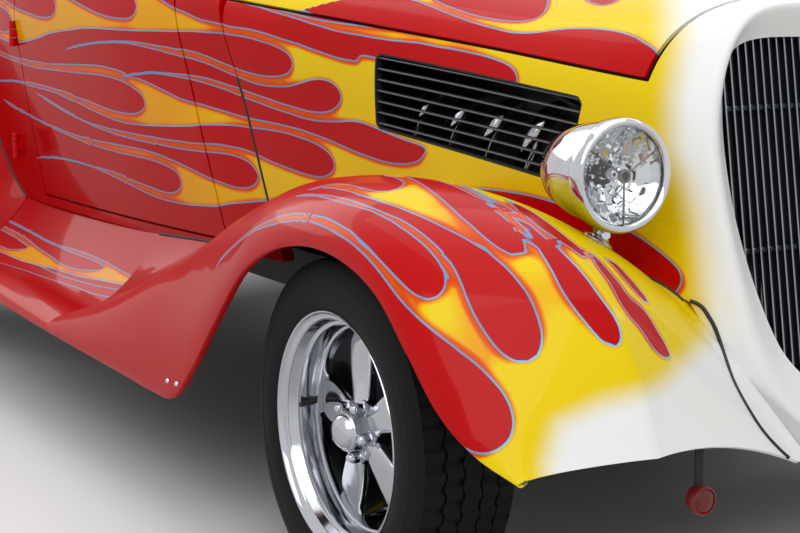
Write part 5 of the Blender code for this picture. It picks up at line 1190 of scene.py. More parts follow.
    @staticmethod
    def facing_sides(spots: Sequence[np.ndarray]) -> list[float]:
        """Which way round each tail's sides count, alike where two tails face each other.

        Args:
            spots: Place and direction of each tail's points, in pixels.

        Returns:
            1 or -1 for each tail.
        """
        turns = []
        for place, spot in enumerate(spots):
            votes = 0.0
            for earlier in range(place):
                other = spots[earlier]
                gaps = np.linalg.norm(spot[:, None, :2] - other[None, :, :2], axis=2)
                nearest = gaps.argmin(axis=1)
                for index in np.nonzero(gaps.min(axis=1) < 22.0)[0]:
                    there = other[nearest[index]]
                    apart = there[:2] - spot[index, :2]
                    here_side = spot[index, 2] * apart[1] - spot[index, 3] * apart[0]
                    there_side = there[3] * apart[0] - there[2] * apart[1]
                    votes += np.sign(here_side * there_side) * turns[earlier]
            turns.append(-1.0 if votes < 0.0 else 1.0)
        return turns

    def tail_values(self, points: np.ndarray, pixels: np.ndarray, tails: Sequence[np.ndarray],
                    caster: BVHTree) -> tuple[np.ndarray, np.ndarray, np.ndarray]:
        """Signed distance from the nearest tail, its half width, and where it takes over.

        Args:
            points: Points of the sheet.
            pixels: Their places in the picture.
            tails: Facing pairs of each tail.
            caster: Skins that are hit.

        Returns:
            The three values of each point.
        """
        result, half = np.full(len(points), self.far), np.full(len(points), -self.far)
        own = np.zeros(len(points), dtype=bool)
        spots, flats, halves, thin, ends = [], [], [], [], []
        for facing in tails:
            line = facing.mean(axis=1)
            direction = np.gradient(line, axis=0)
            sides = [[caster.ray_cast(*Camera.ray(pixel))[0] for pixel in (*pair, middle)]
                     for pair, middle in zip(facing, line)]
            kept = [index for index, hits in enumerate(sides)
                    if None not in hits and (hits[0] - hits[1]).length < self.widest]
            if not kept:
                continue
            spots.extend(tuple(sides[index][2]) for index in kept)
            halves.extend((sides[index][0] - sides[index][1]).length / 2.0 for index in kept)
            flats.append(np.concatenate((line, direction), axis=1)[kept])
            gaps = np.linalg.norm(facing[kept, 0] - facing[kept, 1], axis=1)
            thin.extend((gaps < self.handed_over) & (gaps.max() > 0.0))
            ends.extend(place in (0, len(kept) - 1) for place in range(len(kept)))
        if not spots:
            return result, half, own
        turns = np.concatenate([np.full(len(flat), turn) for flat, turn
                                in zip(flats, self.facing_sides(flats))])
        flat = np.concatenate(flats)
        tree = KDTree(len(spots))
        for index, spot in enumerate(spots):
            tree.insert(spot, index)
        tree.balance()
        low, high = np.min(spots, axis=0) - self.reach, np.max(spots, axis=0) + self.reach
        near = np.all((points > low) & (points < high), axis=1).nonzero()[0]
        for index in near:
            found = tree.find_range(points[index], self.reach)
            if not found:
                continue
            _, place, gap = max(found, key=lambda item: halves[item[1]] - item[2])
            offset, way = pixels[index] - flat[place, :2], flat[place, 2:]
            if ends[place] and abs(offset @ way) > self.overshoot * np.linalg.norm(way):
                continue
            turn = way[0] * offset[1] - way[1] * offset[0]
            result[index] = math.copysign(gap, turn * turns[place])
            half[index] = halves[place]
            own[index] = thin[place]
        return result, half, own

    @staticmethod
    def blurred(mask: np.ndarray, cells: int) -> np.ndarray:
        """A mask averaged over a square, twice.

        Args:
            mask: The mask, over the grid.
            cells: Half the square's side.

        Returns:
            The averaged mask.
        """
        for _ in range(2):
            for axis in (0, 1):
                padded = np.concatenate((np.repeat(mask.take([0], axis), cells, axis), mask,
                                         np.repeat(mask.take([-1], axis), cells + 1, axis)),
                                        axis)
                total = np.cumsum(padded, axis)
                size = mask.shape[axis]
                upper = total.take(range(2 * cells, 2 * cells + size), axis)
                lower = total.take(range(0, size), axis)
                mask = (upper - lower) / (2 * cells)
        return mask


# Shader nodes and finishes.

def operator(kind: str, swapped: bool = False) -> Callable[["Sock", "Sock | float"], "Sock"]:
    """One arithmetic operator of a socket.

    Args:
        kind: Operation of its Math node.
        swapped: True where the socket is the second value.

    Returns:
        The operator's method.
    """
    def apply(self: "Sock", other: "Sock | float") -> "Sock":
        """Both values through one Math node."""
        values = (other, self) if swapped else (self, other)
        return self.graph.node("Math", dict(enumerate(values)), operation=kind)
    return apply


class Sock:
    """One output of a shader node, with arithmetic."""

    __add__, __radd__ = operator("ADD"), operator("ADD", True)
    __sub__, __rsub__ = operator("SUBTRACT"), operator("SUBTRACT", True)
    __mul__, __rmul__ = operator("MULTIPLY"), operator("MULTIPLY", True)
    __truediv__, maximum = operator("DIVIDE"), operator("MAXIMUM")

    def __init__(self, graph: "Graph", output: bpy.types.NodeSocket) -> None:
        """An output in a node tree."""
        self.graph, self.output = graph, output

    def __abs__(self) -> "Sock":
        """The value without its sign."""
        return self.graph.node("Math", {0: self}, operation="ABSOLUTE")

    def clamp(self) -> "Sock":
        """The value kept between 0 and 1."""
        return self.graph.node("Math", {0: self, 1: 0.0}, operation="ADD", use_clamp=True)

    def ramp(self, low: float, high: float) -> "Sock":
        """0 below low, 1 above high and straight between."""
        return ((self - low) / (high - low)).clamp()


class Graph:
    """Node tree of a material or of the world."""

    def __init__(self, owner: bpy.types.Material | bpy.types.World, shader: str) -> None:
        """The nodes of an owner, whose shader has the given name."""
        owner.use_nodes = True
        self.owner, self.tree = owner, owner.node_tree
        self.shader = self.tree.nodes[shader]

    @classmethod
    def material(cls, name: str) -> "Graph":
        """Node tree of a new material."""
        return cls(bpy.data.materials.new(name), "Principled BSDF")

    def node(self, kind: str, values: dict | None = None, output: int | str = 0,
             **settings: object) -> Sock:
        """Any node: its kind, its inputs by name or number, its settings and its output.

        Args:
            kind: Kind of node.
            values: Values or links of its inputs.
            output: Name or number of the output that is wanted.
            settings: Settings of the node, set before its inputs.

        Returns:
            The output.
        """
        item = self.tree.nodes.new("ShaderNode" + kind)
        for name, value in settings.items():
            setattr(item, name, value)
        for key, value in (values or {}).items():
            self.feed(item.inputs[key], value)
        return Sock(self, item.outputs[output])

    def feed(self, socket: bpy.types.NodeSocket, value: object) -> None:
        """Link or set one input.

        Args:
            socket: The input.
            value: A link or a value.
        """
        if isinstance(value, Sock):
            self.tree.links.new(value.output, socket)
        else:
            socket.default_value = value

    def mix(self, factor: "Sock | float", first: "Sock | tuple", second: "Sock | tuple") -> Sock:
        """Colour between two colours.

        Args:
            factor: 0 for the first colour and 1 for the second.
            first: First colour.
            second: Second colour.

        Returns:
            The mixed colour.
        """
        return self.node("Mix", {0: factor, 6: first, 7: second}, 2, data_type="RGBA")

    def value(self, name: str) -> Sock:
        """A named value of the mesh's points."""
        return self.node("Attribute", output="Fac", attribute_name=name,
                         attribute_type="GEOMETRY")

    def place(self) -> Sock:
        """Object coordinates."""
        return self.node("TexCoord", output="Object")

    def noise(self, scale: float, detail: float = 3.0, rough: float = 0.5) -> Sock:
        """Noise over the object's own coordinates."""
        return self.node("TexNoise", {"Vector": self.place(), "Scale": scale,
                                      "Detail": detail, "Roughness": rough})

    def bump(self, height: Sock, distance: float, strength: float = 1.0) -> None:
        """Small relief on the surface."""
        normal = self.node("Bump", {"Height": height, "Distance": distance,
                                    "Strength": strength})
        self.set(Normal=normal)

    def set(self, **inputs: object) -> None:
        """Inputs of the surface shader; an underscore in a name stands for a space."""
        for name, value in inputs.items():
            self.feed(self.shader.inputs[name.replace("_", " ")], value)


def rgb(red: float, green: float, blue: float) -> tuple[float, float, float, float]:
    """Linear colour from a 0-255 screen colour.

    Args:
        red: Red, 0 to 255.
        green: Green, 0 to 255.
        blue: Blue, 0 to 255.

    Returns:
        The linear colour with full alpha.
    """
    def linear(part: float) -> float:
        """One part, as a linear value."""
        part /= 255.0
        return part / 12.92 if part < 0.04045 else ((part + 0.055) / 1.055) ** 2.4
    return (linear(red), linear(green), linear(blue), 1.0)


class Slot(Enum):
    """Material slots of the record."""

    PAINT = "red_paint"
    POLISHED = "polished_metal"
    CHROME = "chrome"
    BLACK = "black_metal"
    RUBBER = "tyre_rubber"
    GLASS = "clear_glass"
    AMBER = "amber_lens"
    RED_LENS = "red_lens"
    LEATHER = "tan_leather"


@dataclass(frozen=True)
class Finish:
    """A surface that one shader stands for.

    Attributes:
        name: Name of the material.
        slot: Slot of the record that it fills.
    """

    name: str
    slot: Slot

    def build(self) -> bpy.types.Material:
        """The finish's material, made where it isn't there yet.

        Returns:
            The material.
        """
        known = bpy.data.materials.get(self.name)
        if known is not None:
            return known
        graph = Graph.material(self.name)
        self.shade(graph)
        LOG.info("finish %s", self.name)
        return graph.owner

    def shade(self, graph: Graph) -> None:
        """Fill the graph."""
        raise NotImplementedError


@dataclass(frozen=True)
class Paint(Finish):
    """Gloss paint with clear coat, plain or with flames.

    Attributes:
        flames: True where the piece has the flames' values.
        red: Screen colour of the red, 0 to 255.
        soft: Half the width over which a flame's edge gives way to red, in metres.
        line: Half the width of the painted line.
        fade: Width over which the line gives way.
        ahead: Where the yellow is full and where it is least, along the object's own y.
        least: Least share of the yellow.
    """

    flames: bool = False
    red: tuple[float, float, float] = (182.0, 0.0, 4.0)
    soft: float = 0.0006
    line: float = 0.0012
    fade: float = 0.0007
    ahead: tuple[float, float] = (-0.66, -0.24)
    least: float = 0.45

    def shade(self, graph: Graph) -> None:
        """Red paint; flames run from yellow to red-orange inside a thin painted line.

        Args:
            graph: Node tree to build in.
        """
        mottle = graph.noise(2.2, 2.0)
        base = graph.mix(mottle.ramp(0.3, 0.7), rgb(*self.red),
                         rgb(self.red[0] * 0.96, self.red[1], self.red[2]))
        if self.flames:
            tail = graph.value("flame_half") - abs(graph.value("flame_tail"))
            flame = graph.value("flame_depth").maximum(tail)
            glow, white = graph.value("flame_glow"), graph.value("flame_white")
            inside = flame.ramp(-self.soft, self.soft)
            deep = flame.ramp(0.001, 0.013) * 0.60 + glow * 0.60
            warm = graph.mix(deep.ramp(0.10, 0.62), rgb(204, 62, 4), rgb(228, 112, 4))
            along = graph.node("SeparateXYZ", {0: graph.place()}, "Y")
            yellow = (1.0 - along.ramp(*self.ahead)) * (1.0 - self.least) + self.least
            warm = graph.mix(deep.ramp(0.42, 0.86) * yellow, warm, rgb(228, 198, 8))
            warm = graph.mix(white, warm, rgb(232, 233, 232))
            base = graph.mix(inside, base, warm)
            line = 1.0 - (abs(flame) - self.line).ramp(0.0, self.fade)
            stripe = graph.mix(glow.ramp(0.1, 0.9), rgb(96, 150, 190), rgb(108, 196, 226))
            base = graph.mix(line, base, stripe)
        graph.set(Base_Color=base, Roughness=0.34, Metallic=0.0, Coat_Weight=0.22,
                  Coat_Roughness=0.03, Coat_IOR=1.45, IOR=1.45, Specular_IOR_Level=0.05)


@dataclass(frozen=True)
class Metal(Finish):
    """Plain or brushed metal.

    Attributes:
        colour: Screen colour, 0 to 255.
        rough: Least roughness.
        grain: How much the roughness varies.
        metallic: 1 for bare metal.
        relief: Height of its fine relief, in metres.
    """

    colour: tuple[float, float, float] = (198.0, 200.0, 206.0)
    rough: float = 0.08
    grain: float = 0.02
    metallic: float = 1.0
    relief: float = 0.0

    def shade(self, graph: Graph) -> None:
        """Metal whose polish varies a little.

        Args:
            graph: Node tree to build in.
        """
        noise = graph.noise(38.0, 4.0)
        tint = graph.mix(graph.noise(6.0).ramp(0.3, 0.75), rgb(*self.colour),
                         rgb(*(part * 0.9 for part in self.colour)))
        graph.set(Base_Color=tint, Metallic=self.metallic,
                  Roughness=noise * self.grain + self.rough)
        if self.relief:
            graph.bump(graph.noise(210.0, 3.0), self.relief, 0.5)


@dataclass(frozen=True)
class Rubber(Finish):
    """Tyre rubber, a little greyer where it is worn.

    Attributes:
        colour: Screen colour, 0 to 255.
    """

    colour: tuple[float, float, float] = (11.0, 11.0, 12.0)

    def shade(self, graph: Graph) -> None:
        """Dark matt rubber with fine grain.

        Args:
            graph: Node tree to build in.
        """
        wear = graph.noise(14.0, 5.0, 0.6)
        tint = graph.mix(wear.ramp(0.35, 0.75), rgb(*self.colour),
                         rgb(*(part * 1.35 for part in self.colour)))
        graph.set(Base_Color=tint, Roughness=wear * 0.18 + 0.58, Specular_IOR_Level=0.16)
        graph.bump(graph.noise(420.0, 2.0), 0.0004, 0.35)


@dataclass(frozen=True)
class Glass(Finish):
    """Clear or coloured glass.

    Attributes:
        colour: Screen colour, 0 to 255.
        rough: Roughness.
        ior: How strongly it bends light.
    """

    colour: tuple[float, float, float] = (250.0, 252.0, 252.0)
    rough: float = 0.0
    ior: float = 1.45

    def shade(self, graph: Graph) -> None:
        """Glass with a trace of dust.

        Args:
            graph: Node tree to build in.
        """
        dust = graph.noise(9.0, 4.0)
        graph.set(Base_Color=graph.mix(dust.ramp(0.4, 0.8), rgb(*self.colour),
                                       rgb(*(part * 0.97 for part in self.colour))),
                  Roughness=self.rough, Transmission_Weight=1.0, IOR=self.ior)


@dataclass(frozen=True)
class Leather(Finish):
    """Grained leather, darker in its creases.

    Attributes:
        colour: Screen colour, 0 to 255.
    """

    colour: tuple[float, float, float] = (176.0, 132.0, 84.0)

    def shade(self, graph: Graph) -> None:
        """Tan hide with fine grain.

        Args:
            graph: Node tree to build in.
        """
        grain = graph.node("TexVoronoi", {"Vector": graph.place(), "Scale": 260.0}, "Distance")
        tone = graph.noise(5.0, 4.0)
        tint = graph.mix(tone.ramp(0.3, 0.7), rgb(*self.colour),
                         rgb(*(part * 0.86 for part in self.colour)))
        graph.set(Base_Color=tint, Roughness=tone * 0.14 + 0.46)
        graph.bump(grain, 0.0006, 0.5)


@dataclass(frozen=True)
class Bare(Finish):
    """Flat plastic, rubber trim, matt paint, and near-black painted shade.

    Attributes:
        colour: Screen colour, 0 to 255.
        rough: Least roughness.
    """

    colour: tuple[float, float, float] = (18.0, 18.0, 19.0)
    rough: float = 0.5

    def shade(self, graph: Graph) -> None:
        """Plain surface with slight variation.

        Args:
            graph: Node tree to build in.
        """
        tone = graph.noise(24.0, 4.0)
        tint = graph.mix(tone.ramp(0.3, 0.75), rgb(*self.colour),
                         rgb(*(min(part * 1.25, 255.0) for part in self.colour)))
        graph.set(Base_Color=tint, Roughness=tone * 0.12 + self.rough)


RED = Paint("red_gloss", Slot.PAINT)
FLAMED = Paint("flame_gloss", Slot.PAINT, flames=True)
CHROME = Metal("bright_chrome", Slot.CHROME, rough=0.035, grain=0.02)
POLISHED = Metal("polished_alloy", Slot.POLISHED, (186.0, 188.0, 194.0), 0.07, 0.06)
SLATE = Metal("vent_steel", Slot.POLISHED, (104.0, 104.0, 112.0), 0.24, 0.08)
SATIN = Metal("satin_alloy", Slot.POLISHED, (176.0, 178.0, 182.0), 0.28, 0.10)
STEEL = Metal("dark_steel", Slot.BLACK, (44.0, 45.0, 47.0), 0.42, 0.16, 0.6, 0.0004)
TYRE = Rubber("tyre_compound", Slot.RUBBER)
TRIM = Bare("black_trim", Slot.BLACK)
# Near-black: painted shade in gaps, seams, the vent, behind the grille and on the turn signal's
# bracket; plain black on the lamps' middle discs, their sockets and the dial faces.
BLACK_AND_PAINTED_SHADE = Bare("black_recess", Slot.BLACK, (7.0, 7.0, 8.0), 0.7)
CLEAR = Glass("clear_pane", Slot.GLASS)
LENS = Glass("lamp_lens", Slot.GLASS, (252.0, 253.0, 253.0), 0.0, 1.45)
# Painted shade in part: amber made darker than the lens's own, for the shade under the fender.
AMBER = Glass("amber_glass", Slot.AMBER, (196.0, 74.0, 18.0), 0.10)
RUBY = Glass("red_glass", Slot.RED_LENS, (214.0, 10.0, 12.0), 0.10)
HIDE = Leather("tan_hide", Slot.LEATHER)
MIRROR = Metal("lamp_mirror", Slot.CHROME, (206.0, 208.0, 212.0), 0.03, 0.02)
# Painted shade in part: the amber behind the lens made darker than its own, for the shade under
# the fender.
CORE = Bare("amber_core", Slot.AMBER, (150.0, 52.0, 8.0), 0.4)
GUNMETAL = Metal("gun_metal", Slot.POLISHED, (120.0, 118.0, 114.0), 0.22, 0.08)
SLAT = Metal("grille_slat", Slot.CHROME, (146.0, 150.0, 158.0), 0.14, 0.05)
MAROON = Bare("dark_red_rim", Slot.RED_LENS, (92.0, 14.0, 10.0), 0.3)
LINER = Bare("cabin_lining", Slot.BLACK, (58.0, 50.0, 42.0), 0.75)


# Meshes, skins and panels.

def new_object(name: str, mesh: bpy.types.Mesh) -> bpy.types.Object:
    """An object of the scene."""
    item = bpy.data.objects.new(name, mesh)
    bpy.context.scene.collection.objects.link(item)
    return item


def mesh_from(name: str, sheet: Sheet, sharp: float = 38.0,
              lift: bool = True) -> bpy.types.Object:
    """Object with a sheet's surface, moved from the front-axle frame to the CAD's.

    Args:
        name: Name of the piece.
        sheet: Its surface.
        sharp: Angle above which an edge stays sharp, in degrees.
        lift: True where the sheet still has to be moved to the CAD's frame.

    Returns:
        The new piece.
    """
    points = sheet.points + (np.array((0.0, CAR_Y, 0.0)) if lift else 0.0)
    mesh = bpy.data.meshes.new(name)
    mesh.from_pydata([tuple(point) for point in points.tolist()], [], sheet.faces)
    for key, values in sheet.values.items():
        layer = mesh.attributes.new(key, "FLOAT", "POINT")
        layer.data.foreach_set("value", values.astype(np.float32))
    mesh.shade_smooth()
    mesh.set_sharp_from_angle(angle=math.radians(sharp))
    mesh.update()
    return new_object(name, mesh)


def finish_piece(item: bpy.types.Object, finish: Finish, body: str,
                 replaces: Iterable[str] = ()) -> bpy.types.Object:
    """Give a piece its finish and its place in the model.

    Args:
        item: The piece.
        finish: Its finish.
        body: Body that it rides on.
        replaces: CAD nodes that it stands for.

    Returns:
        The same piece.
    """
    if not item.data.materials:
        item.data.materials.append(finish.build())
    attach(item, body)
    if replaces:
        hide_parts(*replaces)
    LOG.info("piece %s: %d faces on %s", item.name, len(item.data.polygons), body)
    return item


def tube(line: np.ndarray, radius: float, sides: int = 8, closed: bool = False,
         squash: float = 1.0) -> Sheet:
    """Round bead along a line of points, with closed ends.

    Args:
        line: Points of the middle line.
        radius: Radius across.
        sides: Number of sides.
        closed: True for a closed loop.
        squash: Height as a share of the width.

    Returns:
        The bead's surface.
    """
    line = np.asarray(line, float)
    count = len(line)
    if closed:
        ways = np.roll(line, -1, axis=0) - np.roll(line, 1, axis=0)
    else:
        ways = np.gradient(line, axis=0)
    ways /= np.maximum(np.linalg.norm(ways, axis=1, keepdims=True), 1e-9)
    side = np.cross(ways[0], (0.0, 0.0, 1.0))
    if np.linalg.norm(side) < 0.2:
        side = np.cross(ways[0], (1.0, 0.0, 0.0))
    rings = []
    for index in range(count):
        side = side - ways[index] * (side @ ways[index])
        side /= np.linalg.norm(side)
        up = np.cross(ways[index], side)
        angle = np.arange(sides) / sides * math.tau
        rings.append(line[index] + radius * (np.cos(angle)[:, None] * side
                                             + squash * np.sin(angle)[:, None] * up))
    points = np.concatenate(rings)
    faces = []
    for index in range(count if closed else count - 1):
        here, after = index * sides, (index + 1) % count * sides
        for step in range(sides):
            other = (step + 1) % sides
            faces.append((here + step, after + step, after + other, here + other))
    if not closed:
        faces.append(tuple(range(sides)))
        last = (count - 1) * sides
        faces.append(tuple(last + step for step in reversed(range(sides))))
    sheet = Sheet(points, faces)
    first = sheet.faces[0]
    a, b, c = (points[first[index]] for index in (0, 1, 2))
    if np.cross(b - a, c - b) @ (a - line[0]) < 0.0:
        sheet = sheet.flipped()
    return sheet


@dataclass
class Skins:
    """The car's smooth skins at several finenesses, and the rays onto them.

    Attributes:
        fine: Spacing of points under the flames, in metres.
        middle: Spacing under the few flames of the rear body.
        plain: Spacing elsewhere.
        coarse: Spacing of linings.
        body_blend: Length over which the body gives way to meet the nose.
        nose_blend: Length over which the nose gives way to meet the body.
    """

    fine: float = 0.0069
    middle: float = 0.0095
    plain: float = 0.014
    coarse: float = 0.032
    body_blend: float = 0.20
    nose_blend: float = 0.34

    def __post_init__(self) -> None:
        """Start with no skins made."""
        self.grids: dict[tuple[str, float], np.ndarray] = {}
        self.trees: dict[tuple[str, ...], BVHTree] = {}
        self.blend = {"body": self.body_blend, "nose": -self.nose_blend}
        self.steps: tuple[np.ndarray, np.ndarray] | None = None

    def grid(self, kind: str, spacing: float) -> np.ndarray:
        """Points of one skin.

        Args:
            kind: Name of the skin.
            spacing: Distance between points, in metres.

        Returns:
            The grid.
        """
        key = (kind, spacing)
        if key not in self.grids:
            makers = {
                "body": lambda: body_grid(spacing),
                "nose": lambda: nose_grid(spacing),
                "front_fender": lambda: fender_grid(FRONT_FENDER, 0.0, FENDER_TAIL,
                                                    FENDER_TOP, spacing),
                "rear_fender": lambda: fender_grid(REAR_FENDER, WHEELBASE,
                                                   REAR_FENDER_LENGTH, REAR_FENDER_TOP,
                                                   spacing),
                "board": lambda: board_grid(spacing),
            }
            grid = makers[kind]()
            self.grids[key] = self.flush(kind, grid) if kind in self.blend else grid
        return self.grids[key]

    def steps_at_seam(self) -> tuple[np.ndarray, np.ndarray]:
        """Heights at the seam, and how far the cowl stands out beyond the nose there.

        Returns:
            Heights along the seam, and half the step at each.
        """
        if self.steps is None:
            trees = []
            for grid in (nose_grid(self.coarse), body_grid(self.coarse)):
                sheet = Sheet.over(grid)
                trees.append(BVHTree.FromPolygons(sheet.points.tolist(), sheet.faces))
            (y_low, z_low), (y_high, z_high) = nose_outline(SEAM)
            heights = np.linspace(z_low * 0.80, z_high * 0.925, 14)
            gaps = []
            for z in heights:
                y = y_low + (y_high - y_low) * (z - z_low) / (z_high - z_low)
                hits = [tree.ray_cast(Vector((1.0, y + side, z)), Vector((-1.0, 0.0, 0.0)))[0]
                        for tree, side in zip(trees, (-NOSE_SEAM, NOSE_SEAM))]
                gaps.append(hits[1].x - hits[0].x)
            self.steps = (np.append(heights, z_high), np.append(gaps, 0.0))
        return self.steps

    def flush(self, kind: str, grid: np.ndarray) -> np.ndarray:
        """Bring the nose and the cowl to one width where they meet.

        Args:
            kind: The skin, nose or body.
            grid: Its points.

        Returns:
            The points, moved by half of the step at the seam and less away from it.
        """
        heights, gaps = self.steps_at_seam()
        (y_low, z_low), (y_high, z_high) = nose_outline(SEAM)
        x, y, z = grid[..., 0], grid[..., 1], grid[..., 2]
        behind = y - (y_low + (y_high - y_low) * (z - z_low) / (z_high - z_low))
        way = np.clip(behind / self.blend[kind], 0.0, 1.0)
        share = 1.0 - way * way * (3.0 - 2.0 * way)
        move = np.interp(z, heights, gaps) * share * np.clip(x / 0.40, 0.0, 1.0) / 2.0
        result = grid.copy()
        result[..., 0] += move if kind == "nose" else -move
        return result

    def tree(self, *kinds: str) -> BVHTree:
        """Search tree over several skins' left halves.

        Args:
            kinds: Names of skins.

        Returns:
            A tree that rays can be cast at.
        """
        if kinds not in self.trees:
            points, faces = [], []
            for kind in kinds:
                sheet = Sheet.over(self.grid(kind, self.plain))
                faces.extend(tuple(index + len(points) for index in face)
                             for face in sheet.faces)
                points.extend(sheet.points.tolist())
            self.trees[kinds] = BVHTree.FromPolygons(points, faces)
        return self.trees[kinds]


SIDES = (("left", 1.0), ("right", -1.0))
SIDE_ART = Artwork((SIDE_FLAME, LAMP_HOLE), white=SIDE_WHITE, fade=22.0)
HOOD_ART = Artwork(HOOD_HOLES, whole=True, white=HOOD_WHITE, fade=26.0)
FENDER_ART = Artwork((FENDER_FLAME, *FENDER_HOLES), white=FENDER_WHITE, fade=18.0)
BOARD_ART = Artwork((BOARD_FLAME,), lines=BOARD_LINES)


@dataclass
class Panel:
    """One pressed panel of the car.

    Attributes:
        name: Name of the piece, or of both pieces of a pair without their side.
        body: Body it moves with, or that of both pieces without their side.
        kind: Skin it is cut from.
        cuts: Fields that are positive on the panel.
        wall: Depth of its folded edge.
        finish: Its finish.
        fine: True for the finest spacing.
        middle: True for a spacing between the finest and the plain one.
        pair: True for a left and a right piece, False for one across the car.
        art: Flames painted on it.
        casters: Skins that the flames' borders are cast onto.
        inset: How far it lies inside its skin.
        replaces: True where it stands for the CAD node of its name.
        inner: Finish of its inner side, or none where both sides are alike.
        painted: Sheets that are painted already, by skin, flames and spacing.
    """

    name: str
    body: str
    kind: str
    cuts: tuple[Field3, ...]
    wall: float
    finish: Finish = RED
    fine: bool = False
    pair: bool = False
    art: Artwork | None = None
    casters: tuple[str, ...] = ()
    inset: float = 0.0
    replaces: bool = True
    inner: Finish | None = None
    middle: bool = False

    painted: ClassVar[dict[tuple[str, int, float], Sheet]] = {}

    def outer(self, skins: Skins) -> Sheet:
        """The skin before it is cut, with its flames.

        Args:
            skins: The car's skins.

        Returns:
            The painted sheet.
        """
        spacing = skins.fine if self.fine else skins.plain
        if self.middle:
            spacing = skins.middle
        if self.art is None:
            return Sheet.over(skins.grid(self.kind, spacing))
        key = (self.kind, id(self.art), spacing)
        if key not in self.painted:
            grid = skins.grid(self.kind, spacing)
            sheet = Sheet.over(grid)
            self.art.paint(sheet, grid.shape[:2], skins.tree(*self.casters), spacing)
            self.painted[key] = sheet
        return self.painted[key]

    def trimmed(self, sheet: Sheet) -> Sheet:
        """The part of a sheet that the panel covers."""
        for cut in self.cuts:
            sheet = sheet.keep(cut)
        return sheet

    def half(self, skins: Skins) -> Sheet:
        """The outer skin of the left half, or of the left piece.

        Args:
            skins: The car's skins.

        Returns:
            The new sheet.
        """
        outer = self.trimmed(self.outer(skins))
        if self.inset:
            outer = outer.moved_in(self.inset)
        return outer

    def lining(self, skins: Skins) -> Sheet:
        """The panel's inner side, with wide spacing.

        Args:
            skins: The car's skins.

        Returns:
            The new sheet.
        """
        wide = self.wall > GLASS_WALL and self.kind in ("nose", "body")
        grid = skins.grid(self.kind, skins.coarse if wide else skins.plain)
        sheet = self.trimmed(Sheet.over(grid))
        return sheet.moved_in(self.wall + self.inset).flipped()

    def build(self, skins: Skins) -> list[bpy.types.Object]:
        """Make the piece or the pair.

        Args:
            skins: The car's skins.

        Returns:
            The finished pieces.
        """
        outer, lining = self.half(skins), self.lining(skins)
        if self.pair:
            outer = outer.edged(self.wall)
        else:
            outer = outer.with_twin().edged(self.wall)
            lining = lining.with_twin()
        layers = [("skin", outer, self.finish)]
        if self.inner is None:
            layers = [("skin", outer.plus(lining), self.finish)]
        else:
            layers.append(("lining", lining, self.inner))
        pieces = []
        for side, sign in SIDES if self.pair else (("", 1.0),):
            tag = f"_{side}" if side else ""
            body = self.body if self.body in frame["bodies"] else self.body + tag
            for layer, sheet, finish in layers:
                if sign < 0.0:
                    sheet = sheet.mirrored()
                item = mesh_from(f"{self.name}{tag}_{layer}", sheet)
                node = (self.name + tag,) if self.replaces and layer == "skin" else ()
                pieces.append(finish_piece(item, finish, body, node))
        return pieces


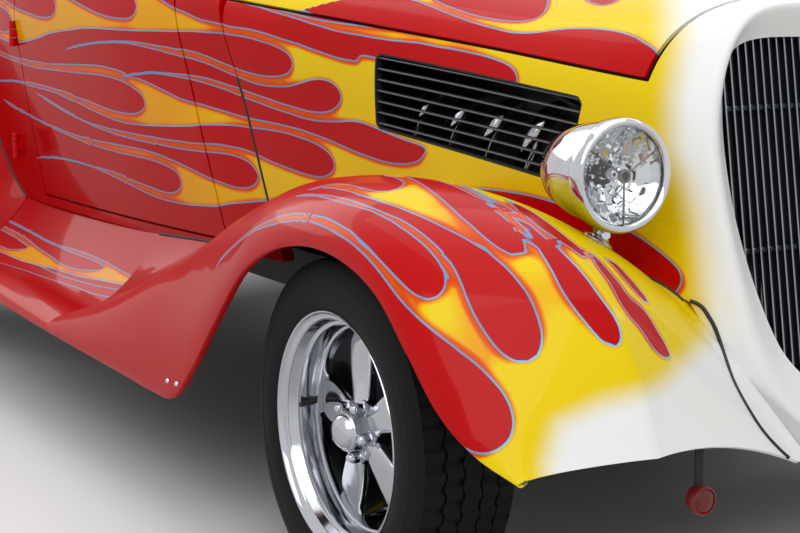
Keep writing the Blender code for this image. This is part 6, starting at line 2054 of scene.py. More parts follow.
@dataclass
class Shell:
    """Nose, hood, cowl, doors, roof, tail and glass.

    Attributes:
        skins: The car's skins.
        shade_edge: How far a painted shade strip lies under its panel's edge, in metres.
        shade_reach: How far a painted shade strip reaches beyond the gap.
    """

    skins: Skins
    shade_edge: float = 0.0005
    shade_reach: float = 0.004

    def panels(self) -> tuple[Panel, ...]:
        """The panels, from nose to tail.

        Returns:
            The panels, with what each is cut by.
        """
        shade_band = PANEL_GAP + self.shade_reach
        door = side_outline(DOOR)
        window = side_outline(DOOR_WINDOW)
        cowl, roof = side_outline(COWL), side_outline(ROOF)
        screen = front_outline(SCREEN, SCREEN_HALF_WIDTH)
        rear = front_outline(REAR_WINDOW, REAR_WINDOW_HALF_WIDTH)
        behind = outside(ahead_of_seam(NOSE_SEAM / 2.0))
        door_hole = both(in_side(door, PANEL_GAP), beyond_reach)
        body_cuts = (behind, outside(door_hole), outside(in_front(screen)),
                     outside(in_front(rear, ahead=False)), outside(self.deck(PANEL_GAP)))
        lid = nose_outline(LID)
        lowered = lid.copy()
        lowered[lowered[:, 1] < NOSE_TOP * 1.1, 1] -= PANEL_GAP
        rise = (lid[1, 1] - lid[0, 1]) / (lid[1, 0] - lid[0, 0]) * LID_GAP
        set_back = lid.copy()
        set_back[0] += (LID_GAP, rise)
        set_back[3, 0] += LID_GAP
        ahead = ahead_of_seam(-NOSE_SEAM / 2.0)
        side_casters = ("nose", "body")
        return (
            Panel("nose", "chassis", "nose",
                  (ahead, outside(in_side(lowered)), outside(in_side(nose_outline(UNDERSIDE))),
                   outside(in_side(nose_outline(VENT)))),
                  NOSE_WALL, FLAMED, True, art=SIDE_ART, casters=side_casters, inner=TRIM),
            Panel("hood_top", "hood", "nose", (ahead, in_side(set_back)), NOSE_WALL, FLAMED,
                  True, art=HOOD_ART, casters=("nose",), inner=TRIM),
            Panel("cowl", "chassis", "body", (*body_cuts, in_side(cowl)), BODY_WALL, FLAMED,
                  True, art=SIDE_ART, casters=side_casters, inner=LINER),
            Panel("door", "side_door", "body",
                  (in_side(door), beyond_reach, outside(both(in_side(window), beyond_reach))),
                  BODY_WALL, FLAMED, True, True, SIDE_ART, side_casters, inner=LINER),
            Panel("roof", "chassis", "body", (*body_cuts, in_side(roof), outside(in_side(cowl))),
                  BODY_WALL, inner=LINER),
            Panel("rear_body", "chassis", "body",
                  (*body_cuts, outside(in_side(cowl)), outside(in_side(roof))), BODY_WALL,
                  FLAMED, art=SIDE_ART, casters=side_casters, inner=LINER, middle=True),
            Panel("deck_lid", "trunk_lid", "body", (self.deck(0.0),), BODY_WALL, inner=TRIM),
            Panel("windscreen", "chassis", "body", (in_front(screen, -0.0006),), GLASS_WALL,
                  CLEAR, inset=GLASS_INSET),
            Panel("rear_window", "chassis", "body", (in_front(rear, -0.0006, False),),
                  GLASS_WALL, CLEAR, inset=GLASS_INSET),
            Panel("door_glass", "side_door", "body", (in_side(window, -0.0006), beyond_reach),
                  GLASS_WALL, CLEAR, pair=True, inset=GLASS_INSET),
            Panel("front_fender", "chassis", "front_fender", (), FENDER_WALL, FLAMED, True,
                  True, FENDER_ART, ("front_fender",), inner=TRIM),
            Panel("running_board", "chassis", "board", (), FENDER_WALL, FLAMED, True, True,
                  BOARD_ART, ("board",), inner=TRIM),
            Panel("rear_fender", "chassis", "rear_fender", (), FENDER_WALL, pair=True,
                  inner=TRIM),
            # Painted shade: a near-black strip and wall round the vent's opening stand for the
            # shade inside it.
            Panel("vent_edge_shade", "chassis", "nose",
                  (in_side(nose_outline(VENT), 0.0006),
                   outside(in_side(nose_outline(VENT), -0.0035))),
                  0.016, BLACK_AND_PAINTED_SHADE, True, inset=0.0008, replaces=False),
            # Painted shade: a near-black sheet under the hood top's gap stands for the shade in
            # that gap.
            Panel("hood_gap_shade", "chassis", "nose",
                  (ahead, in_side(lowered, 0.006), outside(in_side(set_back, -0.006))),
                  0.003, BLACK_AND_PAINTED_SHADE, inset=0.012, replaces=False),
            # Painted shade: near-black strips behind the door's gap stand for the shade in it.
            Panel("door_gap_shade", "chassis", "body",
                  (in_side(door, shade_band), beyond_reach, outside(in_side(door, self.shade_edge))),
                  0.006, BLACK_AND_PAINTED_SHADE, pair=True, inset=0.010, replaces=False),
            # Painted shade: a near-black strip behind the deck lid's gap stands for the shade in
            # it.
            Panel("deck_gap_shade", "chassis", "body",
                  (self.deck(shade_band), outside(self.deck(self.shade_edge))),
                  0.006, BLACK_AND_PAINTED_SHADE, inset=0.010, replaces=False),
        )

    @staticmethod
    def deck(grow: float) -> Field3:
        """Positive on the deck lid, moved outward by grow."""
        face = front_outline(DECK_FACE, DECK_HALF_WIDTH)
        return both(in_side(side_outline(DECK), grow), in_front(face, grow, False))

    def build(self) -> None:
        """Make every panel."""
        for panel in self.panels():
            panel.build(self.skins)


# Floor, light and camera.

@dataclass
class Studio:
    """Floor, light and camera.

    Attributes:
        boxes: Name, place, width, height and power of each soft box.
        aim: Point that the boxes are turned to.
        floor_size: Side of the floor, in metres.
        near: How far out the floor starts to turn white.
        far: How far out it is plain white.
        on_the_car: Strength of the white surroundings as a light.
    """

    boxes: tuple[tuple[str, tuple[float, float, float], float, float, float], ...] = (
        ("key", (-3.6, -5.0, 5.2), 8.0, 5.5, 300.0),
        ("top", (0.4, -0.4, 5.6), 8.0, 5.0, 150.0),
        ("fill", (5.4, 1.5, 3.6), 5.0, 3.6, 110.0),
        ("tail", (-1.6, 6.2, 4.4), 6.0, 4.0, 150.0))
    aim: tuple[float, float, float] = (0.0, -0.3, 0.5)
    floor_size: float = 120.0
    near: float = 2.6
    far: float = 7.0
    on_the_car: float = 0.38

    def build(self) -> None:
        """Make the stage."""
        self.floor()
        self.world()
        self.lights()
        self.camera()

    @staticmethod
    def seen(graph: Graph) -> Sock:
        """1 for rays that show the background, and 0 for those that light things."""
        rays = [graph.node("LightPath", output=name) for name in
                ("Is Camera Ray", "Is Glossy Ray", "Is Transmission Ray")]
        return (rays[0] + rays[1] + rays[2]).clamp()

    def floor(self) -> None:
        """Wide pale floor that keeps the shadow and turns plain white far away."""
        bpy.ops.mesh.primitive_plane_add(size=self.floor_size, location=(0.0, 0.0, 0.0))
        floor = bpy.context.active_object
        floor.name = "floor"
        graph = Graph.material("floor_paint")
        graph.set(Base_Color=rgb(226.0, 226.0, 226.0), Roughness=0.9, Specular_IOR_Level=0.0)
        away = graph.node("VectorMath", {0: graph.place()}, "Value", operation="LENGTH")
        glow = graph.node("Emission", {"Color": (1.0, 1.0, 1.0, 1.0), "Strength": 1.0})
        factor = away.ramp(self.near, self.far) * self.seen(graph)
        both_kinds = graph.node("MixShader", {0: factor, 2: glow})
        blend = both_kinds.output.node
        graph.tree.links.new(graph.shader.outputs[0], blend.inputs[1])
        surface = graph.tree.nodes["Material Output"].inputs["Surface"]
        graph.tree.links.new(blend.outputs[0], surface)
        floor.data.materials.append(graph.owner)

    def world(self) -> None:
        """White where it is seen, and a softer light on the car."""
        world = bpy.data.worlds.new("studio")
        bpy.context.scene.world = world
        graph = Graph(world, "Background")
        graph.set(Color=(1.0, 1.0, 1.0, 1.0),
                  Strength=self.seen(graph) * (1.0 - self.on_the_car) + self.on_the_car)

    def lights(self) -> None:
        """Large soft boxes above and beside the car."""
        for name, place, wide, high, watts in self.boxes:
            light = bpy.data.lights.new(name, "AREA")
            light.shape = "RECTANGLE"
            light.size, light.size_y, light.energy = wide, high, watts
            lamp = bpy.data.objects.new(name, light)
            bpy.context.scene.collection.objects.link(lamp)
            lamp.location = place
            way = Vector(self.aim) - Vector(place)
            lamp.rotation_euler = way.to_track_quat("-Z", "Y").to_euler()

    @staticmethod
    def camera() -> None:
        """The picture's camera."""
        data = bpy.data.cameras.new("camera")
        data.lens, data.sensor_width = Camera.lens, Camera.sensor
        item = bpy.data.objects.new("camera", data)
        bpy.context.scene.collection.objects.link(item)
        item.location = Vector(Camera.place) + Vector((0.0, CAR_Y, 0.0))
        back = Vector(Camera.axes()[2])
        item.rotation_euler = (-back).to_track_quat("-Z", "Y").to_euler()
        bpy.context.scene.camera = item
        bpy.context.scene.view_settings.view_transform = "Standard"


# Pieces modelled by themselves.

def mm(text: str) -> list[tuple[float, float]]:
    """Points of a profile, from pairs of radius and height in millimetres."""
    return [tuple(float(part) / 1000.0 for part in pair.split(",")) for pair in text.split()]


class Shop:
    """Shapes modelled with Blender's own operators, in the CAD's frame."""

    @staticmethod
    def named(name: str) -> bpy.types.Object:
        """The active object under a new name, with nothing left selected.

        Args:
            name: Name for the active object.

        Returns:
            The new piece.
        """
        item = bpy.context.active_object
        item.name = name
        item.data.name = name
        return item

    @staticmethod
    def cylinder(name: str, radius: float, depth: float, sides: int = 32) -> bpy.types.Object:
        """Upright cylinder at the origin."""
        bpy.ops.mesh.primitive_cylinder_add(vertices=sides, radius=radius, depth=depth)
        return Shop.named(name)

    @staticmethod
    def cube(name: str, size: Sequence[float]) -> bpy.types.Object:
        """Block at the origin.

        Args:
            name: Name of the piece.
            size: Its width, depth and height.

        Returns:
            The new piece.
        """
        bpy.ops.mesh.primitive_cube_add(size=1.0)
        item = Shop.named(name)
        item.data.transform(Matrix.Diagonal((*size, 1.0)))
        return item

    @staticmethod
    def ball(name: str, radius: float, segments: int = 24, rings: int = 12) -> bpy.types.Object:
        """Ball at the origin."""
        bpy.ops.mesh.primitive_uv_sphere_add(segments=segments, ring_count=rings,
                                             radius=radius)
        return Shop.named(name)

    @staticmethod
    def ring(name: str, radius: float, thick: float, major: int = 48,
             minor: int = 12) -> bpy.types.Object:
        """Ring lying flat at the origin.

        Args:
            name: Name of the piece.
            radius: Radius of the middle line.
            thick: Radius of the ring's section.
            major: Segments around.
            minor: Segments of the section.

        Returns:
            The new piece.
        """
        bpy.ops.mesh.primitive_torus_add(major_segments=major, minor_segments=minor,
                                         major_radius=radius, minor_radius=thick)
        return Shop.named(name)

    @staticmethod
    def spun(name: str, outline: Sequence[tuple[float, float]], steps: int = 64,
             faceting: float = 30.0) -> bpy.types.Object:
        """Shape turned about Z from an outline of (radius, height) points.

        Args:
            name: Name of the piece.
            outline: Radius and height of each point.
            steps: Segments around.
            faceting: Angle that stays sharp, in degrees.

        Returns:
            The new piece.
        """
        mesh = bpy.data.meshes.new(name)
        mesh.from_pydata([(radius, 0.0, height) for radius, height in outline],
                         [(index, index + 1) for index in range(len(outline) - 1)], [])
        item = new_object(name, mesh)
        Shop.picked(item)
        bpy.ops.object.mode_set(mode="EDIT")
        bpy.ops.mesh.select_all(action="SELECT")
        bpy.ops.mesh.spin(steps=steps, angle=math.tau, center=(0.0, 0.0, 0.0),
                          axis=(0.0, 0.0, 1.0), use_auto_merge=True)
        bpy.ops.mesh.select_all(action="SELECT")
        bpy.ops.mesh.remove_doubles(threshold=0.00002)
        bpy.ops.mesh.normals_make_consistent(inside=False)
        bpy.ops.object.mode_set(mode="OBJECT")
        Shop.smooth(item, faceting)
        return item

    @staticmethod
    def picked(item: bpy.types.Object) -> None:
        """Make a piece the only selected object and the active one."""
        bpy.ops.object.select_all(action="DESELECT")
        bpy.context.view_layer.objects.active = item
        item.select_set(True)

    @staticmethod
    def outward(item: bpy.types.Object, faceting: float) -> bpy.types.Object:
        """Turn a closed shape's faces outward and shade it smooth.

        Args:
            item: The piece.
            faceting: Angle above which an edge stays sharp, in degrees.

        Returns:
            The same piece.
        """
        Shop.picked(item)
        bpy.ops.object.mode_set(mode="EDIT")
        bpy.ops.mesh.select_all(action="SELECT")
        bpy.ops.mesh.normals_make_consistent(inside=False)
        bpy.ops.object.mode_set(mode="OBJECT")
        Shop.smooth(item, faceting)
        return item

    @staticmethod
    def smooth(item: bpy.types.Object, faceting: float = 30.0) -> None:
        """Smooth shading with sharp edges above an angle."""
        item.data.shade_smooth()
        item.data.set_sharp_from_angle(angle=math.radians(faceting))

    @staticmethod
    def bevelled(item: bpy.types.Object, width: float, segments: int = 2,
                 angle: float = 30.0) -> bpy.types.Object:
        """Round an object's edges.

        Args:
            item: The piece.
            width: Width of the bevel.
            segments: Segments of the bevel.
            angle: Angle above which edges are bevelled.

        Returns:
            The same piece.
        """
        Shop.picked(item)
        bevel = item.modifiers.new("edges", "BEVEL")
        bevel.width, bevel.segments = width, segments
        bevel.limit_method, bevel.angle_limit = "ANGLE", math.radians(angle)
        bpy.ops.object.modifier_apply(modifier=bevel.name)
        Shop.smooth(item, 40.0)
        return item

    @staticmethod
    def placed(item: bpy.types.Object, place: Matrix) -> bpy.types.Object:
        """Move a piece's own points.

        Args:
            item: The piece.
            place: Matrix that its mesh is moved by.

        Returns:
            The same piece.
        """
        item.data.transform(place)
        if place.determinant() < 0.0:
            item.data.flip_normals()
        return item

    @staticmethod
    def copied(item: bpy.types.Object, place: Matrix = Matrix()) -> bpy.types.Object:
        """A copy with its own mesh."""
        twin = new_object(item.name, item.data.copy())
        return Shop.placed(twin, place)

    @staticmethod
    def joined(name: str, items: Sequence[bpy.types.Object]) -> bpy.types.Object:
        """Several pieces as one object, their points kept where they are.

        Args:
            name: Name of the whole.
            items: Pieces to join.

        Returns:
            The joined piece.
        """
        bpy.ops.object.select_all(action="DESELECT")
        for item in items:
            item.select_set(True)
        bpy.context.view_layer.objects.active = items[0]
        if len(items) > 1:
            bpy.ops.object.join()
        return Shop.named(name)


def frame_on(point: Sequence[float], axis: Sequence[float], turn: float = 0.0) -> Matrix:
    """Place whose Z runs along an axis, turned about it."""
    rotation = Vector(axis).to_track_quat("Z", "Y").to_matrix().to_4x4()
    return (Matrix.Translation(Vector(point)) @ rotation
            @ Matrix.Rotation(math.radians(turn), 4, "Z"))


def lifted(x: float, y: float, z: float) -> Vector:
    """A point of the front-axle frame in the CAD's frame."""
    return Vector((x, y + CAR_Y, z))


def across(item: bpy.types.Object) -> bpy.types.Object:
    """The piece's twin on the car's other side."""
    return Shop.copied(item, Matrix.Scale(-1.0, 4, Vector((1.0, 0.0, 0.0))))


class Tread(Enum):
    """Parts of a tyre's outline: the cells of a block that are cut, and how deep."""

    SIDE = ((), 0.0)
    SHOULDER = ((0, 1), 0.0042)
    GROOVE = ((), 0.0062)
    BLOCK = ((2, 3), 0.0040)
    CENTRE = ((5,), 0.0022)


@dataclass
class Wheel:
    """One wheel: a deep polished rim with five petal spokes and a grooved tyre.

    The pieces are modelled about Z with the outer face upward.

    Attributes:
        name: End and side of the wheel, as in the CAD.
        radius: Tyre radius.
        width: Tyre width.
        rim_width: Rim width.
        rim_radius: Rim radius under the tyre.
        lip: Radius of the rim's lip.
        face: Depth of the spokes' face below the lip.
        turn: How far the wheel is turned, in degrees.
        pitches: Tread blocks around.
        cells: Mesh cells across one block.
        waver: How far a groove sways to either side.
    """

    name: str
    radius: float
    width: float
    rim_width: float
    rim_radius: float = 0.190
    lip: float = 0.208
    face: float = 0.050
    turn: float = 28.0
    pitches: int = 52
    cells: int = 6
    waver: float = 0.0022

    def build(self) -> None:
        """Make the rim and the tyre and put them on their axle."""
        low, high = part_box("rim_" + self.name)
        tyre_low, tyre_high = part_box("tyre_" + self.name)
        centre = (tyre_low + tyre_high) / 2.0
        sign = 1.0 if centre.x > 0.0 else -1.0
        place = frame_on(centre, (sign, 0.0, 0.0), self.turn)
        body = f"wheel_{self.name}"
        rim = Shop.placed(self.rim(), place)
        finish_piece(rim, POLISHED, body, ("rim_" + self.name,))
        nuts = Shop.placed(self.nuts(), place)
        finish_piece(nuts, CHROME, body)
        valve = Shop.placed(self.valve(), place)
        finish_piece(valve, TRIM, body)
        tyre = Shop.placed(self.tyre(), place)
        finish_piece(tyre, TYRE, body, ("tyre_" + self.name,))

    def rim(self) -> bpy.types.Object:
        """Stepped barrel, hub with its domed cap, and five spokes.

        Returns:
            The new piece.
        """
        half = self.rim_width / 2.0
        seat, lip = self.rim_radius, self.lip
        outline = [
            (lip - 0.004, half - 0.0005), (lip - 0.0015, half + 0.001), (lip, half - 0.001),
            (lip + 0.0004, half - 0.004), (lip - 0.003, half - 0.008),
            (seat + 0.001, half - 0.012), (seat + 0.0005, half - 0.030),
            (seat - 0.012, half - 0.052), (seat - 0.012, -half + 0.030), (seat, -half + 0.014),
            (lip - 0.001, -half + 0.005), (lip, -half + 0.001), (lip - 0.005, -half),
            (seat - 0.004, -half + 0.008), (seat - 0.018, -half + 0.020),
            (seat - 0.019, half - 0.086), (seat - 0.018, half - 0.066),
            (seat - 0.0165, half - 0.062), (seat - 0.0125, half - 0.060),
            (seat - 0.0115, half - 0.056), (seat - 0.0108, half - 0.036),
            (seat - 0.0095, half - 0.032), (seat - 0.0035, half - 0.030),
            (seat - 0.0015, half - 0.0275), (seat + 0.0005, half - 0.013),
            (seat + 0.003, half - 0.0095), (lip - 0.0095, half - 0.0075),
            (lip - 0.0065, half - 0.0055), (lip - 0.004, half - 0.0005),
        ]
        barrel = Shop.spun("rim_barrel", outline, 96, 32.0)
        top = half - self.face
        hub = Shop.spun("rim_hub", [
            (0.0, top - 0.052), (0.046, top - 0.052), (0.050, top - 0.046), (0.051, top - 0.014),
            (0.049, top - 0.008), (0.044, top - 0.004), (0.041, top - 0.001),
            (0.0395, top + 0.004), (0.037, top + 0.010), (0.0365, top + 0.022),
            (0.0355, top + 0.026), (0.0335, top + 0.0285), (0.0325, top + 0.028),
            (0.0315, top + 0.0285), (0.0295, top + 0.0335), (0.025, top + 0.0385),
            (0.018, top + 0.0420), (0.009, top + 0.0440), (0.0, top + 0.0446)], 64, 26.0)
        spoke = self.spoke(top)
        spokes = [Shop.copied(spoke, Matrix.Rotation(math.tau * turn / 5.0, 4, "Z"))
                  for turn in range(1, 5)]
        return Shop.joined(f"rim_{self.name}_alloy", [barrel, hub, spoke, *spokes])

    def spoke(self, top: float) -> bpy.types.Object:
        """One petal spoke with a dished face, along X.

        Args:
            top: Height of the spoke's face.

        Returns:
            The new piece.
        """
        stations = 22
        around = 28
        rings = []
        for index in range(stations):
            way = index / (stations - 1)
            reach = 0.026 + way * (self.rim_radius - 0.012 - 0.026)
            wide = np.interp(way, (0.0, 0.18, 0.42, 0.68, 0.86, 1.0),
                             (0.021, 0.025, 0.0325, 0.036, 0.034, 0.036))
            deep = np.interp(way, (0.0, 0.3, 0.7, 1.0), (0.019, 0.017, 0.014, 0.013))
            centre = top - 0.016 - 0.010 * way ** 1.6 - 0.012 * max(way - 0.8, 0.0) / 0.2
            dish = 0.0085 * math.sin(math.pi * min(max((way - 0.05) / 0.9, 0.0), 1.0)) ** 0.8
            ring = []
            for step in range(around):
                angle = math.tau * step / around
                across_way = math.cos(angle)
                up = math.sin(angle)
                x = abs(across_way) ** 0.75 * math.copysign(1.0, across_way)
                z = abs(up) ** 0.8 * math.copysign(1.0, up)
                height = z * deep
                if up > 0.0:
                    height -= dish * (1.0 - (abs(x)) ** 3.2) * min(up * 2.0, 1.0)
                ring.append((reach, x * wide, centre + height))
            rings.append(ring)
        points = [point for ring in rings for point in ring]
        faces = []
        for index in range(stations - 1):
            here, after = index * around, (index + 1) * around
            for step in range(around):
                other = (step + 1) % around
                faces.append((here + step, after + step, after + other, here + other))
        faces.append(tuple(range(around)))
        last = (stations - 1) * around
        faces.append(tuple(last + step for step in reversed(range(around))))
        mesh = bpy.data.meshes.new("rim_spoke")
        mesh.from_pydata(points, [], faces)
        item = new_object("rim_spoke", mesh)
        return Shop.outward(item, 50.0)

    def nuts(self) -> bpy.types.Object:
        """Five chrome hexagon nuts with domed ends between the spokes' roots.

        Returns:
            The new piece.
        """
        top = self.rim_width / 2.0 - self.face
        nut = Shop.bevelled(Shop.cylinder("lug_nut", 0.0105, 0.020, 6), 0.0012, 2)
        Shop.placed(nut, Matrix.Translation((0.0, 0.0, 0.006)))
        dome = Shop.ball("lug_dome", 0.0085, 20, 10)
        Shop.placed(dome, Matrix.Translation((0.0, 0.0, 0.015)))
        skirt = Shop.spun("lug_skirt", mm("0,-20 13.5,-20 13.5,-3.5 12.5,-1 0,-1"), 24)
        whole = Shop.joined("lug", [nut, dome, skirt])
        copies = []
        for turn in range(5):
            angle = math.tau * (turn + 0.5) / 5.0
            spot = Vector((0.0465 * math.cos(angle), 0.0465 * math.sin(angle), top + 0.004))
            copies.append(Shop.copied(whole, Matrix.Translation(spot)))
        bpy.data.objects.remove(whole, do_unlink=True)
        return Shop.joined(f"rim_{self.name}_nuts", copies)

    def valve(self) -> bpy.types.Object:
        """Valve stem through the rim's step.

        Returns:
            The new piece.
        """
        angle = math.radians(148.0)
        radius = self.rim_radius - 0.016
        start = Vector((radius * math.cos(angle), radius * math.sin(angle),
                        self.rim_width / 2.0 - 0.052))
        way = Vector((-math.cos(angle) * 0.35, -math.sin(angle) * 0.35, 1.0)).normalized()
        stem = Shop.spun("valve_stem", mm("0,-6 6.2,-6 6.2,3 4.2,8 4,20 4.8,20.5 4.8,30 "
                                          "3.5,31.5 0,31.5"), 16)
        Shop.placed(stem, frame_on(start, way))
        stem.name = f"rim_{self.name}_valve"
        return stem

    def tyre(self) -> bpy.types.Object:
        """Tyre with ribs, grooves, sipes and shoulder blocks.

        Returns:
            The new piece.
        """
        half = self.width / 2.0
        bead = self.rim_radius + 0.0006
        seat = self.rim_width / 2.0 - 0.0125
        tall = self.radius - bead
        side = [(seat, 0.0), (seat + 0.001, 0.10), (0.90 * half, 0.13), (0.955 * half, 0.22),
                (0.985 * half, 0.32), (1.0 * half, 0.42), (0.998 * half, 0.52),
                (0.985 * half, 0.60), (0.985 * half, 0.615), (0.992 * half, 0.625),
                (0.972 * half, 0.70), (0.945 * half, 0.79), (0.905 * half, 0.87),
                (0.862 * half, 0.925)]
        profile = [(z, bead + up * tall, 0.0, Tread.SIDE) for z, up in side]
        ribs = self.ribs(half)
        profile.extend(ribs)
        profile.extend((-z, r, cut, kind) for z, r, cut, kind in reversed(profile[:len(side)]))
        steps = self.pitches * self.cells
        points, faces = [], []
        count = len(profile)
        for turn in range(steps):
            cell = turn % self.cells
            for z, r, cut, kind in profile:
                cells, deep = kind.value
                shift = 0.0
                if kind is Tread.GROOVE:
                    shift = self.waver * (1.0 if cell < self.cells // 2 else -1.0)
                angle = math.tau * turn / steps
                radius = r - (max(cut, deep) if cell in cells else cut)
                points.append((radius * math.cos(angle), radius * math.sin(angle), z + shift))
            after = (turn + 1) % steps
            for index in range(count):
                other = (index + 1) % count
                faces.append((turn * count + index, turn * count + other,
                              after * count + other, after * count + index))
        mesh = bpy.data.meshes.new(f"tyre_{self.name}_tread")
        mesh.from_pydata(points, [], faces)
        item = new_object(mesh.name, mesh)
        return Shop.outward(item, 34.0)

    def ribs(self, half: float) -> list[tuple[float, float, float, Tread]]:
        """Tread outline across the tyre: side place, radius, depth of cut and kind.

        Args:
            half: Half the tread's width.

        Returns:
            Rows of the tread's blocks.
        """
        edge = 0.862 * half

        def crown(z: float) -> float:
            """Height of the tread's crown."""
            return self.radius - (self.radius - self.rim_radius) * 0.075 * (abs(z) / edge) ** 2.6

        rows = []
        marks = (0.80, 0.62, 0.57, 0.40, 0.235, 0.185)
        line = [(Tread.SHOULDER, 0.97), (Tread.SHOULDER, marks[0]), (Tread.SHOULDER, marks[1]),
                (Tread.GROOVE, marks[1], marks[2]), (Tread.BLOCK, marks[3]),
                (Tread.BLOCK, marks[4]), (Tread.GROOVE, marks[4], marks[5]),
                (Tread.CENTRE, 0.06)]
        for kind, start, *end in line:
            z = start * edge
            rows.append((z, crown(z), 0.0, kind))
            if kind is Tread.GROOVE:
                deep, other = kind.value[1], end[0] * edge
                rows.append((z - 0.001, crown(z), deep, kind))
                rows.append((other + 0.001, crown(other), deep, kind))
                rows.append((other, crown(other), 0.0, kind))
        mirrored = [(-z, r, cut, kind) for z, r, cut, kind in reversed(rows)]
        return rows + mirrored


@dataclass
class Wheels:
    """The four wheels.

    Attributes:
        skins: The car's skins; not used.
        front: Tyre radius, tyre width and rim width in front, in metres.
        rear: The same of the rear wheels.
    """

    skins: Skins
    front: tuple[float, float, float] = (0.300, 0.195, 0.184)
    rear: tuple[float, float, float] = (0.355, 0.245, 0.224)

    def build(self) -> None:
        """Make each wheel."""
        for end, sizes in (("front", self.front), ("rear", self.rear)):
            for side, _ in SIDES:
                Wheel(f"{end}_{side}", *sizes).build()


@dataclass
class Lamps:
    """Headlamps, turn signals and tail lamps.

    Attributes:
        skins: The car's skins.
        radius: Radius of the headlamp's ring, in metres.
        length: Length of its bucket.
        centre: Middle of the left ring's face.
    """

    skins: Skins
    radius: float = 0.0925
    length: float = 0.186
    centre: tuple[float, float, float] = (0.455, -0.335, 0.748)

    def build(self) -> None:
        """Make each lamp of the left side and its twin."""
        self.headlamps()
        self.stands()
        self.turn_signals()
        self.tail_lamps()

    @staticmethod
    def both_sides(item: bpy.types.Object, kind: str, part: str, finish: Finish,
                   stands_for: bool = False) -> None:
        """Finish a left piece and its twin on the right.

        Args:
            item: Piece of the left side.
            kind: Lamp that it belongs to.
            part: Part of the lamp.
            finish: Its finish.
            stands_for: True where it stands for the CAD node.
        """
        twin = across(item)
        for piece, (side, _) in zip((item, twin), SIDES):
            piece.name = f"{kind}_{side}_{part}"
            nodes = (f"{kind}_{side}",) if stands_for else ()
            finish_piece(piece, finish, "chassis", nodes)

    def headlamps(self) -> None:
        """Chrome bucket and ring, faceted reflector, three bars, bulb and domed lens."""
        place = frame_on(lifted(*self.centre), (0.0, -1.0, 0.0), 180.0)
        r = self.radius
        bucket = Shop.spun("bucket", [
            (0.0, -self.length), (0.010, -self.length + 0.0006), (0.022, -self.length + 0.004),
            (0.038, -self.length + 0.013), (0.053, -self.length + 0.028),
            (0.066, -self.length + 0.050), (0.0755, -self.length + 0.078),
            (0.0815, -self.length + 0.108), (0.0845, -self.length + 0.135), (0.0855, -0.028),
            (0.0850, -0.020), (0.0790, -0.020)], 72, 32.0)
        ring = Shop.spun("ring", [
            (0.0785, -0.012), (0.0775, -0.003), (0.0790, 0.0015), (0.0812, 0.0045),
            (0.0845, 0.0060), (0.0880, 0.0055), (0.0905, 0.0028), (0.0918, -0.0010),
            (r, -0.006), (r, -0.020), (0.0915, -0.0228), (0.0885, -0.0240), (0.0880, -0.0262),
            (0.0862, -0.0275), (0.0835, -0.0265), (0.0785, -0.020), (0.0785, -0.012)], 96, 30.0)
        shell = Shop.joined("bucket", [bucket, ring])
        self.both_sides(Shop.placed(shell, place), "headlamp", "bucket", CHROME, True)
        self.both_sides(Shop.placed(self.reflector(), place), "headlamp", "reflector", MIRROR)
        self.both_sides(Shop.placed(self.bars(), place), "headlamp", "bars", GUNMETAL)
        disc = Shop.spun("disc", mm("0,3 6.8,3 7.2,2.4 7.2,-4 0,-4"), 28)
        self.both_sides(Shop.placed(disc, place), "headlamp", "disc", BLACK_AND_PAINTED_SHADE)
        bulb = Shop.spun("bulb", mm("0,-22 4,-22.2 7.8,-24.5 9.8,-29 10,-36 8.5,-36.5 8.5,-52 "
                                    "0,-52"), 32)
        self.both_sides(Shop.placed(bulb, place), "headlamp", "bulb", CHROME)
        socket = Shop.spun("socket", mm("11.5,-61 13,-53 16.5,-51.5 18.5,-52 19,-56 11.5,-61"),
                           40)
        self.both_sides(Shop.placed(socket, place), "headlamp", "socket", BLACK_AND_PAINTED_SHADE)
        lens = Shop.spun("lens", mm("0,10.5 20,9.8 40,7.8 60,4.4 77.5,-0.2 78,-4 60,1.6 40,5 "
                                    "20,7 0,7.7"), 72, 50.0)
        self.both_sides(Shop.placed(lens, place), "headlamp", "lens", LENS)

    @staticmethod
    def reflector() -> bpy.types.Object:
        """Bowl with flat facets above and upright flutes below.

        Returns:
            The new piece.
        """
        rings, around = 15, 72
        points = []
        for ring in range(rings):
            way = 0.13 + 0.87 * ring / (rings - 1)
            for step in range(around):
                angle = math.tau * step / around
                x, y = way * math.cos(angle), way * math.sin(angle)
                depth = -0.060 + 0.050 * way * way
                if y < -0.05:
                    depth += 0.0022 * math.sin(x * 34.0) * min((-y - 0.05) * 6.0, 1.0)
                else:
                    column = math.floor(angle / math.tau * 18.0)
                    row = math.floor(way * 7.0)
                    depth += 0.0016 * math.sin(column * 2.4 + row * 1.9)
                points.append((x * 0.0780, y * 0.0780, depth))
        hub = len(points)
        points.append((0.0, 0.0, -0.0605))
        faces = []
        for ring in range(rings - 1):
            for step in range(around):
                other = (step + 1) % around
                faces.append((ring * around + step, ring * around + other,
                              (ring + 1) * around + other, (ring + 1) * around + step))
        faces.extend((hub, (step + 1) % around, step) for step in range(around))
        mesh = bpy.data.meshes.new("reflector")
        mesh.from_pydata(points, [], [face[::-1] for face in faces])
        item = new_object("reflector", mesh)
        Shop.smooth(item, 14.0)
        return item

    @staticmethod
    def bars() -> bpy.types.Object:
        """Three slim bars from the middle ring to the lamp's ring.

        Returns:
            The new piece.
        """
        collar = Shop.spun("collar", mm("6.5,-2 6.5,2.6 8.5,3.4 11,2.4 11.6,0 11,-3 6.5,-2"), 36)
        pieces = [collar]
        for turn in (90.0, 214.0, 328.0):
            bar = Shop.cube("bar", (0.0685, 0.0030, 0.0035))
            Shop.placed(bar, Matrix.Rotation(math.radians(turn), 4, "Z")
                        @ Matrix.Translation((0.0440, 0.0, -0.0008)))
            pieces.append(Shop.bevelled(bar, 0.0008, 1))
        return Shop.joined("bars", pieces)

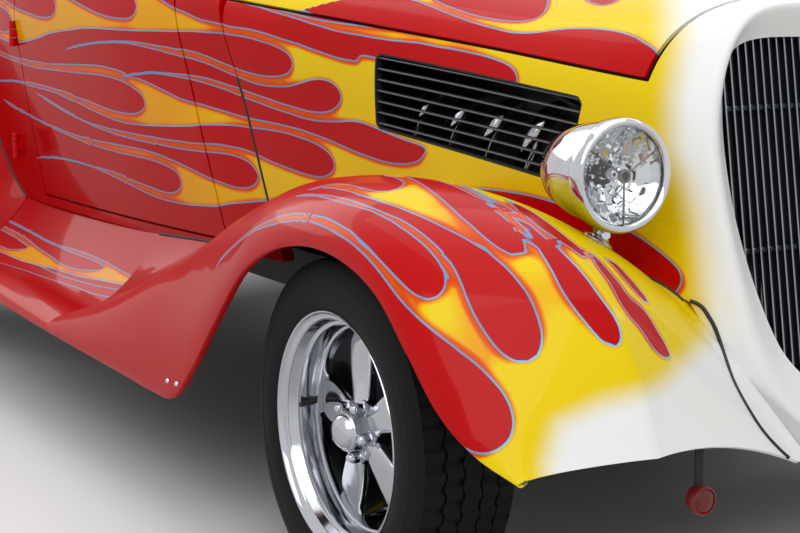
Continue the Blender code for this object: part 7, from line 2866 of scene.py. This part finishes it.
    def stands(self) -> None:
        """Short chrome stem on a round foot."""
        x, y, z = self.centre
        y += 0.0665
        hit, normal, _, _ = self.skins.tree("front_fender").ray_cast(
            Vector((x, y, z - 0.060)), Vector((0.0, 0.0, -1.0)))
        foot_place = frame_on(hit + Vector((0.0, CAR_Y, 0.0)), normal)
        foot = Shop.spun("foot", mm("0,-2 27,-2 27.5,1.5 25.5,4 21.5,5.8 17,7.5 14.5,11 0,11"), 40)
        Shop.placed(foot, foot_place)
        start, end = hit + normal * 0.006, Vector((x, y, z - 0.070))
        line = [start.lerp(end, step / 14.0) + Vector((0.0, CAR_Y, 0.0)) for step in range(15)]
        widths = np.interp(np.linspace(0.0, 1.0, 15), (0.0, 0.12, 0.35, 0.6, 0.85, 1.0),
                           (0.0135, 0.0125, 0.0095, 0.0095, 0.0125, 0.0170))
        axis = (end - start).normalized()
        outline = [(0.0, 0.0)] + [(float(width), float((point - line[0]).length))
                                  for width, point in zip(widths, line)]
        outline.append((0.0, float((line[-1] - line[0]).length)))
        stem = Shop.spun("stem", outline, 32)
        Shop.placed(stem, frame_on(line[0], axis))
        nut = Shop.bevelled(Shop.cylinder("stem_nut", 0.0105, 0.010, 6), 0.001, 1)
        Shop.placed(nut, frame_on(line[3] + Vector((-0.0, -0.013, 0.0)), (0.0, -1.0, 0.2)))
        self.both_sides(Shop.joined("stand", [foot, stem, nut]), "headlamp", "stand", CHROME)

    def turn_signals(self) -> None:
        """Amber lens in a dark rim on a bracket."""
        low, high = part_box("turn_signal_left")
        x, z, r = (low.x + high.x) / 2.0, low.z + 0.024, 0.0235
        place = frame_on((x, low.y, z), (0.0, -1.0, 0.0))
        rim = Shop.spun("rim", [(0.0, -0.034), (0.012, -0.033), (0.020, -0.027),
                                (r, -0.018), (r, -0.006), (0.0222, -0.0032),
                                (0.0200, -0.0035), (0.0195, -0.0065), (0.0, -0.0065)], 40)
        self.both_sides(Shop.placed(rim, place), "turn_signal", "rim", MAROON, True)
        lens = Shop.spun("lens", mm("0,-0.2 6,-0.5 12,-1.6 17.2,-3.4 18.8,-4.8 18.8,-5.4 "
                                    "0,-5.4"), 40, 50.0)
        # Lens and core are darker than the lamp's own amber, as painted shade under the fender.
        self.both_sides(Shop.placed(lens, place), "turn_signal", "lens", AMBER)
        core = Shop.spun("core", mm("0,-5.8 19,-5.8 19,-6.4 0,-6.4"), 24)
        self.both_sides(Shop.placed(core, place), "turn_signal", "core", CORE)
        top = high.z
        # Painted shade: the bracket is near-black to stand for the shade under the fender.
        bracket = Shop.cube("bracket", (0.016, 0.004, top - z - 0.010))
        Shop.placed(bracket, Matrix.Translation((x, low.y + 0.0204, (top + z + 0.010) / 2.0)))
        self.both_sides(Shop.bevelled(bracket, 0.001, 1), "turn_signal", "bracket", BLACK_AND_PAINTED_SHADE)

    def tail_lamps(self) -> None:
        """Round red lens in a chrome ring."""
        low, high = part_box("tail_lamp_left")
        centre = ((low.x + high.x) / 2.0, high.y, (low.z + high.z) / 2.0)
        place = frame_on(centre, (0.0, 1.0, 0.0))
        body = Shop.spun("cup", [(0.0, low.y - high.y + 0.004), (0.010, low.y - high.y + 0.004),
                                 (0.012, -0.045), (0.020, -0.038), (0.031, -0.028),
                                 (0.0365, -0.018), (0.0375, -0.009), (0.0365, -0.005),
                                 (0.0335, -0.0045), (0.0320, -0.0075), (0.0, -0.0075)], 48)
        self.both_sides(Shop.placed(body, place), "tail_lamp", "cup", CHROME, True)
        lens = Shop.spun("lens", mm("0,-0.4 10,-1 20,-2.8 28.5,-5.6 31.8,-8.5 31.8,-12 "
                                    "0,-12"), 48, 50.0)
        self.both_sides(Shop.placed(lens, place), "tail_lamp", "lens", RUBY)


@dataclass
class Grille:
    """Upright bars before a near-black sheet of painted shade.

    Attributes:
        skins: The car's skins.
        bars: Number of bars.
        thick: Width of a bar, in metres.
        deep: Depth of a bar.
        set_back: How far the bars lie behind the opening's edge.
    """

    skins: Skins
    bars: int = 25
    thick: float = 0.0048
    deep: float = 0.012
    set_back: float = 0.014

    def __post_init__(self) -> None:
        """Take the opening's edge from the nose."""
        self.rim = self.skins.grid("nose", self.skins.fine)[2]

    def face_y(self, z: float) -> float:
        """Place of the grille's face at a height."""
        low, high = self.rim[0], self.rim[-1]
        share = (z - low[2]) / (high[2] - low[2])
        return low[1] + (high[1] - low[1]) * share + self.set_back

    def half_width(self, z: float) -> float:
        """Half width of the opening at a height."""
        return float(np.interp(z, self.rim[:, 2], self.rim[:, 0]))

    def build(self) -> None:
        """Make the bars, the near-black sheet of painted shade behind them, and the bolts."""
        low, high = float(self.rim[0, 2]), float(self.rim[-1, 2])
        spread = float(self.rim[:, 0].max()) - self.thick * 1.6
        heights = np.linspace(low, high, 160)
        widths = np.array([self.half_width(z) for z in heights])
        pieces, screen = [], []
        for index in range(self.bars):
            x = spread * (2.0 * index / (self.bars - 1) - 1.0)
            inside = heights[widths > abs(x) + self.thick * 0.4]
            if abs(x) < 0.01:
                inside = heights[1:-1]
            sections = []
            for z in np.linspace(inside[0], inside[-1], 12):
                y = self.face_y(float(z)) + CAR_Y
                outline = [(-0.5, 1.0), (-0.5, 0.25), (-0.34, 0.06), (0.0, 0.0), (0.34, 0.06),
                           (0.5, 0.25), (0.5, 1.0)]
                sections.append([(x + across_way * self.thick, y + back * self.deep, float(z))
                                 for across_way, back in outline])
            pieces.append(self.loft(f"bar_{index}", sections))
        item = Shop.joined("grille_bars_slats", pieces)
        finish_piece(item, SLAT, "chassis", ("grille_bars",))
        # Painted shade: a near-black sheet behind the bars stands for the shade inside the grille.
        rows = []
        for z in np.linspace(low + 0.004, high - 0.004, 40):
            wide = self.half_width(float(z)) - 0.002
            rows.append([(wide * way, self.face_y(float(z)) + 0.026, float(z))
                         for way in np.linspace(0.0, 1.0, 8)])
        sheet = Sheet.over(np.array(rows)[:, :, :])
        if sheet.normals()[:, 1].mean() > 0.0:
            sheet = sheet.flipped()
        sheet = sheet.with_twin()
        item = mesh_from("grille_shade_sheet", sheet.edged(0.003).plus(
            sheet.moved_in(0.003).flipped()))
        finish_piece(item, BLACK_AND_PAINTED_SHADE, "chassis")
        self.bands(low, high)

    def bands(self, low: float, high: float) -> None:
        """Two cross bands, and a column of small rivets beside the middle.

        Args:
            low: Lowest corner of the bars.
            high: Highest corner of the bars.
        """
        pieces = []
        for share in (0.42, 0.80):
            z = low + (high - low) * share
            band = Shop.cube("band", (2.0 * self.half_width(z), 0.006, 0.008))
            Shop.placed(band, Matrix.Translation((0.0, self.face_y(z) + 0.017 + CAR_Y, z)))
            pieces.append(Shop.bevelled(band, 0.0012, 1))
        rivet = Shop.ball("rivet", 0.0024, 12, 6)
        for z in np.linspace(low + 0.05, high - 0.05, 26):
            spot = (0.0, self.face_y(float(z)) + 0.0006 + CAR_Y, float(z))
            pieces.append(Shop.copied(rivet, Matrix.Translation(spot)))
        bpy.data.objects.remove(rivet, do_unlink=True)
        finish_piece(Shop.joined("grille_bands", pieces), SATIN, "chassis")

    @staticmethod
    def loft(name: str, sections: Sequence[Sequence[tuple[float, float, float]]]
             ) -> bpy.types.Object:
        """Closed solid through sections of equal count.

        Args:
            name: Name of the piece.
            sections: Sections, from end to end.

        Returns:
            The new piece.
        """
        count = len(sections[0])
        points = [point for section in sections for point in section]
        faces = []
        for index in range(len(sections) - 1):
            for step in range(count):
                other = (step + 1) % count
                faces.append((index * count + step, index * count + other,
                              (index + 1) * count + other, (index + 1) * count + step))
        faces.append(tuple(reversed(range(count))))
        last = (len(sections) - 1) * count
        faces.append(tuple(last + step for step in range(count)))
        mesh = bpy.data.meshes.new(name)
        mesh.from_pydata(points, [], faces)
        item = new_object(name, mesh)
        graph = bmesh.new()
        graph.from_mesh(mesh)
        bmesh.ops.recalc_face_normals(graph, faces=graph.faces)
        graph.to_mesh(mesh)
        graph.free()
        Shop.smooth(item, 35.0)
        return item


@dataclass
class Trim:
    """Welts, painted shade in the nose's seam, vent slats with painted shade, gaskets, bolts and
    hinges.

    Attributes:
        skins: The car's skins.
        welt_start: Where the traced bead starts, in pixels across.
    """

    skins: Skins
    welt_start: float = 692.0

    def build(self) -> None:
        """Make the small pieces on the outside."""
        self.vent()
        self.fender_welts()
        self.seam_strip()
        self.gaskets()
        self.bolts()
        self.hinges()

    @staticmethod
    def pair(name: str, body: str, finish: Finish, *sheets: Sheet) -> None:
        """A left piece and its twin, from sheets.

        Args:
            name: Name of the pair.
            body: Body that each rides on.
            finish: Their finish.
            sheets: Surfaces of the left piece.
        """
        whole = sheets[0].plus(*sheets[1:])
        for side, sign in SIDES:
            sheet = whole if sign > 0.0 else whole.mirrored()
            home = body if body == "chassis" else f"{body}_{side}"
            finish_piece(mesh_from(f"{name}_{side}", sheet, 50.0), finish, home)

    def skin_x(self, y: float, z: float) -> float:
        """Width of the nose's skin at a place."""
        hit = self.skins.tree("nose").ray_cast(Vector((1.0, y, z)), Vector((-1.0, 0.0, 0.0)))[0]
        return hit.x if hit is not None else 0.3

    def vent(self) -> None:
        """Slats that follow the hood side, each with a near-black tube behind it as painted shade.
        """
        outline = nose_outline(VENT)
        y_front, y_rear = outline[:, 0].min() - 0.006, outline[:, 0].max() + 0.006
        middle = (y_front + y_rear) / 2.0
        front, rear = outline[outline[:, 0] < middle, 1], outline[outline[:, 0] > middle, 1]
        bright, dark = [], []
        for index in range(7):
            share = 0.085 + index * 0.1440
            z0 = front.min() + (front.max() - front.min()) * share
            z1 = rear.min() + (rear.max() - rear.min()) * share
            line = []
            for way in np.linspace(0.0, 1.0, 40):
                y, z = y_front + (y_rear - y_front) * way, z0 + (z1 - z0) * way
                line.append((self.skin_x(y, z) - 0.0045, y, z))
            line = np.array(line)
            bright.append(tube(line, 0.0021, 8))
            # Painted shade: a wider near-black tube behind each slat stands for the shade between
            # the slats.
            dark.append(tube(line - (0.006, 0.0, 0.0), 0.0042, 8, squash=0.55))
        self.pair("vent_slats", "chassis", SLATE, *bright)
        self.pair("vent_slat_shade", "chassis", BLACK_AND_PAINTED_SHADE, *dark)

    def fender_welts(self) -> None:
        """Black bead where the fender meets the nose and the cowl."""
        for kind, casters, name in (("front_fender", ("nose", "body"), "front_welt"),
                                    ("rear_fender", ("body",), "rear_welt")):
            grid = self.skins.grid(kind, self.skins.plain)
            tree = self.skins.tree(*casters)
            line = []
            first = grid.shape[1] // 2
            for row in grid:
                state = None
                for index in range(first, len(row)):
                    near, normal, _, _ = tree.find_nearest(Vector(row[index]))
                    gap = (Vector(row[index]) - near).dot(normal)
                    if normal.x < 0.0:
                        gap = -gap
                    if gap < 0.0 and state is not None and state[0] > 0.0:
                        way = state[0] / (state[0] - gap)
                        line.append(state[1] + (row[index] - state[1]) * way)
                        break
                    state = (gap, row[index])
            line = np.array(line)
            if kind == "front_fender":
                line = line[Camera.pixels(line)[:, 0] < self.welt_start]
            line = smooth_run(line[::3], 0.012)
            self.pair(name, "chassis", TRIM, tube(line, 0.0036, 10))
        self.traced_welt()

    def traced_welt(self) -> None:
        """The bead's front part, laid where the picture shows it."""
        tree = self.skins.tree("front_fender", "nose")
        spots = []
        for pixel in smooth_run(runs_of(WELT)[0], 4.0):
            start, way = Camera.ray(pixel)
            hit = tree.ray_cast(start, way)[0]
            if hit is not None:
                spots.append(np.array(hit - way * 0.0012))
        runs = [[spots[0]]]
        for before, after in zip(spots, spots[1:]):
            if np.linalg.norm(after - before) > 0.045:
                runs.append([])
            runs[-1].append(after)
        beads = [tube(smooth_run(np.array(run)[::2], 0.006), 0.0034, 10)
                 for run in runs if len(run) > 5]
        LOG.info("welt: %s points in %s runs", len(spots), [len(run) for run in runs])
        self.pair("front_bead", "chassis", TRIM, *beads)

    def seam_strip(self) -> None:
        """Near-black tube sunk in the seam between nose and cowl, painted shade of the gap."""
        grid = self.skins.grid("nose", self.skins.plain)
        field_3 = ahead_of_seam(0.0)
        level = field_3(grid.reshape(-1, 3)).reshape(grid.shape[:2])
        line = []
        for column in range(grid.shape[1]):
            rows = np.nonzero((level[:-1, column] > 0.0) & (level[1:, column] <= 0.0))[0]
            if len(rows):
                row = rows[-1]
                way = level[row, column] / (level[row, column] - level[row + 1, column])
                line.append(grid[row, column] * (1.0 - way) + grid[row + 1, column] * way)
        line = np.array(line)
        line = line[line[:, 2] > 0.50]
        tree = self.skins.tree("nose")
        sunk = []
        for point in line:
            normal = tree.find_nearest(Vector(point))[1]
            if normal.dot(Vector((point[0], 0.0, point[2] - 0.7))) < 0.0:
                normal = -normal
            sunk.append(point - np.array(normal) * 0.0038)
        sunk = np.array(sunk)
        full = np.concatenate((sunk, (sunk * (-1.0, 1.0, 1.0))[::-1][1:]))
        # Painted shade: the near-black tube stands for the shade in the seam.
        strip = tube(full, 0.0056, 10)
        finish_piece(mesh_from("cowl_seam_strip", strip, 50.0), BLACK_AND_PAINTED_SHADE, "chassis")

    def gaskets(self) -> None:
        """Black rubber round each pane."""
        window = side_outline(DOOR_WINDOW)
        grid = self.skins.grid("body", self.skins.plain)
        whole = Sheet.over(grid)
        side = whole.keep(in_side(window)).keep(beyond_reach).moved_in(0.004)
        line = side.points[side.loops()[0][:-1]]
        self.pair("window_gasket", "side_door", TRIM, tube(line, 0.0045, 8, True))
        for name, outline, half, ahead in (
                ("screen_gasket", SCREEN, SCREEN_HALF_WIDTH, True),
                ("rear_gasket", REAR_WINDOW, REAR_WINDOW_HALF_WIDTH, False)):
            pane = whole.keep(in_front(front_outline(outline, half), 0.0, ahead))
            pane = pane.with_twin().moved_in(0.003)
            loop = pane.points[pane.loops()[0][:-1]]
            piece = mesh_from(name, tube(loop, 0.0065, 8, True), 50.0)
            finish_piece(piece, TRIM, "chassis")

    def bolts(self) -> None:
        """Chrome acorn bolts at the fender's tail."""
        bolt = Shop.ball("bolt", 0.0052, 18, 9)
        for kind, pixel in (("front_fender", (168.0, 381.0)), ("front_fender", (177.0, 384.0))):
            start, way = Camera.ray(np.array(pixel))
            hit, normal, _, _ = self.skins.tree(kind).ray_cast(start, way)
            if hit is None:
                continue
            piece = Shop.copied(bolt, frame_on(hit + Vector((0.0, CAR_Y, 0.0)), normal))
            name = f"fender_bolt_{int(pixel[0])}"
            twin = across(piece)
            for item, (side, _) in zip((piece, twin), SIDES):
                item.name = f"{name}_{side}"
                finish_piece(item, CHROME, "chassis")
        bpy.data.objects.remove(bolt, do_unlink=True)

    def hinges(self) -> None:
        """Barrels of the doors', hood's and trunk lid's hinges."""
        third = 0.022
        fixed, doors = [], []
        for share in (0.42, 0.62):
            for level, home in ((-1.0, fixed), (0.0, doors), (1.0, fixed)):
                barrel = Shop.bevelled(Shop.cylinder("barrel", 0.008, third - 0.001, 20),
                                       0.001, 1)
                spot = lifted(0.685, 1.9677, share * ROOF_HEIGHT + level * third)
                Shop.placed(barrel, Matrix.Translation(spot))
                way = 1.0 if home is fixed else -1.0
                leaf = Shop.cube("leaf", (0.026, 0.008, third - 0.002))
                Shop.placed(leaf, Matrix.Translation(spot + Vector((-0.014, way * 0.004, 0.0))))
                home.append(Shop.joined("hinge", [barrel, leaf]))
        for name, parts, body in (("hinge_post", fixed, "chassis"),
                                  ("hinge_knuckle", doors, "side_door")):
            item = Shop.joined(name, parts)
            twin = across(item)
            for piece, (side, _) in zip((item, twin), SIDES):
                piece.name = f"{name}_{side}"
                home = body if body == "chassis" else f"{body}_{side}"
                finish_piece(piece, RED, home)
        for name, body, y, z, x in (("hood", "hood", 0.982, 1.112, 0.180),
                                    ("deck", "trunk_lid", 2.660, 1.0925, 0.200)):
            ahead = -1.0 if name == "hood" else 1.0
            still, moving = [], []
            for side in (1.0, -1.0):
                for level, home in ((-1.0, still), (0.0, moving), (1.0, still)):
                    barrel = Shop.cylinder("barrel", 0.008, third - 0.001, 20)
                    spot = lifted(side * x + level * third, y, z)
                    Shop.placed(barrel, frame_on(spot, (1.0, 0.0, 0.0)))
                    Shop.bevelled(barrel, 0.001, 1)
                    way = ahead if home is moving else -ahead
                    leaf = Shop.cube("leaf", (third - 0.002, 0.026, 0.004))
                    Shop.placed(leaf, Matrix.Translation(
                        spot + Vector((0.0, way * 0.014, -0.007))))
                    home.append(Shop.joined("hinge", [barrel, leaf]))
            finish_piece(Shop.joined(f"{name}_hinge_fixed", still), RED, "chassis")
            finish_piece(Shop.joined(f"{name}_hinge_moving", moving), RED, body)


@dataclass
class Cabin:
    """Seat with sewn channels, steering wheel, dials and what shows of the engine.

    Attributes:
        skins: The car's skins; not used.
        channels: Sewn channels across the seat.
    """

    skins: Skins
    channels: int = 12

    def build(self) -> None:
        """Make the inside."""
        self.seat()
        self.steering_wheel()
        self.dials()
        self.engine()

    @staticmethod
    def pad(name: str, size: tuple[float, float, float], channels: int,
            up: int) -> bpy.types.Object:
        """Stuffed pad: crowned, its sides drawn in, with channels sewn across its face.

        Args:
            name: The piece's name.
            size: Its width, depth and height.
            channels: Number of channels across its width.
            up: Axis that its face looks along, 2 for upward and 1 for forward.

        Returns:
            The pad, around the origin.
        """
        bpy.ops.mesh.primitive_cube_add(size=2.0)
        item = Shop.named(name)
        bpy.ops.object.mode_set(mode="EDIT")
        bpy.ops.mesh.select_all(action="SELECT")
        bpy.ops.mesh.subdivide(number_cuts=38)
        bpy.ops.object.mode_set(mode="OBJECT")
        points = np.array([vertex.co for vertex in item.data.vertices])
        power = 7.0
        norm = (np.abs(points) ** power).sum(axis=1) ** (1.0 / power)
        shape = points / norm[:, None]
        sign = 1.0 if up == 2 else -1.0
        face = np.clip(shape[:, up] * sign, 0.0, 1.0) ** 3
        phase = (shape[:, 0] * 0.5 + 0.5) * channels
        groove = np.abs(np.sin(phase * math.pi)) ** 0.55
        other = 3 - up
        crown = 1.0 - 0.16 * np.abs(shape[:, other]) ** 2.5 - 0.05 * np.abs(shape[:, 0]) ** 4
        pull = 1.0 - 0.030 * (1.0 - np.abs(shape[:, up])) * (1.0 - np.abs(shape[:, 0]) ** 6)
        half = np.array(size) / 2.0
        solid = shape * half
        depth = size[up] * 0.085
        low = solid[:, up] * np.where(shape[:, up] * sign > 0.0, crown, 1.0)
        solid[:, up] = low - sign * face * depth * (1.0 - groove)
        solid[:, other] *= pull
        solid[:, 0] += 0.0015 * np.sin(shape[:, other] * 9.0 + 1.0) * face
        item.data.vertices.foreach_set("co", solid.astype(np.float32).reshape(-1))
        Shop.smooth(item, 60.0)
        return item

    def seat(self) -> None:
        """Cushion and back."""
        cushion = self.pad("seat_cushion", (1.010, 0.500, 0.176), self.channels, 2)
        Shop.placed(cushion, Matrix.Translation(lifted(0.0, 2.000, 0.5530)))
        finish_piece(cushion, HIDE, "chassis", ("seat",))
        back = self.pad("seat_back", (1.010, 0.140, 0.520), self.channels, 1)
        Shop.placed(back, Matrix.Translation(lifted(0.0, 2.248, 0.8264)))
        finish_piece(back, HIDE, "chassis")

    def steering_wheel(self) -> None:
        """Rim, three spokes, boss and column."""
        slope = Vector((0.0, math.cos(math.radians(28.0)), math.sin(math.radians(28.0))))
        centre = lifted(0.36, 1.5316, 0.9135)
        place = frame_on(centre, slope)
        rim = Shop.placed(Shop.ring("steering_wheel_rim", 0.175, 0.0108, 72, 14), place)
        finish_piece(rim, HIDE, "chassis", ("steering_wheel",))
        Shop.smooth(rim, 60.0)
        pieces = []
        for turn in (90.0, 210.0, 330.0):
            spoke = Shop.cube("spoke", (0.142, 0.020, 0.0032))
            Shop.placed(spoke, place @ Matrix.Rotation(math.radians(turn), 4, "Z")
                        @ Matrix.Translation((0.097, 0.0, -0.003)))
            pieces.append(Shop.bevelled(spoke, 0.0010, 1))
        boss = Shop.spun("boss", mm("0,-36 26,-36 28,-30 30,-4 34,2 30,8 18,13 0,15"), 48)
        pieces.append(Shop.placed(boss, place))
        reach = (centre.y - (0.995 + CAR_Y)) / slope.y
        column = Shop.cylinder("column", 0.0178, reach, 28)
        Shop.placed(column, frame_on(centre - slope * reach / 2.0, slope))
        pieces.append(column)
        finish_piece(Shop.joined("steering_wheel_spokes", pieces), POLISHED, "chassis")

    @staticmethod
    def dials() -> None:
        """Round gauges on the dashboard."""
        low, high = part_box("dashboard")
        rings, faces = [], []
        for x, radius in ((0.215, 0.030), (0.300, 0.046), (0.420, 0.046), (0.505, 0.030)):
            place = frame_on((x, high.y - 0.001, (low.z + high.z) / 2.0 + 0.008),
                             (0.0, 1.0, 0.06))
            ring = Shop.spun("dial_ring", [(radius - 0.005, -0.004), (radius - 0.005, 0.004),
                                           (radius - 0.002, 0.0065), (radius, 0.004),
                                           (radius, -0.004), (radius - 0.005, -0.004)], 40)
            rings.append(Shop.placed(ring, place))
            face = Shop.cylinder("dial_face", radius - 0.004, 0.004, 40)
            faces.append(Shop.placed(face, place))
        finish_piece(Shop.joined("dial_rings", rings), CHROME, "chassis")
        finish_piece(Shop.joined("dial_faces", faces), BLACK_AND_PAINTED_SHADE, "chassis")

    @staticmethod
    def engine() -> None:
        """Finned valve covers, air cleaner, moulded hoses and pipes behind the vents."""
        low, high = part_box("engine_block")
        middle = (low.y + high.y) / 2.0
        covers, hoses = [], []
        for side in (1.0, -1.0):
            cover = Shop.bevelled(Shop.cube("cover", (0.105, 0.50, 0.070)), 0.012, 3)
            fins = [cover]
            for index in range(7):
                fin = Shop.cube("fin", (0.004, 0.44, 0.012))
                Shop.placed(fin, Matrix.Translation((-0.036 + 0.012 * index, 0.0, 0.039)))
                fins.append(fin)
            whole = Shop.joined("valve_cover", fins)
            Shop.placed(whole, Matrix.Translation((side * 0.145, middle, high.z + 0.012))
                        @ Matrix.Rotation(side * math.radians(32.0), 4, "Y"))
            covers.append(whole)
            for index in range(4):
                y = low.y + 0.08 + index * 0.145
                x = side * (high.x + 0.002)
                pipe = tube(np.array([(x, y, high.z - 0.06), (x + side * 0.035, y, high.z - 0.075),
                                      (x + side * 0.055, y + 0.015, high.z - 0.12),
                                      (x + side * 0.060, y + 0.05, high.z - 0.19)]), 0.019, 12)
                covers.append(mesh_from("header", pipe, 50.0, False))
        cleaner = Shop.spun("cleaner", mm("0,-30 100,-30 112,-26 114,-18 106,-14 106,14 114,18 "
                                          "112,26 98,32 20,36 12,42 0,44"), 64)
        Shop.placed(cleaner, Matrix.Translation((0.0, middle - 0.04, high.z + 0.072)))
        covers.append(cleaner)
        finish_piece(Shop.joined("engine_bright", covers), POLISHED, "chassis")
        for side in (1.0, -1.0):
            hoses.append(tube(np.array([(side * 0.09, low.y - 0.16, high.z - 0.03),
                                        (side * 0.12, low.y - 0.10, high.z + 0.03),
                                        (side * 0.13, low.y - 0.04, high.z + 0.03),
                                        (side * 0.12, low.y + 0.02, high.z - 0.02)]), 0.020, 14))
            hoses.append(tube(np.array([(side * 0.23, low.y - 0.02, high.z - 0.05),
                                        (side * 0.26, middle - 0.12, high.z + 0.015),
                                        (side * 0.27, middle + 0.10, high.z - 0.005),
                                        (side * 0.24, high.y - 0.02, high.z + 0.02)]), 0.0065, 10))
        whole = hoses[0].plus(*hoses[1:])
        finish_piece(mesh_from("engine_hoses", whole, 50.0, False), TRIM, "chassis")


# The sub-assemblies in order, and the finishes of the CAD nodes that stay.
PARTS = (Shell, Wheels, Lamps, Grille, Trim, Cabin)
KEPT = {
    "frame": STEEL, "floor_pan": TRIM, "firewall": TRIM, "engine_block": STEEL,
    "radiator": TRIM, "exhaust": SATIN, "front_axle": CHROME, "rear_axle": STEEL,
    "knuckle_left": STEEL, "knuckle_right": STEEL, "tie_rod": CHROME, "fuel_tank": STEEL,
    "dashboard": RED,
}


def dress_kept() -> None:
    """Give each CAD node that stays its finish."""
    for name, node in frame["nodes"].items():
        finish = KEPT.get(name, SATIN)
        node.data.materials.clear()
        node.data.materials.append(finish.build())


def main() -> None:
    """Build the car and its stage."""
    logging.basicConfig(level=logging.INFO, format="%(message)s")
    skins = Skins()
    dress_kept()
    for part in PARTS:
        part(skins).build()
    Studio().build()


if __name__ == "__main__":
    main()
